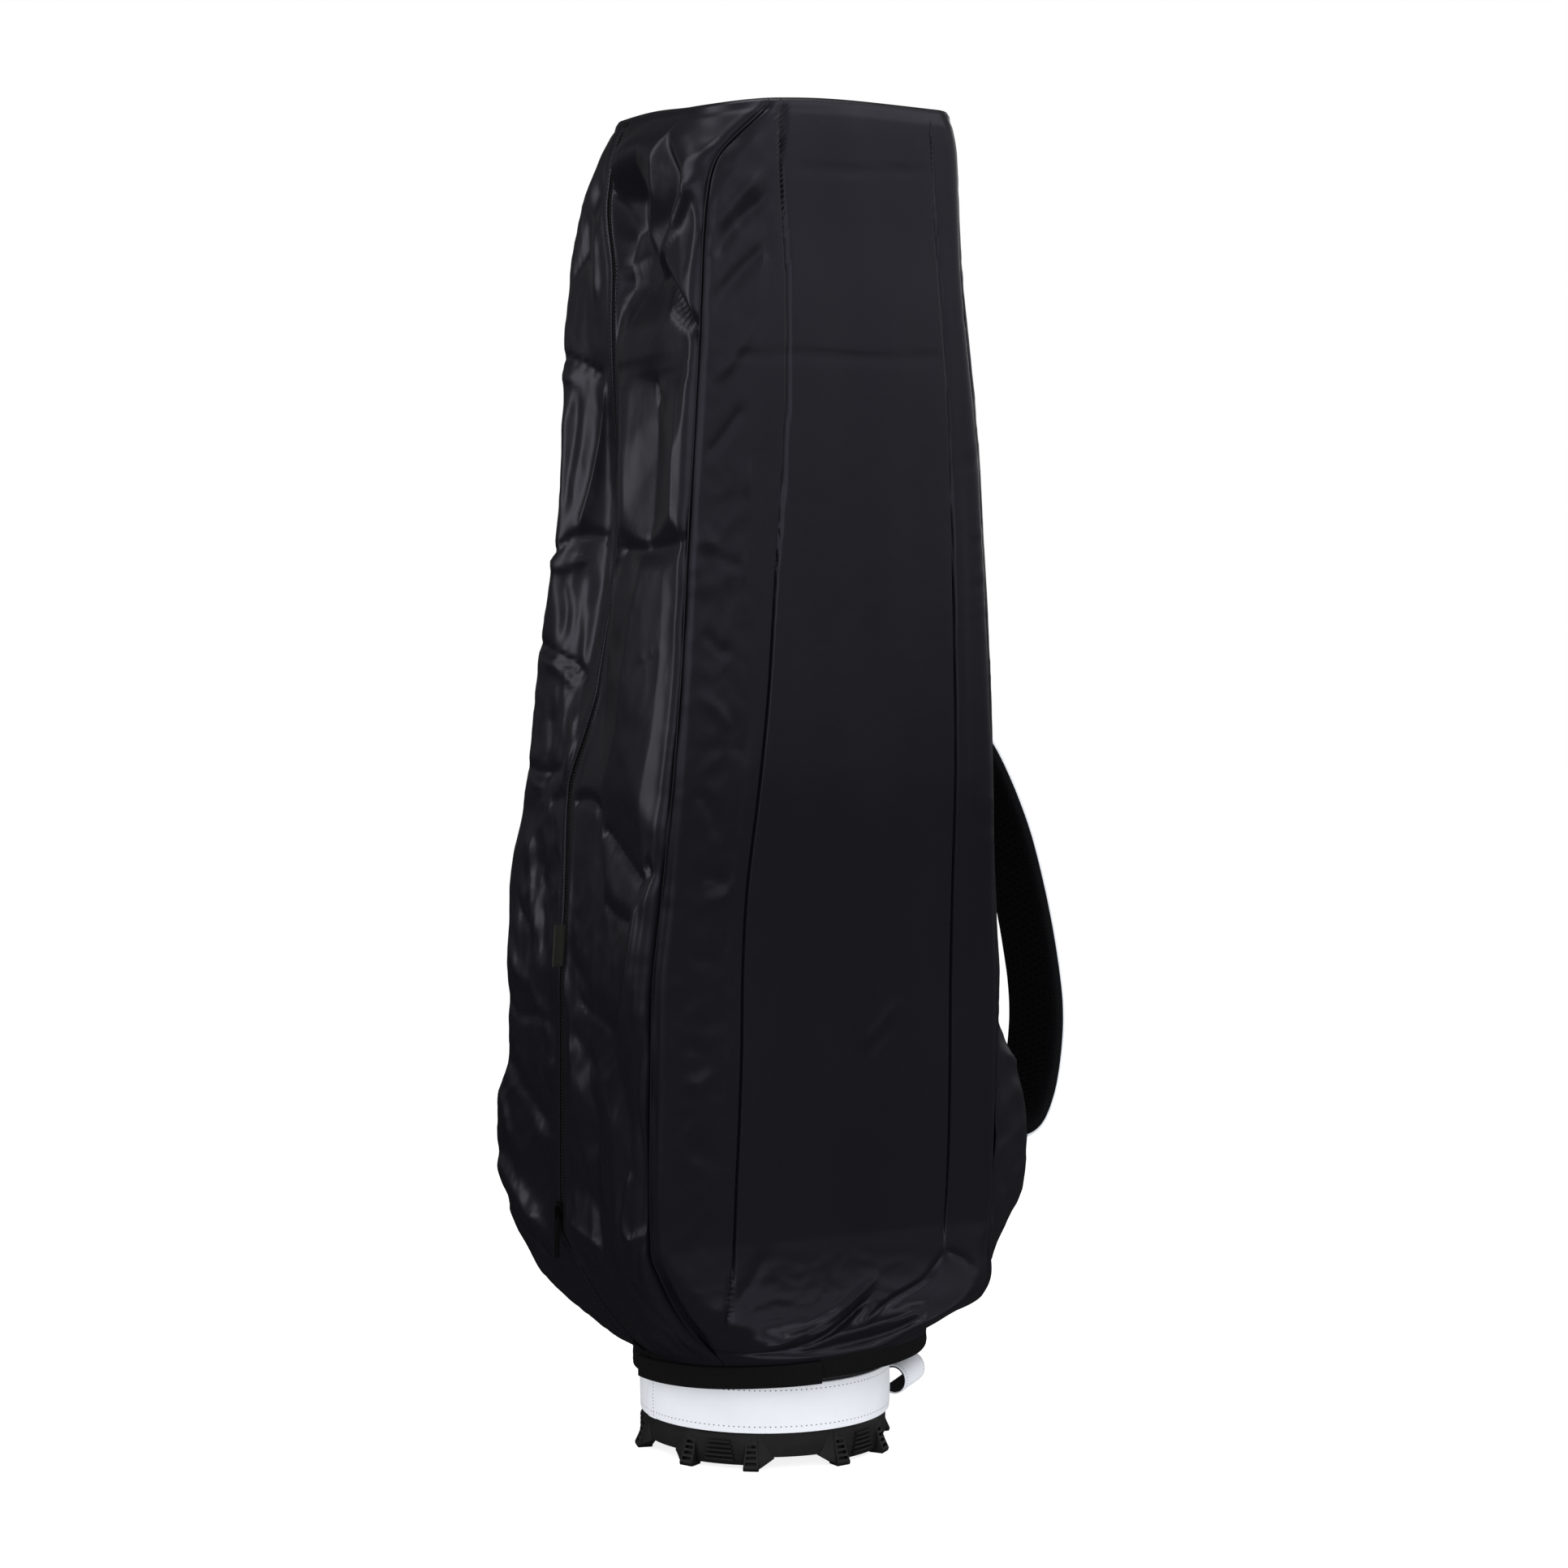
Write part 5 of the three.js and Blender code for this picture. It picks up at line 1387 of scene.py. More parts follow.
REAR_FOLDS = (
    Fold(((64, 1190), (84, 1150), (92, 1096)), -3.6, 13),
    Fold(((100, 1176), (70, 1120), (62, 1060)), 2.6, 9),
    Fold(((76, 1130), (96, 1108), (120, 1092)), -2.0, 5, SHARP),
    Fold(((142, 1012), (124, 1020), (84, 1008), (50, 994)), -3.0, 4.5, SHARP, 12),
    Fold(((140, 1003), (110, 1000), (80, 990)), 2.2, 6),
    Fold(((46, 1000), (54, 972), (70, 922), (92, 848)), 4.0, 7, SHARP, 22),
    Fold(((92, 990), (104, 930), (112, 860)), -2.6, 9),
    Fold(((116, 980), (128, 920), (130, 866)), 2.2, 8),
    Fold(((146, 842), (118, 838), (90, 850), (54, 846)), -3.8, 5, SHARP, 12),
    Fold(((136, 828), (104, 824), (72, 832)), 3.0, 6, SHARP, 14),
    Fold(((112, 822), (100, 780), (104, 744)), -2.4, 7),
    Fold(((78, 826), (72, 770), (66, 720)), 2.4, 8),
    Fold(((152, 752), (118, 742), (78, 728), (52, 712)), -3.6, 4.5, SHARP, 14),
    Fold(((140, 738), (104, 728), (66, 706)), 2.6, 7),
    Fold(((74, 700), (64, 650), (70, 612)), 3.0, 8),
    Fold(((112, 700), (106, 650), (112, 600)), -2.6, 10),
    Fold(((160, 636), (120, 628), (78, 632)), -3.2, 4.5, SHARP, 14),
    Fold(((148, 622), (116, 616), (92, 618)), 2.2, 6),
    Fold(((102, 596), (80, 606), (56, 598)), -3.2, 5, SHARP, 12),
    Fold(((138, 580), (128, 520), (110, 470)), 2.6, 8),
    Fold(((110, 560), (98, 500), (90, 440)), -2.6, 9),
    Fold(((160, 520), (140, 492), (116, 480)), -2.6, 6, SHARP),
    Fold(((166, 470), (144, 440), (112, 430)), 2.6, 7),
    Fold(((172, 418), (140, 400), (100, 402), (62, 392)), -3.0, 6, SHARP),
    Fold(((100, 420), (76, 380), (70, 330)), 2.4, 8),
    Fold(((182, 372), (150, 344), (112, 322), (70, 292)), -4.2, 10),
    Fold(((192, 330), (168, 300), (150, 262)), 3.8, 9),
    Fold(((196, 262), (170, 246), (120, 216), (62, 184)), 5.4, 11, fade=24),
    Fold(((190, 230), (150, 200), (104, 172), (70, 156)), -4.2, 8, SHARP, 20),
    Fold(((150, 176), (110, 150), (60, 126)), 3.0, 7),
    Fold(((120, 150), (80, 128), (40, 114)), -2.8, 5, SHARP),
)

RIGHT_FOLDS = (
    Fold(((-120, 1170), (-40, 1176), (110, 1168)), -0.9, 4, SHARP),
    Fold(((-130, 1000), (-20, 1006), (130, 998)), -1.4, 4, SHARP),
    Fold(((-40, 1150), (-30, 1040), (-36, 900), (-44, 780)), -3.0, 14, fade=60),
    Fold(((30, 1120), (36, 980), (24, 840)), 3.0, 16, fade=60),
    Fold(((90, 1140), (84, 980), (92, 800), (96, 620)), -2.8, 14, fade=60),
    Fold(((-90, 1100), (-96, 900), (-92, 700), (-84, 520)), 2.0, 14, fade=60),
    Fold(((120, 900), (70, 872), (48, 816)), 2.4, 8),
    Fold(((130, 760), (96, 720), (60, 690)), -2.6, 7, SHARP),
    Fold(((-60, 640), (-56, 560), (-70, 470)), -2.6, 12, fade=50),
    Fold(((60, 640), (70, 540), (64, 430)), 2.8, 13, fade=50),
    Fold(((110, 560), (104, 470), (120, 380)), -2.8, 11),
    # the bulge's creases
    Fold(((-96, 440), (-84, 390), (-66, 344), (-50, 330)), -3.4, 6, SHARP),
    Fold(((-104, 372), (-78, 352), (-44, 340)), 3.4, 6, SHARP),
    Fold(((-62, 352), (-56, 300), (-66, 240), (-72, 200)), 4.0, 7, SHARP),
    Fold(((-86, 330), (-84, 280), (-88, 222)), -4.0, 8),
    Fold(((-100, 260), (-84, 220), (-64, 190)), -2.6, 6, SHARP),
    Fold(((-40, 300), (-34, 240), (-38, 190)), -2.6, 9),
    Fold(((150, 330), (120, 290), (80, 262)), 3.0, 9),
    Fold(((160, 250), (120, 220), (84, 186)), -3.0, 9, SHARP),
    Fold(((20, 230), (30, 180), (20, 130)), 2.6, 9),
    Fold(((70, 200), (66, 160), (50, 120)), -2.6, 8, SHARP),
    Fold(((-60, 180), (-50, 150), (-40, 118)), 2.4, 8),
)

BACK_FOLDS = (
    Fold(((-110, 1168), (0, 1172), (110, 1166)), -0.9, 4, SHARP),
    Fold(((-120, 1006), (0, 1000), (124, 1004)), -1.2, 4, SHARP),
    Fold(((-60, 1200), (-56, 1000), (-64, 760), (-72, 520), (-70, 240)), -1.6, 5.5, SHARP),
    Fold(((64, 1200), (66, 980), (76, 740), (80, 500), (82, 230)), -1.6, 5.5, SHARP),
    Fold(((0, 1150), (-6, 940), (6, 700), (-4, 460)), 2.2, 20, fade=90),
    Fold(((100, 1050), (104, 860), (112, 640)), 2.0, 12, fade=60),
    Fold(((-104, 960), (-98, 800), (-112, 640)), -2.0, 12, fade=60),
    Fold(((140, 850), (110, 826), (70, 820)), -2.4, 6, SHARP),
    Fold(((-150, 838), (-120, 828), (-90, 836)), -2.6, 5, SHARP),
    Fold(((-160, 640), (-120, 622), (-84, 640)), -2.4, 6, SHARP),
    Fold(((30, 620), (14, 560), (36, 500)), 2.2, 10),
    Fold(((150, 520), (110, 500), (96, 440)), 2.4, 8),
    Fold(((-170, 430), (-130, 400), (-100, 350)), 3.0, 8),
    Fold(((-20, 420), (-34, 330), (-20, 250)), 2.0, 11),
    Fold(((176, 350), (130, 320), (90, 250)), -3.0, 9),
    Fold(((-180, 280), (-130, 240), (-96, 200)), 3.6, 10),
    Fold(((40, 230), (30, 180), (44, 130)), 3.0, 9),
    Fold(((-80, 190), (-66, 150), (-60, 118)), -3.0, 7, SHARP),
    Fold(((110, 190), (92, 150), (84, 118)), -3.0, 7, SHARP),
)


@dataclass(frozen=True)
class Drape:
    """How slackly one panel hangs: its seams, swell, crumples and folds."""

    seed: int
    folds: tuple[Fold, ...]
    crumples: tuple[Crumple, ...] = ()
    facets: Facets | None = None
    swell: float = 1.2
    swell_size: tuple[float, float] = (70.0, 260.0)
    pinch: float = 2.6
    welt: float = 0.35
    pucker: float = 1.0
    pucker_step: float = 13.0
    crevice: tuple[float, float] = (0.0, 0.0)

    # the seam's own groove, the roll of cloth beside it, and how far puckers run from it
    groove_reach: float = 3.6
    welt_at: float = 10.0
    welt_reach: float = 7.0
    pucker_reach: float = 15.0
    # below these heights the seams sink deeper, and the slack ones gape
    full_height: float = 640.0
    slack_height: float = 700.0
    foot_height: float = 106.0
    crevice_reach: float = 7.0
    crevice_seed: int = 5
    # keeps the noise of a panel's two seams apart
    other_side: float = 40.0

    def lift(self, across: Points, height: Points, from_seams: Points) -> Points:
        """How far the cloth stands out at points.

        Args:
            across: The points' places across the panel.
            height: Their heights.
            from_seams: Their distances from the nearer seam, negative for the panel's first half.

        Returns:
            Millimetres outward.
        """
        noise = Noise(self.seed)
        out = self.swell * noise.at(across / self.swell_size[0], height / self.swell_size[1])
        if self.facets is not None:
            out = out + self.facets.lift(across, height)
        for crumple in self.crumples:
            out = out + crumple.lift(across, height, noise)
        for fold in self.folds:
            out = out + fold.lift(across, height)
        return out + self.at_seams(height, from_seams, noise)

    def at_seams(self, height: Points, from_seams: Points, noise: Noise) -> Points:
        """How the seams draw the cloth in and pucker it.

        Args:
            height: The points' heights.
            from_seams: Their distances from the nearer seam, as in lift.
            noise: The panel's noise.

        Returns:
            Millimetres outward.
        """
        far = np.abs(from_seams)
        side = np.where(from_seams < 0, 0.0, self.other_side)
        uneven = 0.8 + 0.7 * noise.at(height / 52 + side, 7.7)
        deep = self.pinch * uneven * (1 + 0.8 * eased((self.full_height - height) / 200))
        groove = deep * np.exp(-((far / self.groove_reach) ** 1.5))
        welt = self.welt * deep * np.exp(-(((far - self.welt_at) / self.welt_reach) ** 2))
        gaping = eased((self.slack_height - height) / 240) * eased((height - self.foot_height) / 26)
        gaping = gaping * (1 + 0.3 * Noise(self.crevice_seed).at(height / 60, 3.1))
        depth = np.where(from_seams < 0, *self.crevice)
        crevice = depth * gaping * np.exp(-((far / self.crevice_reach) ** 1.4))
        ripple = noise.at(height / self.pucker_step + 0.012 * far + side, far / 46 + side)
        slack = np.clip(2.2 * noise.at(height / 70 + side, side + 3.3), 0.12, 1.3)
        pucker = self.pucker * slack * ripple * np.exp(-((far / self.pucker_reach) ** 1.3)) * eased(far / 3)
        return welt - groove - crevice + pucker


@dataclass(frozen=True)
class CoverShape:
    """The cover's sections from hem to top and the places of its seams."""

    hem: float = 104.0
    top: float = 1230.0
    shoulder: float = 210.0
    hem_centre: tuple[float, float] = (12.0, -7.0)
    hem_radius: float = 138.0
    hem_tilt: float = 9.0
    hem_lateral: float = 30.0
    zip_offset: float = 50.0
    zip_half: float = 3.0
    roll: float = 6.0
    tuck: float = 7.0
    dent_depth: float = 28.0
    dent: tuple[float, float, float] = (850.0, 130.0, 72.0)
    bulge_depth: float = 64.0
    bulge: tuple[float, float] = (275.0, 205.0)
    slump: float = 11.0
    slump_at: tuple[float, float, float] = (-118.0, -97.0, 78.0)
    nip_depth: float = 7.0
    nip_at: tuple[float, float] = (1070.0, 105.0)

    # height, reach to the left, right, front and back, corner radii front left, front right, back
    sections = SmoothRows([
        (104, 138, 138, 138, 138, 132, 132, 132), (112, 146, 156, 132, 150, 126, 108, 124),
        (128, 157, 177, 124, 166, 92, 64, 102), (150, 170, 183, 119, 180, 56, 40, 68),
        (180, 180, 184, 117, 185, 32, 28, 44), (210, 188, 188, 117, 189, 20, 20, 30),
        (250, 188, 188, 118, 203, 16, 16, 26), (300, 188, 189, 120, 208, 14, 16, 24),
        (360, 188, 189, 122, 184, 14, 16, 24), (430, 188, 188, 124, 182, 14, 16, 24),
        (520, 181, 181, 129, 189, 14, 16, 24), (640, 172, 173, 137, 165, 14, 16, 24),
        (740, 165, 167, 139, 158, 14, 16, 24), (840, 160, 161, 140, 136, 14, 16, 24),
        (940, 153, 154, 140, 133, 14, 16, 24), (1040, 147, 148, 139, 139, 14, 16, 24),
        (1120, 141, 143, 135, 134, 16, 16, 24), (1165, 135, 140, 134, 125, 30, 18, 26),
        (1200, 130, 138, 133, 110, 48, 20, 30), (1230, 120, 134, 131, 100, 58, 26, 36),
    ])
    front_left_seam = SmoothRows([
        (104, 217.5), (112, 219), (128, 220.5), (150, 225), (180, 227), (210, 231), (260, 227), (320, 225),
        (1150, 225), (1230, 262),
    ])
    front_right_seam = SmoothRows([(104, 320), (210, 315), (1230, 315)])
    # above the slider's run the slack zip wanders
    zip_wander = SmoothRows([
        (104, 0), (470, 0), (540, 5), (610, 11), (669, -12), (706, -24), (773, -20), (831, -12),
        (940, -18), (1010, -23), (1085, -22), (1164, 2), (1230, 0),
    ])

    def fade(self, height: Points) -> Points:
        """1 at the hem, 0 from the shoulder up."""
        return np.clip((self.shoulder - height) / (self.shoulder - self.hem), 0, 1)

    def hung(self, at: Points, height: Points) -> Points:
        """Shifts and tilts points as the hem pulls them, and lets the folded top corner slump.

        Args:
            at: The points.
            height: Their heights before that.

        Returns:
            The moved points.
        """
        fade = self.fade(height)
        x, y, reach = self.slump_at
        slump = self.slump * np.exp(-((at[..., 0] - x) ** 2 + (at[..., 1] - y) ** 2) / reach**2) * eased(
            (height - 1150) / 80)
        turn = math.radians(self.hem_lateral)
        lateral = (at[..., 0] + self.hem_centre[0] * fade) * math.cos(turn) - (
            at[..., 1] + self.hem_centre[1] * fade) * math.sin(turn)
        shift = np.stack([
            self.hem_centre[0] * fade, self.hem_centre[1] * fade,
            self.hem_tilt * lateral / self.hem_radius * fade - slump,
        ], -1)
        return at + shift

    def corner(self, which: str, height: Points) -> tuple[Points, Points, Points]:
        """A corner at heights.

        Args:
            which: The corner, such as "front left".
            height: The heights.

        Returns:
            Its middle's x and y, and its radius.
        """
        left, right, front, back, front_left, front_right, rear = np.moveaxis(self.sections.at(height), -1, 0)
        radius = {"front left": front_left, "front right": front_right}.get(which, rear)
        x = -left + radius if which.endswith("left") else right - radius
        y = -front + radius if which.startswith("front") else back - radius
        if which == "front right":
            x = x - self.nip(height)
        return x, y, radius

    def nip(self, height: Points) -> Points:
        """How far the right seam is drawn in under the top."""
        return self.nip_depth * np.exp(-(((height - self.nip_at[0]) / self.nip_at[1]) ** 2))

    def zip_y(self, height: Points) -> Points:
        """How far behind the axis the zip lies."""
        return self.zip_offset * (1 - self.fade(height)) + self.zip_wander.one(height)

    def sink(self, y: Points, height: Points) -> Points:
        """How far the slack cloth sinks beside the zip.

        Args:
            y: Places towards the back.
            height: Heights.

        Returns:
            Millimetres inward.
        """
        middle, spread, reach = self.dent
        across = np.clip(np.abs(y - self.zip_offset) / reach, 0, 1)
        hollow = np.exp(-(((height - middle) / spread) ** 2)) * np.cos(np.pi / 2 * across) ** 2
        return self.dent_depth * hollow

    def zip_point(self, across: Points, height: Points, out: Points) -> Points:
        """Points about the zip line.

        Args:
            across: Distances towards the back.
            height: Heights.
            out: Distances out of the cloth.

        Returns:
            The points.
        """
        y = self.zip_y(height)
        x = -self.sections.one(height) - out + self.sink(y, height)
        x, y, z = np.broadcast_arrays(x, y + across, height)
        return self.hung(np.stack([x, y, z], -1), height)


@dataclass(frozen=True)
class Panel:
    """One sewn panel of the cover."""

    name: str
    node: str
    start: str
    end: str
    square: float
    drape: Drape
    columns: int
    flat: tuple[float, float]
    area: float
    rows: int = 280
    wall: float = 0.8
    gather: float = 1.8
    gather_seed: int = 77
    # the gathers' two pitches in degrees, and the heights between which they fade out
    gather_pitches: tuple[float, float] = (5.5, 2.6)
    gather_heights: tuple[float, float] = (92.0, 152.0)
    focus: tuple[float, ...] = ()
    foot_density: float = 1.6
    tuck_slope: float = 0.37
    # the cloth is flat beside the zip, with a small welt along its coil
    zip_flat: float = 16.0
    zip_welt: tuple[float, float] = (3.2, 2.6)
    rim_groove: tuple[float, float] = (1.6, 4.0)

    def seam(self, shape: CoverShape, corner: str, height: Points) -> Points:
        """The place of the seam at one of the panel's corners.

        Args:
            shape: The cover's shape.
            corner: The corner.
            height: Heights.

        Returns:
            Degrees from +X.
        """
        if corner == "front left":
            return shape.front_left_seam.one(height)
        if corner == "front right":
            return shape.front_right_seam.one(height)
        turn = {"back right": 45.0, "back left": 135.0, "zip": self.square}[corner]
        return np.full_like(height, turn + 360 if self.square - turn > 180 else turn)

    def end_at(self, shape: CoverShape, corner: str, height: Points, inset: Points) -> tuple[Points, ...]:
        """The bend at one of the panel's ends.

        Args:
            shape: The cover's shape.
            corner: The corner at that end.
            height: Heights.
            inset: How far inside the cloth's face.

        Returns:
            The bend's x, y and radius, and the seam's angle in radians.
        """
        angle = np.radians(self.seam(shape, corner, height))
        if corner != "zip":
            x, y, radius = shape.corner(corner, height)
            return x, y, np.maximum(radius - inset, 0.5), angle
        closing = 0.05 + 0.95 * eased((shape.top - 3 - height) / 9)
        edge = closing * (shape.zip_half if self.start == "back left" else -shape.zip_half)
        return inset - shape.sections.one(height), shape.zip_y(height) + edge, np.zeros_like(height), angle

    def run(self, shape: CoverShape, u: Points, height: Points, inset: Points) -> tuple[Points, Points]:
        """The panel's path round the bag.

        Args:
            shape: The cover's shape.
            u: Shares from one seam to the other.
            height: Heights, of the same shape.
            inset: How far inside the cloth's face.

        Returns:
            Points and their distances from the nearer seam, negative in the first half.
        """
        square = math.radians(self.square)
        x1, y1, r1, a1 = self.end_at(shape, self.start, height, inset)
        x2, y2, r2, a2 = self.end_at(shape, self.end, height, inset)
        arc1, arc2 = r1 * np.abs(square - a1), r2 * np.abs(a2 - square)
        from_x, from_y = x1 + r1 * math.cos(square), y1 + r1 * math.sin(square)
        to_x, to_y = x2 + r2 * math.cos(square), y2 + r2 * math.sin(square)
        flat = np.hypot(to_x - from_x, to_y - from_y)
        whole = arc1 + flat + arc2
        gone = u * whole
        turn1 = a1 + (square - a1) * np.clip(gone / np.maximum(arc1, 1e-6), 0, 1)
        turn2 = square + (a2 - square) * np.clip((gone - arc1 - flat) / np.maximum(arc2, 1e-6), 0, 1)
        share = np.clip((gone - arc1) / np.maximum(flat, 1e-6), 0, 1)
        in_first, in_last = gone < arc1, gone > arc1 + flat
        x = np.where(in_first, x1 + r1 * np.cos(turn1),
                     np.where(in_last, x2 + r2 * np.cos(turn2), from_x + share * (to_x - from_x)))
        y = np.where(in_first, y1 + r1 * np.sin(turn1),
                     np.where(in_last, y2 + r2 * np.sin(turn2), from_y + share * (to_y - from_y)))
        x = x + self.relief(shape, share, y, height)
        return np.stack([x, y, height], -1), np.where(u < 0.5, -gone, whole - gone)

    def relief(self, shape: CoverShape, share: Points, y: Points, height: Points) -> Points:
        """The large forms along X: the sunk side beside the zip and the strap's bulge.

        Args:
            shape: The cover's shape.
            share: Shares along the flat of the panel.
            y: Places towards the back.
            height: Heights.

        Returns:
            Millimetres along X.
        """
        if self.square == 180:
            return shape.sink(y, height)
        if self.square == 360:
            over = np.clip(share / 0.27, 0, 1)
            up = np.clip(np.abs(height - shape.bulge[0]) / shape.bulge[1], 0, 1)
            nip = shape.nip(height) * (1 - share) * eased(share / 0.09)
            return nip + shape.bulge_depth * np.sin(np.pi * over) * np.cos(np.pi / 2 * up) ** 2
        return np.zeros_like(height)

    def build(self, shape: CoverShape, ports: Sequence["Port"]) -> Sheet:
        """Builds and dresses the panel.

        Args:
            shape: The cover's shape.
            ports: The strap's openings, which only the right panel has.

        Returns:
            The laid sheet.
        """
        sheet = Sheet(self.name, self.columns, self.rows, self.focus, self.foot_density)
        travel = shape.hem - shape.tuck + sheet.v * (shape.top - shape.hem + shape.tuck + 1.2 * shape.roll)
        over = np.clip(travel - shape.top, 0, None) / shape.roll
        height = np.clip(travel, None, shape.top)
        inset = shape.roll * (1 - np.cos(over)) + self.tuck_slope * np.clip(shape.hem - travel, 0, None)
        at, from_seams = self.run(shape, sheet.u, height, inset)
        at[..., 2] += shape.roll * np.sin(over)
        at = shape.hung(at, height)
        _, _, normal = slopes(at)
        across = at[..., 1] if self.square in (180, 360) else at[..., 0]
        out = self.drape.lift(across, at[..., 2], from_seams) + self.gathers(at)
        if "zip" in (self.start, self.end):
            out = self.beside_zip(out, from_seams)
        for port in ports:
            out = out * port.clear_of(at)
        out = out * eased((travel - shape.hem) / 16) * (1 - eased((travel - shape.top + 5) / 7))
        depth, width = self.rim_groove
        out = out - depth * np.exp(-(((travel - shape.top) / width) ** 2))
        made = sheet.lay(at + normal * out[..., None], self.flat)
        if ports:
            sheet.drop_cells(made, lambda middles: np.any([port.holds(middles) for port in ports], axis=0))
        thicken(made, self.wall)
        dress(made, Finish.COVER_NYLON, replaces=[self.node])
        return sheet

    def beside_zip(self, out: Points, from_seams: Points) -> Points:
        """Lets the folds die out beside the zip.

        Args:
            out: How far the cloth stands out.
            from_seams: The points' distances from the nearer seam, as in run.

        Returns:
            How far it stands out with the zip sewn in.
        """
        free = from_seams if self.end == "zip" else -from_seams
        near_zip = np.where(free >= 0, free, FAR)
        held = out * eased((near_zip - 1) / (self.zip_flat - 1)) ** 0.7
        out = np.where(near_zip < self.zip_flat, held, out)
        middle, width = self.zip_welt
        return out + np.exp(-(((near_zip - middle) / width) ** 2))

    def gathers(self, at: Points) -> Points:
        """The small upright folds that gather the cloth into the hem.

        Args:
            at: The panel's points.

        Returns:
            Millimetres outward.
        """
        turn = np.degrees(np.arctan2(at[..., 0], -at[..., 1]))
        noise = Noise(self.gather_seed)
        height = at[..., 2]
        coarse, fine = self.gather_pitches
        low, high = self.gather_heights
        ripple = noise.at(turn / coarse + 40, height / 240) + 0.5 * noise.at(turn / fine, height / 160 + 9)
        return self.gather * eased((height - low) / 16) * eased((high - height) / 46) * ripple


@dataclass(frozen=True)
class Port:
    """An opening in the right panel for one end of the strap, and its bound edge."""

    name: str
    node: str
    height: float
    width: float
    tall: float = 40.0
    middle: float = 20.0
    binding: float = 7.0

    def far(self, at: Points, spare: float) -> Points:
        """How far points lie outside the opening, on the strap's side.

        Args:
            at: The points.
            spare: How much the opening grows.

        Returns:
            Distances, negative inside.
        """
        beside = np.abs(at[..., 1] - self.middle) - self.width / 2 - spare
        above = np.abs(at[..., 2] - self.height) - self.tall / 2 - spare
        return np.where(at[..., 0] > 0, np.maximum(beside, above), FAR)

    def clear_of(self, at: Points) -> Points:
        """0 on the binding and 1 well away from it."""
        return eased((self.far(at, self.binding) + 2) / 26)

    def holds(self, at: Points) -> Points:
        """Whether points lie in the opening."""
        return self.far(at, 1.5) < 0

    def build(self) -> None:
        """Builds and dresses the binding."""
        bound = softened(self.node, self.name, 0.6)
        dress(bound, Finish.BLACK_WEBBING, replaces=[self.node])


LEFT_CRUMPLES = (
    Crumple((-60, 900), (110, 260), 0.3, (60, 80)), Crumple((-60, 660), (110, 200), 0.35, (52, 66)),
    Crumple((-10, 360), (110, 230), 1.2, (46, 54)), Crumple((-40, 1120), (110, 90), 0.4, (44, 48)),
    Crumple((0, 160), (140, 70), 1.1, (44, 40)),
)
REAR_CRUMPLES = (
    Crumple((110, 900), (90, 300), 0.8, (46, 64)), Crumple((110, 600), (90, 240), 1.3, (46, 56)),
    Crumple((120, 330), (110, 240), 2.0, (50, 56)), Crumple((90, 1130), (80, 110), 1.0, (44, 48)),
    Crumple((90, 150), (120, 70), 1.6, (42, 40)),
)
FRONT_CRUMPLES = (
    Crumple((-136, 400), (34, 230), 0.9, (34, 40)), Crumple((-104, 1110), (44, 120), 0.8, (30, 44)),
    Crumple((-128, 700), (34, 260), 0.7, (26, 36)), Crumple((-20, 150), (130, 50), 0.8, (40, 26)),
)
RIGHT_CRUMPLES = (
    Crumple((0, 900), (170, 300), 0.7, (60, 90)), Crumple((-70, 300), (60, 150), 1.5, (40, 48)),
    Crumple((80, 360), (120, 260), 1.4, (50, 62)), Crumple((0, 150), (170, 60), 1.2, (46, 40)),
)
BACK_CRUMPLES = (
    Crumple((0, 900), (170, 320), 0.7, (64, 90)), Crumple((0, 420), (200, 260), 0.9, (54, 70)),
    Crumple((0, 150), (190, 60), 1.2, (46, 40)),
)

PANELS = (
    Panel("cover_front", "cover_front_panel", "front left", "front right", 270,
          Drape(11, FRONT_FOLDS, FRONT_CRUMPLES, swell=1.1, swell_size=(54, 230), pinch=2.0, welt=0.12,
                pucker=0.9, crevice=(8.0, 0.0)),
          165, (0.40, 1.16), 0.42, gather=0.5, focus=(0.225, 0.262, 0.85)),
    Panel("cover_right", "cover_right_gusset", "front right", "back right", 360,
          Drape(12, RIGHT_FOLDS, RIGHT_CRUMPLES, swell=2.4), 112, (0.37, 1.17), 0.40),
    Panel("cover_back", "cover_back_panel", "back right", "back left", 90,
          Drape(13, BACK_FOLDS, BACK_CRUMPLES, swell=2.0), 112, (0.40, 1.17), 0.42),
    Panel("cover_left_rear", "cover_left_rear_gusset", "back left", "zip", 180,
          Drape(14, REAR_FOLDS, REAR_CRUMPLES, swell=2.0, swell_size=(56, 150)), 64, (0.17, 1.18), 0.155),
    Panel("cover_left_front", "cover_left_front_gusset", "zip", "front left", 180,
          Drape(15, LEFT_FOLDS, LEFT_CRUMPLES, LEFT_FACETS, swell=1.0, swell_size=(60, 190), pinch=3.0,
                welt=0.4, crevice=(0.0, 8.0)),
          148, (0.22, 1.18), 0.225, rows=300),
)


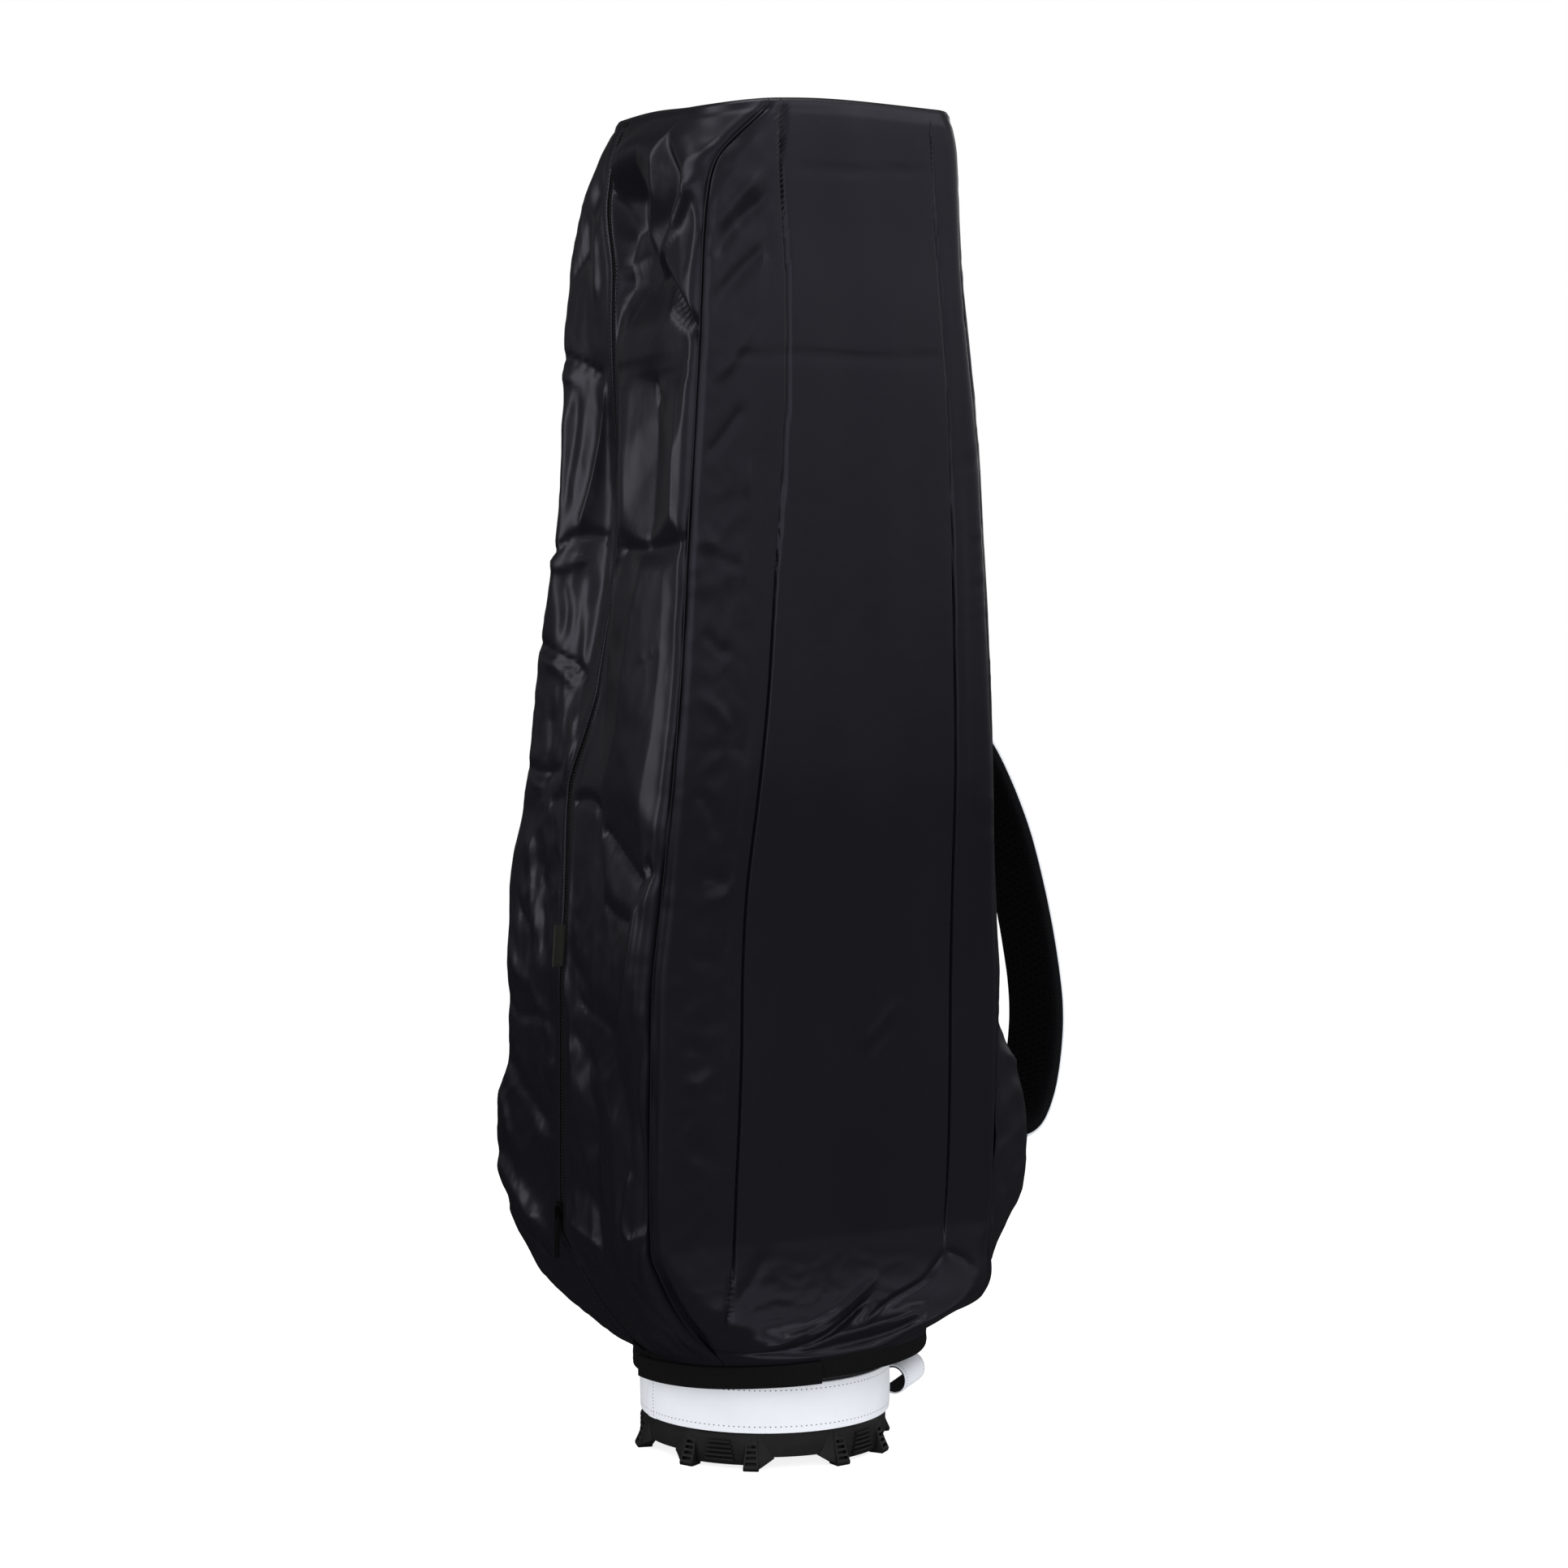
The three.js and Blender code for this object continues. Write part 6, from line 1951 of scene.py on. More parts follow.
@dataclass(frozen=True)
class Cover:
    """The travel cover: five panels round the bag, the top, the strap's ports and the zip."""

    shape: CoverShape = CoverShape()
    panels: tuple[Panel, ...] = PANELS
    ports: tuple[Port, ...] = (
        Port("upper_port_edge", "upper_strap_port_binding", 719.0, 55.7),
        Port("lower_port_edge", "lower_strap_port_binding", 285.0, 69.4),
    )
    crown: float = 10.0
    chain_width: float = 5.4
    tooth_pitch: float = 2.9
    tooth: Size = (4.6, 1.7, 1.7)
    # the coil's depth under the cloth, then the tapes' margin beside it, depth and wall
    coil_depth: float = 0.55
    tape_margin: float = 1.3
    tape_depth: float = 2.0
    tape_wall: float = 1.3
    tape_flat: tuple[float, float] = (0.008, 1.13)
    stitch_gap: float = 4.2
    stitch: Size = (2.9, 0.55, 0.5)
    # each row of stitches: its name, its panel and the panel's column that it follows
    zip_rows: tuple[tuple[str, str, int], ...] = (
        ("zip_stitches_front", "cover_left_front", 2), ("zip_stitches_rear", "cover_left_rear", -3),
    )
    top_flat: tuple[float, float] = (0.27, 0.25)
    top_area: float = 0.056
    top_wall: float = 0.8
    top_seed: int = 21
    # how far the top stands over the panels' upper edge, and dips again at its own
    top_stand: float = 3.4
    top_dip: float = 5.0

    def build(self) -> None:
        """Builds and dresses the cover."""
        sheets = {}
        for panel in self.panels:
            ports = self.ports if panel.square == 360 else ()
            sheets[panel.name] = panel.build(self.shape, ports)
        for port in self.ports:
            port.build()
        self.build_top()
        self.build_zip()
        self.sew(sheets)

    def build_top(self) -> None:
        """Builds and dresses the top panel, sewn into the rolled upper edge."""
        sheet = Sheet("cover_top", 72, 72)
        x, y = 2 * sheet.u - 1, 2 * sheet.v - 1
        disc_x, disc_y = x * np.sqrt(1 - y * y / 2), y * np.sqrt(1 - x * x / 2)
        reach = np.hypot(disc_x, disc_y)
        turn = np.degrees(np.arctan2(disc_y, disc_x)) % 360
        rim_turn, rim = self.rim()
        edge = np.stack([np.interp(turn, rim_turn, rim[:, i], period=360) for i in range(2)], -1)
        middle = np.array([0.0, 0.5 * (rim[:, 1].min() + rim[:, 1].max())])
        flat = middle + reach[..., None] * (edge - middle)
        noise = Noise(self.top_seed)
        rise = self.crown * (1 - reach**2) + 1.4 * noise.creased(flat[..., 0] / 46, flat[..., 1] / 60)
        drop = self.top_dip * eased((reach - 0.94) / 0.06)
        z = self.shape.top + self.top_stand + rise * eased((1 - reach) * 9) - drop
        at = self.shape.hung(np.concatenate([flat, z[..., None]], -1), np.full_like(z, self.shape.top))
        made = sheet.lay(at, self.top_flat)
        thicken(made, self.top_wall)
        dress(made, Finish.COVER_NYLON, replaces=["cover_top_panel"])

    def rim(self) -> tuple[Points, Points]:
        """The rolled edge round the top.

        Returns:
            Angles from its middle, rising, and points.
        """
        points = []
        for quarter, corner in enumerate(("back right", "back left", "front left", "front right")):
            turn = np.radians(np.linspace(90 * quarter, 90 * quarter + 90, 24))
            x, y, radius = self.shape.corner(corner, np.full_like(turn, self.shape.top))
            radius = radius - self.shape.roll * 0.6
            points.append(np.stack([x + radius * np.cos(turn), y + radius * np.sin(turn)], -1))
        rim = np.vstack(points)
        middle = np.array([0.0, 0.5 * (rim[:, 1].min() + rim[:, 1].max())])
        turn = np.degrees(np.arctan2(rim[:, 1] - middle[1], rim[:, 0] - middle[0])) % 360
        order = np.argsort(turn)
        return turn[order], rim[order]

    def build_zip(self) -> None:
        """Builds and dresses the zip's tapes and its coil of teeth."""
        low, high = self.shape.hem - 3, self.shape.top + 1

        def tape(u: Points, v: Points, w: Points) -> Points:
            """Both tapes, as one strip under the coil."""
            z = low + v * (high - low)
            width = self.chain_width + 2 * self.tape_margin
            return self.shape.zip_point((0.5 - u) * width, z, self.tape_wall * w - self.tape_depth)

        strip = to_object(block(2, 240, tape, 0, flat=self.tape_flat), "zip_tapes", CLOTH_SHARP)
        dress(strip, Finish.ZIP_TAPE, replaces=["zip_chain"])
        marks = np.arange(low + 2, high - 2, self.tooth_pitch)
        at = self.shape.zip_point(0.0, marks, -self.coil_depth)
        ahead = self.shape.zip_point(0.0, marks + 1, -self.coil_depth)
        along = unit(ahead - at)
        side = np.tile((0.0, 1.0, 0.0), (len(marks), 1))
        out = unit(np.cross(along, side))
        teeth = beads("zip_coil", at, side, out, self.tooth)
        dress(teeth, Finish.ZIP_COIL, replaces=["zip_chain"])

    def sew(self, sheets: dict[str, Sheet]) -> None:
        """The rows of stitching along both sides of the zip.

        Args:
            sheets: The laid panels by name.
        """
        for name, panel, column in self.zip_rows:
            sheet = sheets[panel]
            line, normal = sheet.points[4:-4, column], sheet.normals[4:-4, column]
            marks = np.arange(6, length_of(line) - 6, self.stitch_gap)
            at, along = along_path(line, marks)
            out = read_off(marks, gone_along(line), normal)
            made = beads(name, at + 0.1 * out, along, out, self.stitch)
            dress(made, Finish.BLACK_THREAD)


@dataclass(frozen=True)
class Hem:
    """The webbing sewn round the cover's foot, split at the zip, and the tab that closes it."""

    inner: float = 136.0
    wall: float = 2.0
    top: float = 103.7
    height: float = 20.0
    split_azimuth: float = -91.0
    split: float = 4.0
    tab_turns: tuple[float, float] = (-99.0, -14.5)
    tab_inner: float = 138.3
    tab_drop: float = 4.0
    tab_wave: float = 0.7
    tab_stand: float = 0.6
    flare: float = 0.9
    sway: float = 0.7
    edge_round: float = 0.55
    seed: int = 31
    stitch: Size = (2.4, 0.6, 0.5)
    # the stitches' pitches, in degrees round the hem and in millimetres up the tab's end
    stitch_turn: float = 1.75
    stitch_rise: float = 3.4
    edge_rows: tuple[float, float] = (3.0, 2.6)

    def build(self, shape: CoverShape) -> None:
        """Builds and dresses the webbing and its tab.

        Args:
            shape: The cover's shape, whose foot the webbing follows.
        """
        noise = Noise(self.seed)
        gap = math.degrees(self.split / 2 / self.inner)

        def band(u: Points, v: Points, w: Points) -> Points:
            """The webbing, from one side of the split round to the other."""
            turn = self.split_azimuth + gap + u * (360 - 2 * gap)
            wave = self.flare * noise.at(turn / 24 + 20, 3 * v) * (1 - 0.5 * v)
            z = self.top - self.height * (1 - v) + self.sway * noise.at(turn / 30 + 50, 0.5)
            at = polar(turn, self.inner + w * self.wall + wave, z)
            return shape.hung(at, at[..., 2])

        length = math.tau * self.inner * MM
        size = (length, self.height * MM)
        webbing = to_object(block(300, 6, band, self.edge_round, 2, flat=size), "hem_webbing", CLOTH_SHARP)
        dress(webbing, Finish.BLACK_WEBBING, replaces=["hem_band"])
        low, high = self.tab_turns

        def tab(u: Points, v: Points, w: Points) -> Points:
            """The tab, laid over the webbing."""
            turn = low + u * (high - low)
            wave = self.tab_wave * noise.at(turn / 26 + 90, 2 * v) * eased(u * 8) * eased((1 - u) * 8)
            z = self.top - self.tab_drop - self.height * (1 - v) + 0.6 * noise.at(turn / 34, 0.2)
            at = polar(turn, self.tab_inner + self.tab_stand + w * self.wall + wave, z)
            return shape.hung(at, at[..., 2])

        run = math.radians(high - low) * self.tab_inner * MM
        size = (run, self.height * MM)
        strip = to_object(block(110, 6, tab, self.edge_round, 2, flat=size), "closure_tab", CLOTH_SHARP)
        dress(strip, Finish.BLACK_WEBBING, "hem_tab", replaces=["hem_closure_tab"])
        self.sew(shape)

    def sew(self, shape: CoverShape) -> None:
        """Sews the webbing's edges, and a box at the tab's end.

        Args:
            shape: The cover's shape.
        """
        low_row, high_row = self.edge_rows
        turns = np.arange(self.split_azimuth + 4, self.split_azimuth + 356, self.stitch_turn)
        ring = [polar(turns, self.inner + self.wall + 0.1, self.top - self.height + rise)
                for rise in (low_row, self.height - high_row)]
        self.lay_stitches("hem_stitches", shape, np.vstack(ring), ROOT_BODY)
        low, high = self.tab_turns
        radius = self.tab_inner + self.tab_stand + self.wall + 0.15
        foot = self.top - self.tab_drop - self.height
        turns = np.arange(low + 2, high - 1, self.stitch_turn)
        levels = np.arange(foot + 3.6, foot + self.height - 3, self.stitch_rise)
        rows = [polar(turns, radius, foot + rise) for rise in (high_row, self.height - high_row)]
        rows += [polar(high - 1.4 - step, radius, levels) for step in (0, 9)]
        self.lay_stitches("tab_stitches", shape, np.vstack(rows), "hem_tab")

    def lay_stitches(self, name: str, shape: CoverShape, at: Points, body: str) -> None:
        """Lays stitches at points round the foot.

        Args:
            name: The piece's name.
            shape: The cover's shape.
            at: The points, before the cover hangs.
            body: The body that they ride on.
        """
        out = unit(at * np.array([1, 1, 0]))
        along = unit(np.cross(np.array([0.0, 0.0, 1.0]), out))
        made = beads(name, shape.hung(at, at[..., 2]), along, out, self.stitch)
        dress(made, Finish.BLACK_THREAD, body)


@dataclass(frozen=True)
class SideTag:
    """The small folded label that stands out of the zip's seam."""

    middle: float = 471.0
    height: float = 38.0
    width: float = 13.0
    wall: float = 0.45
    gap: float = 0.5
    curl: float = 3.0

    def build(self, shape: CoverShape) -> None:
        """Builds and dresses the label.

        Args:
            shape: The cover's shape.
        """
        fold = self.gap + self.wall
        across = smooth_path([(0, fold), (self.width * 0.5, fold), (self.width - fold, fold),
                              (self.width, 0), (self.width - fold, -fold), (self.width * 0.5, -fold),
                              (0, -fold)], 4)
        steps = len(across) - 1

        def place(u: Points, v: Points, w: Points) -> Points:
            """The label, folded along its outer edge."""
            row = across[np.round(u * steps).astype(int)]
            ahead = across[np.minimum(np.round(u * steps).astype(int) + 1, steps)]
            behind = across[np.maximum(np.round(u * steps).astype(int) - 1, 0)]
            along = unit(ahead - behind)
            out = row[:, 0] - along[:, 1] * (w - 0.5) * self.wall
            side = row[:, 1] + along[:, 0] * (w - 0.5) * self.wall
            z = self.middle + (v - 0.5) * self.height
            lean = self.curl * (out / self.width) ** 2 * (1 - 0.4 * v)
            return shape.zip_point(side - shape.zip_half - 1 - lean, z, out)

        size = (2 * self.width * MM, self.height * MM)
        label = to_object(block(steps, 8, place, 0, flat=size), "folded_label", 70)
        dress(label, Finish.SEWN_LABEL, replaces=["side_tag"])


# ---------------------------------------------------------------- base


@dataclass(frozen=True)
class Base:
    """The moulded ring on its five cleat units."""

    ring_radius: float = 113.5
    ring_bottom: float = 11.0
    ring_top: float = 33.0
    wall: float = 3.0
    collar_radius: float = 110.7
    collar_top: float = 61.0
    floor: float = 16.0
    floor_wall: float = 4.0
    units: int = 5
    first_azimuth: float = -51.0
    lug_spread: float = 15.0
    lug_top: float = 9.6
    lug_foot: float = 13.6
    lug_root: float = 5.0
    slots: int = 4
    slot_pitch: float = 4.8
    slot_height: float = 2.6
    slot_depth: float = 3.0
    slot_lowest: float = 6.8
    slot_margin: float = 1.8
    buttress_run: float = 15.0
    web_bottom: float = 4.0
    web_proud: float = 1.8
    badge_ribs: int = 5
    badge_pitch: float = 4.1
    badge_rib: float = 2.2
    badge_proud: float = 2.1
    badge_width: tuple[float, float] = (29.0, 21.0)
    badge_foot: float = 3.4
    badge_taper: float = 1.4
    # the floor's hole, the boss round it, and the ribs under the floor
    floor_hole: float = 12.0
    boss_radius: float = 20.0
    rib_count: int = 10
    rib_start: float = 18.0
    rib_margin: float = 9.0
    rib_width: float = 3.0
    rib_lift: float = 1.2
    rib_height: float = 5.4
    # how far a lug's face stands out of the ring, as (height, distance)
    face_rows: Outline = ((0, 9), (3, 10), (11, 6.2), (23, 2), (33, 0))

    def face_at(self, height: Points) -> Points:
        """How far a lug's face lies from the axis at heights."""
        heights, proud = zip(*self.face_rows)
        return self.ring_radius + np.interp(height, heights, proud)

    def on_ring(self, across: Points, radius: Points, height: Points) -> Points:
        """Points at lengths across, measured round the ring."""
        return polar(np.degrees(across / self.ring_radius), radius, height)

    def cup(self) -> list[BMesh]:
        """The ring wall, its collar, floor plate and the ribs and boss under it.

        Returns:
            Its parts.
        """
        inside = self.collar_radius - self.wall
        floor_top = self.floor + self.floor_wall
        wall = spun([
            (self.floor_hole, self.floor), (self.ring_radius - 13, self.floor),
            (self.ring_radius - 10, self.ring_bottom),
            (self.ring_radius, self.ring_bottom), (self.ring_radius, self.ring_top),
            (self.collar_radius, self.ring_top), (self.collar_radius, self.collar_top),
            (inside, self.collar_top), (inside, floor_top), (self.floor_hole, floor_top),
        ], 160, 0.9)
        low, high = self.floor - 4, self.floor + 2
        boss = spun([(0.01, low), (self.boss_radius, low), (self.boss_radius, high), (0.01, high)], 64, 0.8)
        run = self.ring_radius - self.rib_margin - self.rib_start

        def rib(u: Points, v: Points, w: Points) -> Points:
            """A rib under the floor, running outward."""
            height = self.ring_bottom + self.rib_lift + w * self.rib_height
            return np.stack([self.rib_start + u * run, (v - 0.5) * self.rib_width, height], -1)

        ribs = [turned(block(6, 1, rib, 0.5), 360 * i / self.rib_count) for i in range(self.rib_count)]
        return [wall, boss, *ribs]

    def lug(self) -> BMesh:
        """One upright cleat with its stack of slots, at azimuth 0.

        Returns:
            The lug.
        """
        edges = [0.0, 3.0]
        for i in range(self.slots):
            middle = self.slot_lowest + i * self.slot_pitch
            edges += [middle - self.slot_height / 2, middle + self.slot_height / 2]
        heights = np.array([*edges, 27.5, self.ring_top])
        rows = len(heights) - 1

        def place(u: Points, v: Points, w: Points) -> Points:
            """The lug, with a row at each edge of its slots."""
            z = heights[np.round(v * rows).astype(int)]
            width = np.interp(z, [0, 11, self.ring_top], [self.lug_foot, self.lug_foot - 1, self.lug_top])
            column = np.round(u * 3).astype(int)
            side = np.where(column < 2, -1.0, 1.0)
            reach = width / 2 - np.where((column == 1) | (column == 2), self.slot_margin, 0.0)
            radius = np.where(w > 0.5, self.face_at(z), self.ring_radius - self.lug_root)
            return self.on_ring(side * reach, radius, z)

        lug = block(3, rows, place)
        round_edges(lug, 0.75, 2, 40)
        lug.faces.ensure_lookup_table()
        half = self.lug_top / 2 - self.slot_margin
        slots = []
        for face in lug.faces:
            middle = face.calc_center_median()
            for i in range(self.slots):
                level = self.slot_lowest + i * self.slot_pitch
                if (abs(middle.x) < half / 2 and abs(middle.z - level) < 0.4
                        and -middle.y > self.ring_radius):
                    slots.append(face)
        bmesh.ops.inset_individual(lug, faces=slots, thickness=0.25, depth=-self.slot_depth,
                                   use_even_offset=True)
        return lug

    def buttress(self, side: int) -> BMesh:
        """The triangular flank of a lug.

        Args:
            side: -1 for its left, 1 for its right.

        Returns:
            The flank.
        """
        spread = (self.lug_foot - self.lug_top) / 2

        def place(u: Points, v: Points, w: Points) -> Points:
            """The flank, running out from the lug's side to the ring."""
            z = (1 - v) * u * (self.ring_bottom - 1) + v * (self.ring_top - 1)
            run = self.buttress_run * (1 - v) + v + spread
            face = (1 - u) * (self.face_at(z) - 0.8) + u * (self.ring_radius + 0.2)
            radius = (1 - w) * (self.ring_radius - self.lug_root) + w * face
            return self.on_ring(side * (self.lug_top / 2 - 1 + u * run), radius, z)

        return block(3, 4, place, 0.7, 2, angle=30)

    def unit(self) -> list[BMesh]:
        """Two lugs, their flanks, the web between them and its ribbed badge, at azimuth 0.

        Returns:
            Its parts.
        """
        span = math.radians(self.lug_spread) * self.ring_radius
        face = self.ring_radius + self.web_proud
        levels = np.array([self.web_bottom, 26.0, 29.5, self.ring_top - 0.5])
        reach = np.array([face, face, face - 0.6, self.ring_radius + 0.2])

        def web(u: Points, v: Points, w: Points) -> Points:
            """The plate between the lugs."""
            row = np.round(v * 3).astype(int)
            radius = np.where(w > 0.5, reach[row], self.ring_radius - self.lug_root)
            return self.on_ring((u - 0.5) * 2 * span, radius, levels[row])

        parts = [block(12, 3, web, 0.6, 2, angle=40)]
        for i in range(self.badge_ribs):
            share = i / (self.badge_ribs - 1)
            width = self.badge_width[0] + share * (self.badge_width[1] - self.badge_width[0])
            foot = self.web_bottom + self.badge_foot + i * self.badge_pitch

            def rib(u: Points, v: Points, w: Points, width: float = width, foot: float = foot) -> Points:
                """One rib of the badge, a little narrower at its top."""
                radius = face - 1 + w * (1 + self.badge_proud)
                across = (u - 0.5) * (width - self.badge_taper * v)
                return self.on_ring(across, radius, foot + v * self.badge_rib)

            parts.append(block(6, 1, rib, 0.45, 2, angle=40))
        for side in (-1, 1):
            parts.append(turned(self.lug(), side * self.lug_spread))
            parts.append(turned(self.buttress(side), side * self.lug_spread))
        return parts

    def build(self) -> None:
        """Builds and dresses the base."""
        cup = joined("base_ring", self.cup(), 45)
        dress(cup, Finish.BASE_RUBBER, replaces=["base_moulding"])
        for i in range(self.units):
            parts = [turned(part, self.first_azimuth + 360 * i / self.units) for part in self.unit()]
            cleats = joined(f"cleat_unit_{i + 1}", parts, 40)
            dress(cleats, Finish.BASE_RUBBER, replaces=["base_moulding"])


# ---------------------------------------------------------------- bag body


@dataclass(frozen=True)
class KickBand:
    """The white leather band round the bag's foot, sewn top and bottom and lapped at its seam."""

    inner: float = 113.3
    wall: float = 4.4
    bottom: float = 33.3
    top: float = 78.0
    seam_azimuth: float = -93.0
    hole_pitch: float = 4.6
    hole_rows: tuple[float, float] = (39.6, 72.6)
    hole: Size = (1.8, 1.3, 0.6)
    lap: float = 15.0
    lap_proud: float = 0.9
    seam_pitch: float = 3.2
    belly: float = 0.9

    def reach(self, height: Points) -> Points:
        """The band's radius: it bellies a little.

        Args:
            height: The heights.

        Returns:
            Radii.
        """
        mid = (self.bottom + self.top) / 2
        drawn_in = ((height - mid) / (self.top - mid)) ** 2
        return self.inner + self.wall - self.belly * drawn_in

    def build(self) -> None:
        """Builds and dresses the band."""
        heights = np.linspace(self.bottom + 0.2, self.top - 0.2, 9)
        outer = list(zip(self.reach(heights), heights))
        profile = [(self.inner, self.bottom + 0.2), *outer, (self.inner, self.top - 0.2)]
        band = to_object(spun(profile, 180, 0.9, 3), "kick_band_leather", CLOTH_SHARP)
        dress(band, Finish.WHITE_LEATHER, replaces=["kick_band"])
        half = math.degrees(self.lap / self.inner) / 2

        def lapped(u: Points, v: Points, w: Points) -> Points:
            """The end of the band that laps over its start."""
            z = self.bottom + 0.3 + v * (self.top - self.bottom - 0.6)
            return polar(self.seam_azimuth + (u - 0.5) * 2 * half, self.reach(z) - 0.4 + 1.3 * w, z)

        flap = to_object(block(6, 10, lapped, 0.45, 2), "kick_band_lap", CLOTH_SHARP)
        dress(flap, Finish.WHITE_LEATHER)
        self.sew(half)

    def sew(self, half: float) -> None:
        """Lays the rows of needle holes and the lap's seam as dark dots, which paint the holes' shade.

        Args:
            half: Half the lap's width in degrees.
        """
        count = int(2 * math.pi * self.inner / self.hole_pitch)
        turns = self.seam_azimuth + np.arange(count) * 360 / count
        at, along, out = [], [], []
        for row in self.hole_rows:
            lifted = np.where(np.abs(turns - self.seam_azimuth) < half, self.lap_proud, 0.0)
            at.append(polar(turns, self.reach(row) + lifted - 0.12, row))
            along.append(polar(turns + 90, 1.0, 0.0))
            out.append(polar(turns, 1.0, 0.0))
        heights = np.arange(self.bottom + 4, self.top - 3, self.seam_pitch)
        side = np.full_like(heights, self.seam_azimuth + half - 1.2)
        at.append(polar(side, self.reach(heights) + 0.85, heights))
        along.append(np.tile((0.0, 0.0, 1.0), (len(heights), 1)))
        out.append(polar(side, 1.0, 0.0))
        holes = beads("kick_band_stitches", np.vstack(at), np.vstack(along), np.vstack(out), self.hole)
        dress(holes, Finish.NEEDLE_HOLE_SHADE)


@dataclass(frozen=True)
class BagBody:
    """What the cover hides: the tube, its pockets, partitions, pad and hard parts."""

    tube_radius: float = 113.0
    tube_wall: float = 2.0
    tube_bottom: float = 33.3
    tube_top: float = 868.0
    # (height, how far the cloth stands proud): two seams run round the tube
    tube_levels: Outline = (
        (84, 0), (300, 0), (302.5, 0.3), (305, 0), (590, 0), (592.5, 0.3), (595, 0),
    )
    pocket_rounding: tuple[tuple[str, float], ...] = (
        ("left_ball_pocket", 5), ("back_garment_pocket", 5), ("right_valuables_pocket", 4),
    )
    pad_radius: float = 100.0
    pad_heights: tuple[float, float] = (20.4, 24.2)

    def build(self) -> None:
        """Builds and dresses the bag's hidden pieces."""
        levels = [(self.tube_bottom, 0), *self.tube_levels, (self.tube_top, 0)]
        outer = [(self.tube_radius + proud, z) for z, proud in levels]
        inner = self.tube_radius - self.tube_wall
        tube = to_object(
            spun([(inner, self.tube_bottom), *outer, (inner, self.tube_top)], 128, 0.5), "bag_tube_cloth")
        dress(tube, Finish.BAG_CLOTH, replaces=["bag_tube"])
        for node, rounding in self.pocket_rounding:
            pocket = softened(node, f"{node}_cloth", rounding, 3)
            dress(pocket, Finish.BAG_CLOTH, replaces=[node])
        skirts = softened("club_partitions", "club_partition_cloth", 0.3)
        dress(skirts, Finish.INNER_LINING, replaces=["club_partitions"])
        low, high = self.pad_heights
        profile = [(0.01, low), (self.pad_radius, low), (self.pad_radius, high), (0.01, high)]
        pad = to_object(spun(profile, 96, 1.2, 3), "floor_foam")
        dress(pad, Finish.GREY_FOAM, replaces=["floor_pad"])
        self.finish_hard_parts()

    def finish_hard_parts(self) -> None:
        """Gives the rigid frame nodes their materials."""
        parts = {
            Finish.BLACK_PLASTIC: ["top_cuff", "club_divider", "cuff_grip", "strap_adjuster"],
            Finish.ZIP_COIL: ["left_ball_pocket_zip_chain", "back_garment_pocket_zip_chain",
                            "right_valuables_pocket_zip_chain"],
            Finish.STEEL: ["stay_rod_1", "stay_rod_2", "stay_rod_3", "upper_strap_ring",
                             "lower_strap_ring"],
            Finish.BLACK_ZIP_METAL: ["zip_bottom_stop", "zip_slider", "zip_puller", "left_ball_pocket_slider",
                                   "back_garment_pocket_slider", "right_valuables_pocket_slider"],
        }
        for finish, names in parts.items():
            for name in names:
                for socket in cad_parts[name].material_slots:
                    socket.material = finish.material


# ---------------------------------------------------------------- strap


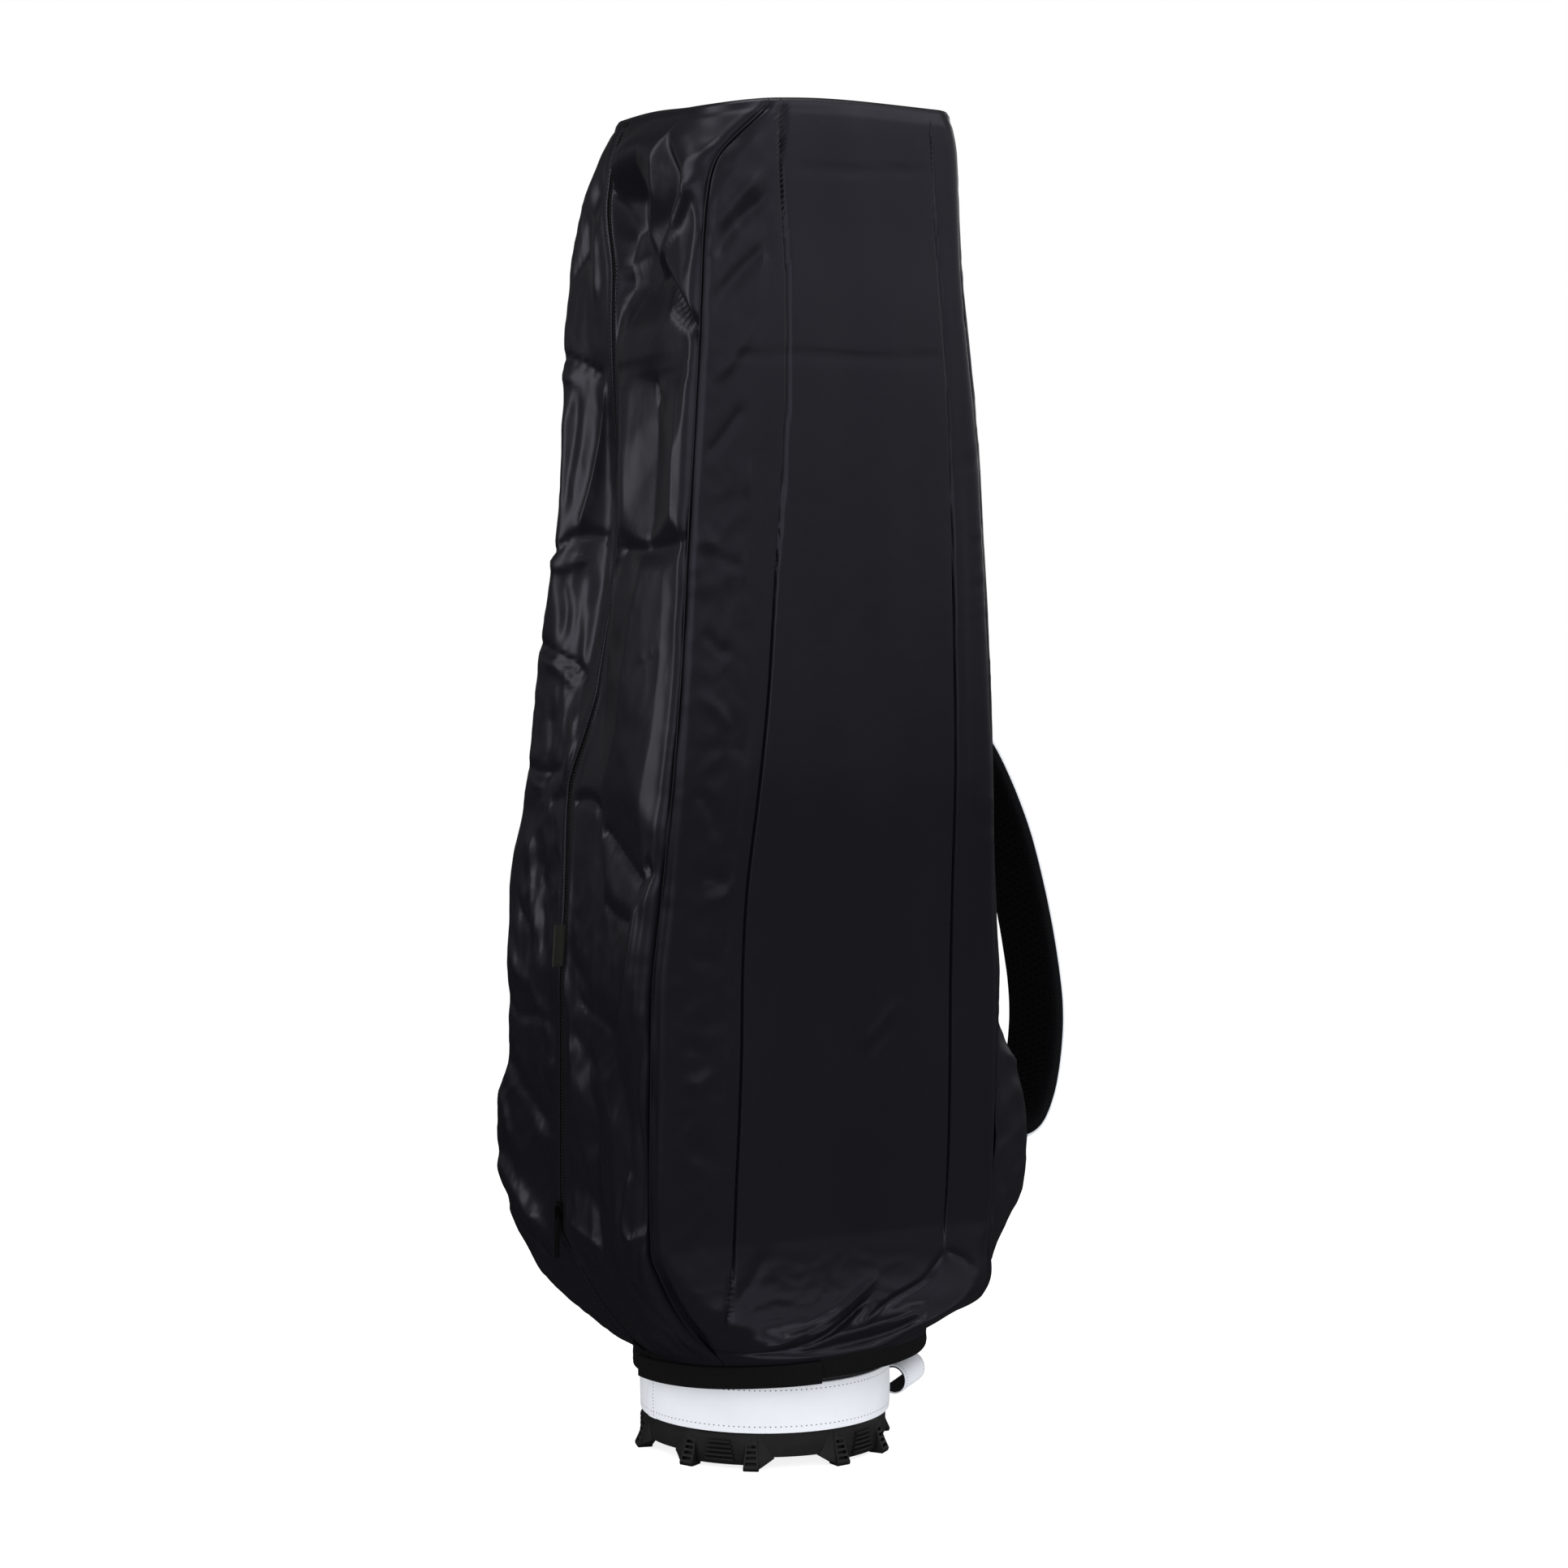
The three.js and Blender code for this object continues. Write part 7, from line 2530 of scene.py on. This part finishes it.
@dataclass(frozen=True)
class Strap:
    """The padded shoulder strap: foam between a mesh lining and a white face, on webbing ends."""

    body: str = "shoulder_strap"
    middle: float = 20.0
    width: float = 85.0
    webbing_width: float = 38.0
    webbing_wall: float = 2.0
    foam: float = 8.0
    skin: float = 1.8
    hinge: float = 154.0
    eye_reach: float = 11.0
    eye_rise: float = 3.9
    ring_heights: tuple[float, float] = (722.0, 290.0)
    pad_route: Outline = (
        (208, 688), (246, 646), (281, 578), (303, 510), (318, 444), (325, 390), (322, 342), (313, 304),
        (298, 278), (276, 266),
    )
    stitch: Size = (2.8, 0.8, 0.6)
    stitch_pitch: float = 4.0
    stitch_inset: float = 5.0
    foam_inset: float = 2.6
    lining_flat: tuple[float, float] = (0.098, 0.53)
    lining_area: float = 0.047
    lining_seed: int = 41
    lining_wrinkle: float = 0.7
    face_flat: tuple[float, float] = (0.086, 0.53)
    face_area: float = 0.041
    face_seed: int = 42
    face_wrinkle: float = 0.35
    upper_route: Outline = ((178, 719), (194, 705), (207, 689))
    lower_route: Outline = ((190, 281), (222, 263), (252, 258), (275, 265.5))

    def pad_line(self) -> Points:
        """The pad's middle line from its upper end down, as (x, z)."""
        return smooth_path(self.pad_route, 16)

    def half_width(self, along: Points, length: float) -> Points:
        """Half the pad's width: its ends are round.

        Args:
            along: Distances along the pad.
            length: The pad's length.

        Returns:
            Half widths.
        """
        radius = self.width / 2
        lead = radius - math.sqrt(radius**2 - (self.webbing_width / 2 + 1) ** 2)
        from_end = np.clip(np.minimum(along, length - along) + lead, 0, radius)
        return np.sqrt(radius**2 - (radius - from_end) ** 2)

    def across(self, line: Points, share: Points, aside: Points, depth: Points) -> Points:
        """Points beside a line in the strap's plane.

        Args:
            line: The line's (x, z) points.
            share: Shares along the line.
            aside: Distances to the side, towards the back.
            depth: Distances out of the line, towards the bag on the pad.

        Returns:
            Points in millimetres.
        """
        at, along = along_path(line, share * length_of(line))
        x = at[..., 0] + along[..., 1] * depth
        z = at[..., 1] - along[..., 0] * depth
        return np.stack([x, self.middle + aside, z], -1)

    def pad_layer(self, name: str, section: Outline, flat: tuple[float, float],
                  seed: int, wrinkle: float) -> Object:
        """A skin of the pad.

        Args:
            name: The piece's name.
            section: Its section from one edge to the other as (inset from the pad's edge, depth); the
                second half mirrors the first.
            flat: Its flat size in metres.
            seed: The wrinkles' seed.
            wrinkle: The wrinkles' depth in millimetres.

        Returns:
            The skin, which has no thickness yet.
        """
        line = self.pad_line()
        length = length_of(line)
        half = smooth_path(section, 6)
        inset = np.concatenate([half[:, 0], half[::-1, 0]])
        depth = np.concatenate([half[:, 1], half[::-1, 1]])
        side = math.copysign(1, section[-1][1]) * np.concatenate([-np.ones(len(half)), np.ones(len(half))])
        middles = 8
        sheet = Sheet(name, len(inset) - 1 + middles, 150)
        share = 0.5 - 0.5 * np.cos(np.pi * np.clip(sheet.v, 0, 1))
        column = np.round(sheet.u * (sheet.shape[1] - 1)).astype(int)
        width = self.half_width(share * length, length)
        first = np.minimum(column, len(half) - 1)
        last = np.clip(column - middles, len(half), len(inset) - 1)
        between = np.clip((column - len(half) + 1) / (middles + 1), 0, 1)
        keep = np.clip(width / 20, 0.3, 1)
        start = side[first] * np.maximum(width - inset[first] * keep, 0)
        end = side[last] * np.maximum(width - inset[last] * keep, 0)
        aside = start + (end - start) * between
        deep = depth[first] + (depth[last] - depth[first]) * between
        noise = Noise(seed)
        crease = noise.creased(aside / 34, share * length / 30) + noise.at(aside / 60, share * length / 22)
        flatness = 1 - np.clip(np.abs(aside) / (width + 1e-6), 0, 1) ** 6
        deep = deep + np.sign(deep) * (1.4 * np.sqrt(flatness) + wrinkle * flatness * crease)
        return sheet.lay(self.across(line, share, aside, deep), flat)

    def build(self) -> None:
        """Builds and dresses the strap."""
        line = self.pad_line()
        length = length_of(line)
        half = self.foam / 2

        def core(u: Points, v: Points, w: Points) -> Points:
            """The foam, thinner towards its edges."""
            share = 0.5 - 0.5 * np.cos(np.pi * (0.008 + 0.984 * u))
            width = self.half_width(share * length, length) - self.foam_inset
            edge = 0.45 + 0.55 * np.sqrt(1 - np.abs(2 * v - 1) ** 4)
            return self.across(line, share, (0.5 - v) * 2 * width, (2 * w - 1) * half * edge)

        foam = to_object(block(96, 20, core, 1.0, 2), "strap_foam", CLOTH_SHARP)
        dress(foam, Finish.GREY_FOAM, self.body, replaces=["strap_foam_pad"])
        section = ((0.9, 1.9 - half), (0.1, -0.8), (0.0, 1.2), (0.9, half - 0.2), (4.5, half + 1.3),
                   (14, half + 2.2))
        lining = self.pad_layer("strap_lining", section, self.lining_flat, self.lining_seed,
                                self.lining_wrinkle)
        thicken(lining, self.skin)
        dress(lining, Finish.SPACER_MESH, self.body, replaces=["strap_mesh_lining"])
        section = ((1.3, 1.3 - half), (1.9, -half - 0.2), (5, -half - 1.7), (14, -half - 1.9))
        face = self.pad_layer("strap_face", section, self.face_flat, self.face_seed, self.face_wrinkle)
        thicken(face, self.skin)
        dress(face, Finish.WHITE_LEATHER, self.body, replaces=["strap_outer_face"])
        self.sew_pad(length)
        for name, route, height in (("upper", self.upper_route, self.ring_heights[0]),
                                    ("lower", self.lower_route, self.ring_heights[1])):
            self.build_webbing(name, route, height)

    def sew_pad(self, length: float) -> None:
        """The row of stitches inside the pad's edge, on its lining.

        Args:
            length: The pad's length.
        """
        line = self.pad_line()
        marks = np.arange(16, length - 16, self.stitch_pitch)
        rows, ways, outs = [], [], []
        for side in (-1, 1):
            width = self.half_width(marks, length) - self.stitch_inset
            at = self.across(line, marks / length, side * width, self.foam / 2 + 2.9)
            outward_point = self.across(line, marks / length, side * width, self.foam / 2 + 3.9)
            rows.append(at)
            ways.append(np.gradient(at, axis=0))
            outs.append(outward_point - at)
        stitches = beads("strap_stitches", np.vstack(rows), np.vstack(ways), np.vstack(outs), self.stitch)
        dress(stitches, Finish.BLACK_THREAD, self.body)

    def build_webbing(self, name: str, route: Outline, height: float) -> None:
        """One webbing end, folded round its ring's bar and sewn back on itself.

        Args:
            name: Which end, "upper" or "lower".
            route: The line from the bar to the pad, as (x, z).
            height: The bar's height.
        """
        reach, rise = self.eye_reach, self.eye_rise
        near = np.array(route[0], float)
        towards = np.array(route[1], float) - near
        towards = towards / np.linalg.norm(towards)
        below = near + 0.5 * towards + 2.3 * np.array([towards[1], -towards[0]])
        loop = [tuple(below + 8 * towards), tuple(below), (self.hinge + reach - 3, height - rise),
                (self.hinge, height - rise), (self.hinge - reach + rise, height - rise),
                (self.hinge - reach, height), (self.hinge - reach + rise, height + rise),
                (self.hinge, height + rise), (self.hinge + reach - 2, height + rise - 0.5)]
        line = smooth_path([*loop, *route], 10)

        def ribbon(u: Points, v: Points, w: Points) -> Points:
            """The webbing along its line."""
            return self.across(line, u, (0.5 - v) * self.webbing_width, (w - 0.5) * self.webbing_wall)

        size = (length_of(line) * MM, self.webbing_width * MM)
        made = to_object(block(110, 4, ribbon, 0.5, 2, flat=size), f"{name}_webbing", CLOTH_SHARP)
        dress(made, Finish.STRAP_WEBBING, self.body,
              replaces=[f"{name}_strap_webbing"])
        anchor = softened(f"{name}_strap_anchor", f"{name}_anchor_loop", 0.5)
        dress(anchor, Finish.STRAP_WEBBING, replaces=[f"{name}_strap_anchor"])


@dataclass(frozen=True)
class LiftHandle:
    """The curled white loop beside the kick band, lined in black."""

    azimuth: float = 75.0
    stand_off: float = 126.5
    height: float = 49.0
    radius: float = 11.0
    lining: float = 1.3
    face: float = 1.6
    gap: float = 0.3
    width: float = 38.0
    heading: float = 28.0
    rise: float = 6.0
    turns: tuple[float, float] = (-140.0, 100.0)
    tail: float = 8.0
    stitch: Size = (1.6, 0.7, 0.4)
    # the stitches' shares along the loop, and the shares across it of their two rows
    stitch_shares: tuple[float, float, float] = (0.03, 0.8, 0.042)
    stitch_rows: tuple[float, float] = (0.08, 0.92)

    def curl(self, u: Points, v: Points, out: Points) -> Points:
        """Points on the curl.

        Args:
            u: Shares along it, from its free end.
            v: Shares across it.
            out: Distances outside its inner radius.

        Returns:
            Points in millimetres.
        """
        start, end = self.turns
        bend = math.radians(end - start) * self.radius
        gone = u * (bend + self.tail)
        turn = np.radians(start + np.clip(gone / bend, 0, 1) * (end - start))
        past = np.clip(gone - bend, 0, None)
        radius = self.radius + out
        x = radius * np.cos(turn) - np.sin(turn) * past
        z = radius * np.sin(turn) + np.cos(turn) * past + v * self.rise
        y = v * self.width
        way = math.radians(self.heading - 90)
        middle = polar(self.azimuth, self.stand_off, self.height)
        return middle + np.stack([x * math.cos(way) - y * math.sin(way),
                                  x * math.sin(way) + y * math.cos(way), z], -1)

    def build(self) -> None:
        """Builds and dresses the loop and its anchor."""
        inside = self.lining + self.gap
        size = ((math.radians(self.turns[1] - self.turns[0]) * self.radius + self.tail) * MM, self.width * MM)

        def lining(u: Points, v: Points, w: Points) -> Points:
            """The inner layer, a little shorter and narrower."""
            return self.curl(0.01 + 0.98 * u, 0.015 + 0.97 * v, w * self.lining)

        def face(u: Points, v: Points, w: Points) -> Points:
            """The outer layer, turned in at its sides."""
            edge = np.where((v < 0.02) | (v > 0.98), 0.35, 0.0)
            return self.curl(u, v, inside - 0.2 + edge * (1 - w) + w * (self.face + 0.2 - edge))

        parts = (("handle_lining", lining, Finish.INNER_LINING, "lining_mesh", "lift_handle_lining", 0.35),
                 ("handle_face", face, Finish.WHITE_LEATHER, "white_leather", "lift_handle_face", 0.55))
        for name, place, finish, slot, node, rounding in parts:
            made = to_object(block(64, 12, place, rounding, 2, flat=size), name, CLOTH_SHARP)
            dress(made, finish, "lift_handle", replaces=[node])
        marks = np.arange(*self.stitch_shares)
        rows, outs = (
            [self.curl(marks, np.full_like(marks, v), inside + self.face + proud) for v in self.stitch_rows]
            for proud in (0.02, 1.0))
        at = np.vstack(rows)
        stitches = beads("handle_stitches", at, np.vstack([np.gradient(r, axis=0) for r in rows]),
                         np.vstack(outs) - at, self.stitch)
        # the stitches take the dark grey finish of the needle holes' painted shade
        dress(stitches, Finish.NEEDLE_HOLE_SHADE, "lift_handle")
        anchor = softened("lift_handle_anchor", "handle_anchor", 0.8)
        dress(anchor, Finish.WHITE_LEATHER, replaces=["lift_handle_anchor"])


# ---------------------------------------------------------------- studio


@dataclass(frozen=True)
class Softbox:
    """An area light that faces a point from an azimuth counted from +X."""

    name: str
    azimuth: float
    elevation: float
    distance: float
    size: tuple[float, float]
    power: float
    glossy: bool = True

    def build(self, aim: Vector) -> None:
        """Hangs the light.

        Args:
            aim: What it faces.
        """
        around, up = math.radians(self.azimuth), math.radians(self.elevation)
        offset = Vector((math.cos(around) * math.cos(up), math.sin(around) * math.cos(up), math.sin(up)))
        data = bpy.data.lights.new(self.name, "AREA")
        data.shape = "RECTANGLE"
        data.size, data.size_y = self.size
        data.energy = self.power
        light = in_scene(self.name, data)
        light.location = aim + self.distance * offset
        light.visible_glossy = self.glossy
        light.rotation_euler = (-offset).to_track_quat("-Z", "Y").to_euler()


@dataclass(frozen=True)
class Studio:
    """A white floor and backdrop under large softboxes."""

    camera_at: tuple[float, float, float] = (-1.48631, -2.48894, 0.70)
    camera_aim: tuple[float, float, float] = (-0.05072, -0.0385, 0.618)
    lens: float = 69.6
    sensor: float = 36.0
    floor_glow: float = 0.84
    floor_size: float = 40.0
    # the room's brightness, by how high a direction points, how far to the front, and how high again
    horizon: tuple[float, float] = (-0.06, 0.14)
    brightness: tuple[float, float] = (0.07, 1.02)
    facing: tuple[float, float] = (0.85, -0.3)
    behind: tuple[float, float] = (0.14, 1.15)
    overhead: tuple[float, float] = (0.22, 0.42)
    dimmed: tuple[float, float] = (1.0, 0.36)
    room_tint: Colour = (0.97, 0.98, 1.0)
    boxes: tuple[Softbox, ...] = (
        Softbox("fill", -118, 12, 3.6, (3.2, 2.2), 26),
        Softbox("front_right", -52, 42, 3.2, (1.4, 1.2), 12),
        Softbox("overhead", -60, 86, 2.9, (2, 2), 38),
        Softbox("left", 150, 20, 2.8, (0.7, 1.8), 15),
        Softbox("upper_left", 168, 50, 3.0, (1.2, 1.2), 15),
        Softbox("rear_right", 32, 22, 3.0, (0.8, 1.8), 4),
        Softbox("soft_front", -100, 40, 3.4, (3, 3), 22, glossy=False),
    )

    def build(self) -> None:
        """Sets up the floor, the light and the camera."""
        scene = bpy.context.scene
        scene.view_settings.view_transform = "Standard"
        scene.view_settings.look = "None"
        self.build_floor()
        self.build_world()
        aim = Vector(self.camera_aim)
        for box in self.boxes:
            box.build(aim)
        data = bpy.data.cameras.new("camera")
        data.lens, data.sensor_width = self.lens, self.sensor
        data.clip_end = 100
        camera = in_scene("camera", data)
        camera.location = self.camera_at
        camera.rotation_euler = (aim - camera.location).to_track_quat("-Z", "Y").to_euler()
        scene.camera = camera

    def build_floor(self) -> None:
        """A plain white floor that darkens softly where the case stands."""
        bm = bmesh.new()
        bmesh.ops.create_grid(bm, x_segments=1, y_segments=1, size=self.floor_size / 2)
        floor = in_scene("floor", as_mesh(bm, "floor"))
        white = Shader("floor", (0.5, 0.5, 0.5), 0.9, Specular_IOR_Level=0.0, Emission_Color=(1, 1, 1, 1),
                       Emission_Strength=self.floor_glow)
        floor.data.materials.append(white.done())
        # it lights the case as a white floor does, but shows as a dim room in the satin cloth
        floor.visible_glossy = False

    def build_world(self) -> None:
        """A white backdrop that lights the case as a dim room does."""
        world = bpy.data.worlds.new("studio")
        bpy.context.scene.world = world
        world.use_nodes = True
        world.node_tree.nodes.clear()
        made = Nodes(world.node_tree)
        ray = made.add("ShaderNodeTexCoord").outputs["Generated"]
        towards = made.add("ShaderNodeSeparateXYZ", {"Vector": ray}).outputs
        glow = made.stepped(towards["Z"], self.horizon, self.brightness)
        behind = made.stepped(towards["Y"], self.facing, self.behind)
        roof = made.stepped(towards["Z"], self.overhead, self.dimmed)
        glow = made.mathed("MULTIPLY", made.mathed("MULTIPLY", glow, behind), roof)
        room = made.add("ShaderNodeBackground", {"Color": (*self.room_tint, 1), "Strength": glow})
        backdrop = made.add("ShaderNodeBackground", {"Color": (1, 1, 1, 1), "Strength": 1.0})
        seen = made.add("ShaderNodeLightPath").outputs["Is Camera Ray"]
        mixed = made.add("ShaderNodeMixShader", {"Fac": seen, 1: room.outputs[0], 2: backdrop.outputs[0]})
        made.add("ShaderNodeOutputWorld", {"Surface": mixed.outputs["Shader"]})


# ---------------------------------------------------------------- the whole


@dataclass(frozen=True)
class GolfTravelCase:
    """The covered bag, from its cleats to its top."""

    base: Base = Base()
    band: KickBand = KickBand()
    bag: BagBody = BagBody()
    cover: Cover = Cover()
    hem: Hem = Hem()
    tag: SideTag = SideTag()
    strap: Strap = Strap()
    handle: LiftHandle = LiftHandle()

    def build(self) -> None:
        """Builds and dresses every part."""
        for part in (self.base, self.band, self.bag, self.cover, self.strap, self.handle):
            part.build()
        self.hem.build(self.cover.shape)
        self.tag.build(self.cover.shape)


def main() -> None:
    """Builds the case and its studio."""
    logging.basicConfig(level=logging.INFO, format="%(message)s")
    GolfTravelCase().build()
    Studio().build()


if __name__ == "__main__":
    main()
